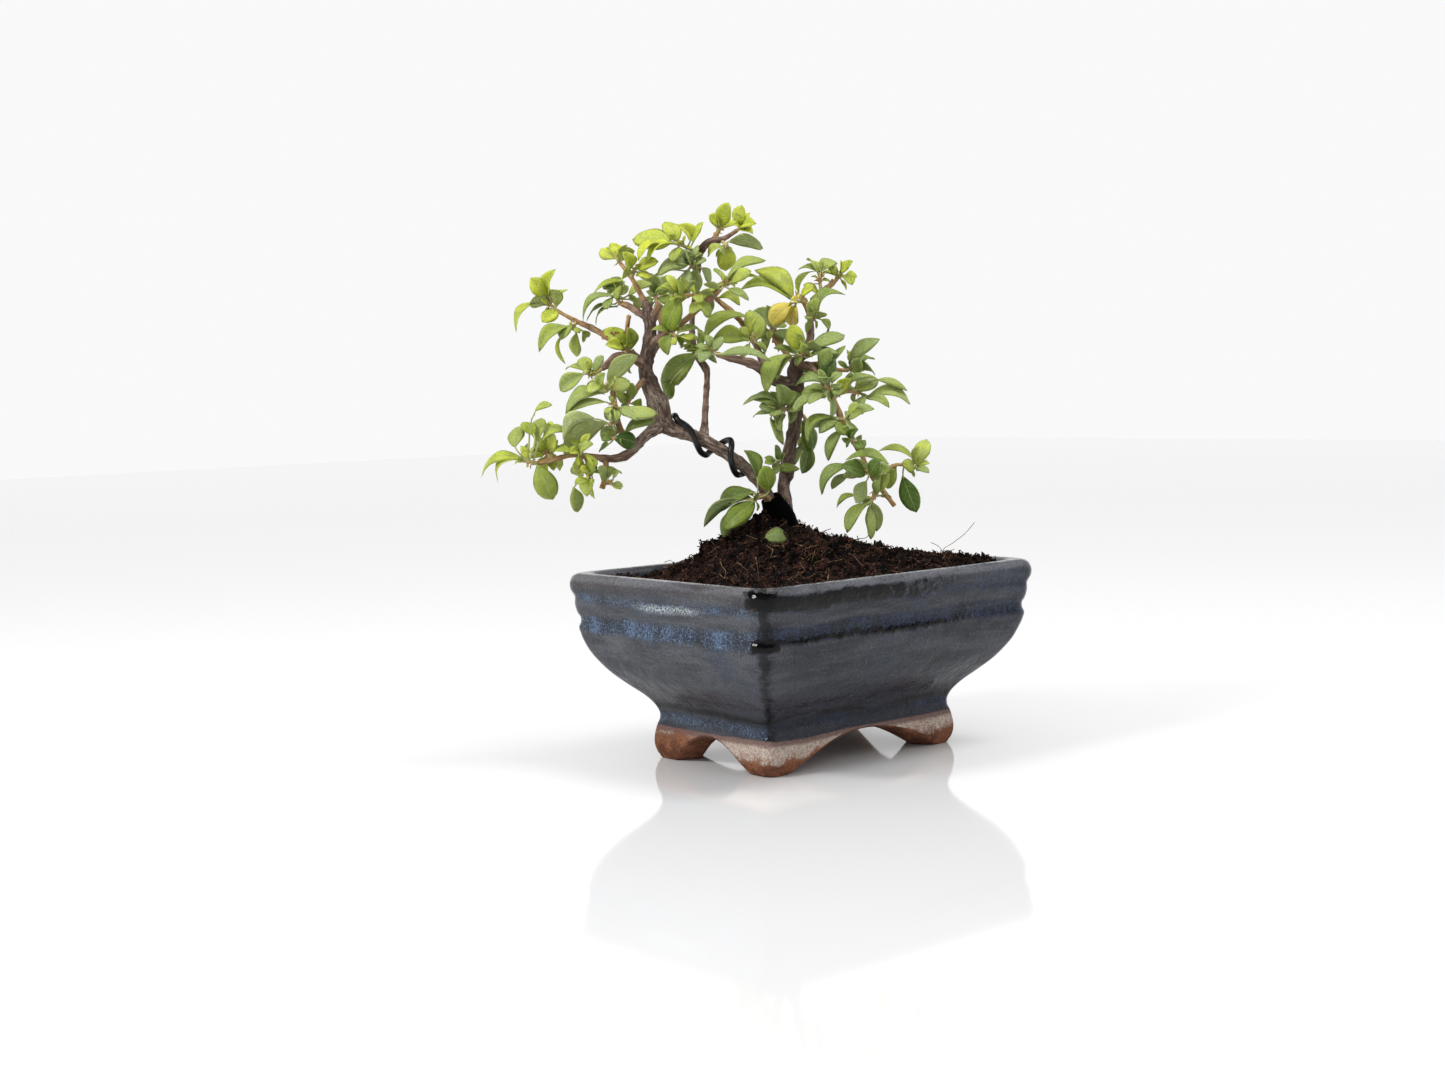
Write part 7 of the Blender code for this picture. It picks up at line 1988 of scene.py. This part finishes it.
def make_wire(finish):
    """The training wire: turns round the left stem, worked out along its path."""
    stem = drawn_path(BRANCHES["left_stem"], WIRE_FINENESS)
    path = []
    for row, ahead in zip(stem, stem[1:]):
        place = Vector(row[:3])
        u = (place - MIDDLE).dot(ACROSS) / MM
        if not WINDING[0][0] < u < WINDING[-1][0] or place.z > WIRE_CEILING * MM:
            continue
        along = (Vector(ahead[:3]) - place).normalized()
        front = (TOWARDS - along * TOWARDS.dot(along)).normalized()
        top = along.cross(front)
        top *= 1 if top.z > 0 else -1
        angle, slack = between(WINDING, u)
        turn = math.radians(angle)
        away = row[3] + (WIRE_RADIUS + slack + WIRE_GAP) * MM
        spot = place + away * (front * math.cos(turn) + top * math.sin(turn))
        path.append(Vector((*spot, WIRE_RADIUS * MM)))
    knots = thinned(path, WIRE_KNOTS * MM)
    points, faces = [], []
    add_tube(points, faces, smooth_path(knots, WIRE_SMOOTHNESS * MM), WIRE_SIDES)
    wire = mesh_object("training_wire", points, faces)
    finish_piece(wire, "wire", "wire", finish)


class Taken:
    """The surfaces of the frame that are placed before a shoot, which its stem starts clear of."""

    def __init__(self):
        self.points = []
        self.faces = []
        self.tree = None

    def add(self, obj):
        first = len(self.points)
        self.points += [vertex.co.copy() for vertex in obj.data.vertices]
        self.faces += [[first + i for i in face.vertices] for face in obj.data.polygons]
        self.tree = BVHTree.FromPolygons(self.points, self.faces)


class Blade:
    """Where a blade lies: its ends, its directions, half its width and how it bows."""

    def __init__(self, start, end, face, width, arch, bow):
        self.start, self.end = start, end
        self.length = (end - start).length
        self.along = (end - start) / self.length
        facing = (TOWARDS - self.along * TOWARDS.dot(self.along)).normalized()
        rising = self.along.cross(facing)
        rising *= 1 if rising.z >= 0 else -1
        self.normal = facing * face + rising * math.sqrt(1 - face**2)
        self.across = self.normal.cross(self.along)
        full_width = width / max(abs(face), LEAST_FACE) * MM
        self.half = min(full_width, self.length * WIDEST_BLADE) / 2
        self.lift = self.normal * arch * self.length + rising * bow * MM

    def middle(self, t):
        return self.start.lerp(self.end, t) + self.lift * 4 * t * (1 - t)

    def corners(self, small):
        """Points on the outline of the plain blade, to find it on the frame."""
        points = []
        for t, share in SMALL_BLADE_ROWS if small else BLADE_ROWS:
            spread = self.across * self.half * share
            points += [self.middle(t) - spread, self.middle(t) + spread]
        return points


class Leaf:
    """One leaf: its foot and tip on the drawing, its width and face, and where it grows from."""

    def __init__(self, row, spots, chance):
        self.foot = Vector(row[0:2])
        self.reach = Vector(row[2:4]) - self.foot
        self.width, self.face = row[4:6]
        self.bow = row[6] if len(row) > 6 else 0.0
        self.node = min(spots, key=lambda spot: (drawn_place(spot).xy - self.foot).length)
        self.depth = drawn_place(self.node).z
        self.side = 1 if chance.random() < 0.5 else -1
        self.lean_share = chance.uniform(*LEAN_SHARE)
        self.arch = ARCH * chance.uniform(*ARCH_SHARE)

    def blade(self, shorten, swing, lean):
        drawn = self.reach.length
        full = max(drawn, (drawn + FULL_LEAF) / 2)
        hidden = max(math.sqrt(full**2 - drawn**2), self.lean_share * drawn)
        tip = self.foot + Matrix.Rotation(math.radians(swing), 2) @ self.reach * shorten
        depth = self.depth + (hidden * self.side + lean) * shorten
        start = seen(*self.foot, self.depth + lean * FOOT_LEAN)
        return Blade(start, seen(*tip, depth), self.face, self.width, self.arch, self.bow)

    def found(self, surface):
        """The way this leaf was bent in the frame: the first that lies on the frame's surface."""
        small = self.reach.length < SMALL_LEAF
        best = None
        for shorten in SHORTENINGS:
            for swing in SWINGS:
                for lean in LEANS:
                    blade = self.blade(shorten, swing, lean)
                    away = max(surface.find_nearest(p)[3] for p in blade.corners(small))
                    if away < MATCH_DISTANCE * MM:
                        return blade
                    if best is None or away < best[0]:
                        best = away, blade
        return best[1]


def outer_spots(path):
    """Places along the outer part of a shoot's stem, where its leaves grow from."""
    spots = []
    for start, end in zip(path, path[1:]):
        spots += [Vector(start.lerp(end, i / 8)[:3]) for i in range(8)]
    return spots[round(len(spots) * BARE_SHARE) :]


def shoot_points(drawn):
    first, last = SHOOT_RADIUS
    count = len(drawn) - 1
    return [(*row, first + (last - first) * i / count) for i, row in enumerate(drawn)]


def frame_path(drawn, taken):
    """The path of a shoot's stem in the frame, from where it is just clear of its twig."""
    path = drawn_path(shoot_points(drawn), 0.25)
    start = 0
    for i, (row, ahead) in enumerate(zip(path, path[1:])):
        place = Vector(row[:3])
        along = (Vector(ahead[:3]) - place).normalized()
        near, normal, _, apart = taken.tree.find_nearest(place)
        slant = math.sqrt(max(0.0, 1 - along.dot(normal) ** 2))
        if (place - near).dot(normal) < 0 or apart < GAP + row[3] * slant:
            start = i + 1
    return thinned(path[start:], SHOOT_STEP * MM)


class LeafWays:
    """How one leaf differs from the next: its outline, fold, rolled margin, waves and droop."""

    def __init__(self, chance):
        self.widest = chance.uniform(*WIDEST_AT)
        self.foot, self.tip = chance.uniform(*FOOT_FULLNESS), chance.uniform(*TIP_FULLNESS)
        folded = chance.random() < FOLDED_SHARE
        self.fold = chance.uniform(*CLOSED_FOLD) if folded else LEAF_FOLD * chance.uniform(*FOLD_SHARE)
        self.roll = LEAF_ROLL * chance.uniform(*ROLL_SHARE)
        self.droop = chance.uniform(*DROOP)
        self.sickle = chance.uniform(*SICKLE)
        self.twist = chance.uniform(*TWIST)
        self.waves, self.phase = chance.uniform(*WAVES), chance.uniform(0, FULL_TURN)

    def place(self, blade, t, s):
        """A place on the blade, t along it and s across it from -1 to 1."""
        bulge = math.sin(math.pi * t**self.widest) ** (self.foot + (self.tip - self.foot) * t)
        half = blade.half * OUTLINE_SCALE * bulge if 0 < t < 1 else 0.0
        turn = Quaternion(blade.along, self.twist * (t - 0.3))
        across, normal = turn @ blade.across, turn @ blade.normal
        rise = half * (self.fold * abs(s) - self.roll * abs(s) ** 3)
        rise += half * LEAF_WAVE * s * s * math.sin(self.phase + self.waves * t + 2 * s)
        rise -= blade.half * self.droop * t**3
        aside = half * s + blade.half * self.sickle * math.sin(math.pi * t)
        return blade.middle(t) + across * aside + normal * rise


class Spray:
    """The mesh of a leafy shoot as it grows: points, faces, finishes and what each leaf says."""

    TOP, UNDER, STEM, SCALE = 0, 1, 2, 3

    def __init__(self):
        self.points, self.faces, self.kinds = [], [], []
        self.maps, self.looks = [], []

    def label(self, count, look):
        self.maps += [(0.5, 0.5)] * count
        self.looks += [look] * count

    def tube(self, path, sides, look):
        before = len(self.points), len(self.faces)
        add_tube(self.points, self.faces, path, sides)
        self.label(len(self.points) - before[0], look)
        self.kinds += [self.STEM] * (len(self.faces) - before[1])

    def blade(self, blade, look, chance, rows=LEAF_ROWS, kinds=None):
        """A fine blade: oval, folded along its rib, drooping, with rolled and waving margins."""
        first = len(self.points)
        body = LEAF_BODY * MM / 2
        ways = LeafWays(chance)
        self.points += [blade.middle(0.0), ways.place(blade, 1.0, 0.0)]
        self.maps += [(0.5, 0.0), (0.5, 1.0)]
        shares = [k / LEAF_COLUMNS for k in range(-LEAF_COLUMNS, LEAF_COLUMNS + 1)]
        for level in (1, -1):
            for row in range(1, rows):
                t = row / rows
                for s in shares:
                    if level < 0 and abs(s) == 1:
                        continue
                    rib = 1.6 if s == 0 and level < 0 else 1.0
                    thick = body * rib * (1 - s * s) ** 0.5
                    self.points.append(ways.place(blade, t, s) + blade.normal * level * thick)
                    self.maps.append(((s + 1) / 2, t))
        self.looks += [look] * (len(self.points) - first)
        self.weave(first, rows - 1, kinds or (self.TOP, self.UNDER))

    def weave(self, first, rows, kinds):
        """The faces of the blade whose points start at first, on both its sides."""
        wide = 2 * LEAF_COLUMNS + 1
        under_first = first + 2 + wide * rows

        def top(row, k):
            return first + 2 + row * wide + k

        def under(row, k):
            if k in (0, wide - 1):
                return top(row, k)
            return under_first + row * (wide - 2) + k - 1

        for row in range(rows - 1):
            for k in range(wide - 1):
                self.faces.append((top(row, k), top(row, k + 1), top(row + 1, k + 1), top(row + 1, k)))
                self.faces.append(
                    (under(row, k + 1), under(row, k), under(row + 1, k), under(row + 1, k + 1))
                )
                self.kinds += kinds
        for k in range(wide - 1):
            self.faces += [
                (first, top(0, k + 1), top(0, k)), (first, under(0, k), under(0, k + 1)),
                (first + 1, top(rows - 1, k), top(rows - 1, k + 1)),
                (first + 1, under(rows - 1, k + 1), under(rows - 1, k)),
            ]
            self.kinds += [*kinds, *kinds]

    def young_leaf(self, node, out, length, look, chance):
        """A small leaf that has just opened, with a short stalk, growing out from a node."""
        turn = Vector((chance.gauss(0, 1), chance.gauss(0, 1), chance.gauss(0.35, 1))).normalized()
        along = (out * 0.75 + turn).normalized()
        start = node + along * length * 0.22
        end = node + along * length
        width = length * chance.uniform(0.34, 0.5)
        face = chance.choice((-1, 1, 1)) * chance.uniform(0.35, 0.95)
        blade = Blade(start, end, face, 1.0, chance.uniform(0.06, 0.22), 0.0)
        blade.half = width / 2
        self.blade(blade, look, chance, rows=6)
        thin = [Vector((*(node.lerp(start, t)), 0.28 * MM)) for t in (0.0, 0.5, 1.25)]
        self.tube(thin, 5, look)

    def scale(self, node, out, chance):
        """A papery bud scale that curls away from a node."""
        turn = Vector((chance.gauss(0, 1), chance.gauss(0, 1), chance.gauss(0, 1))).normalized()
        along = (out * 0.5 + turn).normalized()
        end = node + along * chance.uniform(*SCALE_LENGTH) * MM
        blade = Blade(node, end, chance.uniform(-0.9, 0.9), 1.0, chance.uniform(-0.3, 0.4), 0.0)
        blade.half = chance.uniform(0.25, 0.5) * MM
        self.blade(blade, (0.5, 0.5, 0.0), chance, rows=4, kinds=(self.SCALE, self.SCALE))

    def make(self, name, finishes):
        spray = mesh_object(name, self.points, self.faces)
        mesh = spray.data
        for finish in finishes:
            mesh.materials.append(finish)
        mesh.polygons.foreach_set("material_index", self.kinds)
        leaf_map = mesh.uv_layers.new(name="leaf_map")
        for loop, entry in zip(mesh.loops, leaf_map.data):
            entry.uv = self.maps[loop.vertex_index]
        for i, key in enumerate(("tone", "down", "spots")):
            kept = mesh.attributes.new(key, "FLOAT", "POINT")
            kept.data.foreach_set("value", [look[i] for look in self.looks])
        return spray


def stalk_path(node, blade):
    """The bent line of a leaf's stalk, from its node into the foot of its blade."""
    reach = (blade.start - node).length
    pull = max(reach * 0.45, 0.6 * MM)
    out = (blade.start - node).normalized() if reach > 1e-5 else blade.along
    into = blade.middle(0.12)
    knots = [node, node + out * pull * 0.6, blade.start - blade.along * pull * 0.5, into]
    path = []
    steps = 6
    for i in range(steps + 1):
        t = i / steps
        a, b, c, d = (1 - t) ** 3, 3 * t * (1 - t) ** 2, 3 * t * t * (1 - t), t**3
        place = knots[0] * a + knots[1] * b + knots[2] * c + knots[3] * d
        radius = (STALK_RADIUS + (STALK_END_RADIUS - STALK_RADIUS) * t) * MM
        path.append(Vector((*place, radius)))
    return path


def leaf_look(name, number, green, grey, chance):
    """A leaf's green, its own colour with painted shade and light, its down and spots, from its shoot's.
    """
    drawn = (
        min(1.0, max(0.0, green + chance.uniform(-GREEN_SPREAD, GREEN_SPREAD))),
        min(1.0, max(0.0, grey + chance.uniform(-GREY_SPREAD, GREY_SPREAD))),
        SPOT_STRENGTH if chance.random() < SPOTTED_SHARE else 0.0,
    )
    return LEAF_EXCEPTIONS.get((name, number), drawn)


def add_young_growth(spray, name, shoot, spots, look, chance):
    """Young leaves and bud scales, which the frame leaves out, round a shoot's outer part."""
    out = (spots[-1] - spots[0]).normalized()
    share = FULL_SHARE if name in FULL_SHOOTS else YOUNG_SHARE
    for _ in range(round(len(shoot["leaves"]) * share) + 2):
        spot = spots[min(len(spots) - 1, int(chance.uniform(0.2, 1.15) * len(spots)))]
        length = chance.uniform(*(FILL_LENGTH if name in DENSE_SHOOTS else YOUNG_LENGTH)) * MM
        tone = min(1.0, look[0] + chance.uniform(0.0, 0.3))
        spray.young_leaf(spot, out, length, (tone, look[1], 0.0), chance)
    for _ in range(SHAGGY_SCALES if name in SHAGGY_SHOOTS else FEW_SCALES):
        spray.scale(chance.choice(spots), out, chance)


def make_sprays(finishes, yellow_finishes):
    """Every leafy shoot, with the leaves just where the frame has them."""
    taken = Taken()
    for name in ("pot", "soil", "wood", "root_wrap", "wire", "fallen_leaf"):
        taken.add(frame["nodes"][name])
    draws = random.Random(LEAF_SEED)
    shades = random.Random(SHADE_SEED)
    growth = random.Random(GROWTH_SEED)
    for name, shoot in SHOOTS.items():
        node = frame["nodes"]["spray_" + name]
        surface = Taken()
        surface.add(node)
        spots = outer_spots(frame_path(shoot["stem"], taken))
        spray = Spray()
        green, grey = LEAF_LOOKS[name]
        stem = drawn_path(shoot_points(shoot["stem"]), 0.9)
        spray.tube(stem, STEM_SIDES, (green * 0.6, grey, 0.0))
        for number, row in enumerate(shoot["leaves"]):
            leaf = Leaf(row, spots, draws)
            blade = leaf.found(surface.tree)
            look = leaf_look(name, number, green, grey, shades)
            spray.blade(blade, look, shades)
            stalk_look = (min(1.0, look[0] + STALK_GREEN), look[1], 0.0)
            spray.tube(stalk_path(leaf.node, blade), STALK_SIDES, stalk_look)
        add_young_growth(spray, name, shoot, spots, (green, grey), growth)
        yellow = name == "yellow_leaves"
        piece = spray.make("leaves_" + name, yellow_finishes if yellow else finishes)
        finish_piece(piece, "spray_" + name, "yellow_leaf" if yellow else "leaf")
        taken.add(node)


def make_fallen_leaf(finishes):
    """The leaf on the soil: it lies where its node lies, flat and a little curled."""
    low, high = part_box("fallen_leaf")
    middle = (low + high) / 2
    surface = Taken()
    surface.add(frame["nodes"]["soil"])
    _, slope, _, _ = surface.tree.find_nearest(middle)
    along = (ACROSS - slope * ACROSS.dot(slope)).normalized()
    spray = Spray()
    reach = along * FALLEN_HALF_LENGTH * MM
    blade = Blade(middle - reach, middle + reach, 1.0, 1.0, 0.0, 0.0)
    blade.normal = (slope + TOWARDS * FALLEN_TILT).normalized()
    blade.across = blade.normal.cross(along)
    blade.half = FALLEN_HALF_WIDTH * MM
    blade.lift = slope * FALLEN_BOW * MM
    spray.blade(blade, FALLEN_LOOK, random.Random(FALLEN_SEED))
    piece = spray.make("leaf_on_soil", finishes)
    finish_piece(piece, "fallen_leaf", "leaf")


def make_floor():
    """The pale ground that the pot stands on, left out of the part."""
    half = FLOOR_SIZE / 2
    points = [Vector((x * half, y * half, 0)) for x, y in ((-1, -1), (1, -1), (1, 1), (-1, 1))]
    floor = mesh_object("pale_floor", points, [(0, 1, 2, 3)])
    finish = Finish("pale_floor", Roughness=FLOOR_ROUGHNESS, IOR=1.5)
    finish.shader.inputs["Base Color"].default_value = (*FLOOR_COLOUR, 1.0)
    floor.data.materials.append(finish.material)


def area_light(name, place, size, power):
    """A square light at a place, turned to the tree."""
    lamp = bpy.data.lights.new(name, "AREA")
    lamp.size = size
    lamp.energy = power
    light = bpy.data.objects.new(name, lamp)
    bpy.context.scene.collection.objects.link(light)
    light.location = eye_place(*place)
    towards = Vector(eye_place(*LIGHT_TARGET)) - Vector(eye_place(*place))
    light.rotation_euler = towards.to_track_quat("-Z", "Y").to_euler()


def light_room():
    """A white room whose mirror image in glossy surfaces is dim overhead, and two lights."""
    world = bpy.data.worlds.new("white_room")
    bpy.context.scene.world = world
    world.use_nodes = True
    room = world.node_tree
    background = room.nodes["Background"]
    background.inputs["Color"].default_value = (1.0, 1.0, 1.0, 1.0)
    mirrored = add_node(room, "ShaderNodeLightPath", {}, {}).outputs["Is Glossy Ray"]
    way = add_node(room, "ShaderNodeTexCoord", {}, {}).outputs["Generated"]
    rise = add_node(room, "ShaderNodeSeparateXYZ", {0: way}, {}).outputs["Z"]
    inputs = {"Value": rise, "From Min": MIRRORED_FROM[0], "From Max": MIRRORED_FROM[1]}
    above = add_node(room, "ShaderNodeMapRange", inputs, {}).outputs["Result"]
    dim = add_node(room, "ShaderNodeMath", {0: mirrored, 1: above}, {"operation": "MULTIPLY"}).outputs[0]
    inputs = {"Value": dim, "To Min": ROOM_LIGHT, "To Max": MIRRORED_LIGHT}
    light = add_node(room, "ShaderNodeMapRange", inputs, {}).outputs["Result"]
    room.links.new(light, background.inputs["Strength"])
    for name, (place, size, power) in LIGHTS.items():
        area_light(name, place, size, power)
    bpy.context.scene.view_settings.view_transform = "Standard"


def place_camera():
    """The camera, as it was fitted to the photograph's view of the pot."""
    level = Vector((math.cos(CAMERA_AZIMUTH), math.sin(CAMERA_AZIMUTH), 0.0))
    back = Vector(
        (
            math.sin(CAMERA_AZIMUTH) * math.cos(CAMERA_RISE),
            -math.cos(CAMERA_AZIMUTH) * math.cos(CAMERA_RISE),
            math.sin(CAMERA_RISE),
        )
    )
    upright = back.cross(level)
    right = level * math.cos(CAMERA_ROLL) + upright * math.sin(CAMERA_ROLL)
    top = upright * math.cos(CAMERA_ROLL) - level * math.sin(CAMERA_ROLL)
    place = back * CAMERA_DISTANCE + level * CAMERA_SIDE + UP * CAMERA_HEIGHT
    lens = bpy.data.cameras.new("camera")
    lens.sensor_width = SENSOR_WIDTH
    lens.lens = FOCAL_PIXELS / PHOTO_WIDTH * SENSOR_WIDTH
    lens.clip_start = 0.01
    camera = bpy.data.objects.new("camera", lens)
    bpy.context.scene.collection.objects.link(camera)
    turn = Matrix((right, top, back)).transposed().to_4x4()
    camera.matrix_world = Matrix.Translation(MIDDLE + place * MM) @ turn
    bpy.context.scene.camera = camera


def main():
    place_camera()
    light_room()
    make_floor()
    make_pot(glaze_finish())
    make_soil_cover(make_soil_bed(soil_finish("peat", PEAT_TONES)))
    make_wood(bark_finish())
    make_sleeve(sleeve_finish())
    make_wire(wire_finish())
    others = [stem_finish(), scale_finish()]
    green = [leaf_finish("leaf_top", False), leaf_finish("leaf_underside", True)]
    yellow = [
        leaf_finish("yellow_leaf_top", False, True), leaf_finish("yellow_leaf_underside", True, True),
    ]
    make_sprays(green + others, yellow + others)
    make_fallen_leaf(green + others)


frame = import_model()
pot_low, pot_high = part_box("pot")
MIDDLE = Vector(((pot_low.x + pot_high.x) / 2, (pot_low.y + pot_high.y) / 2, 0.0))
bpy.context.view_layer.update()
main()
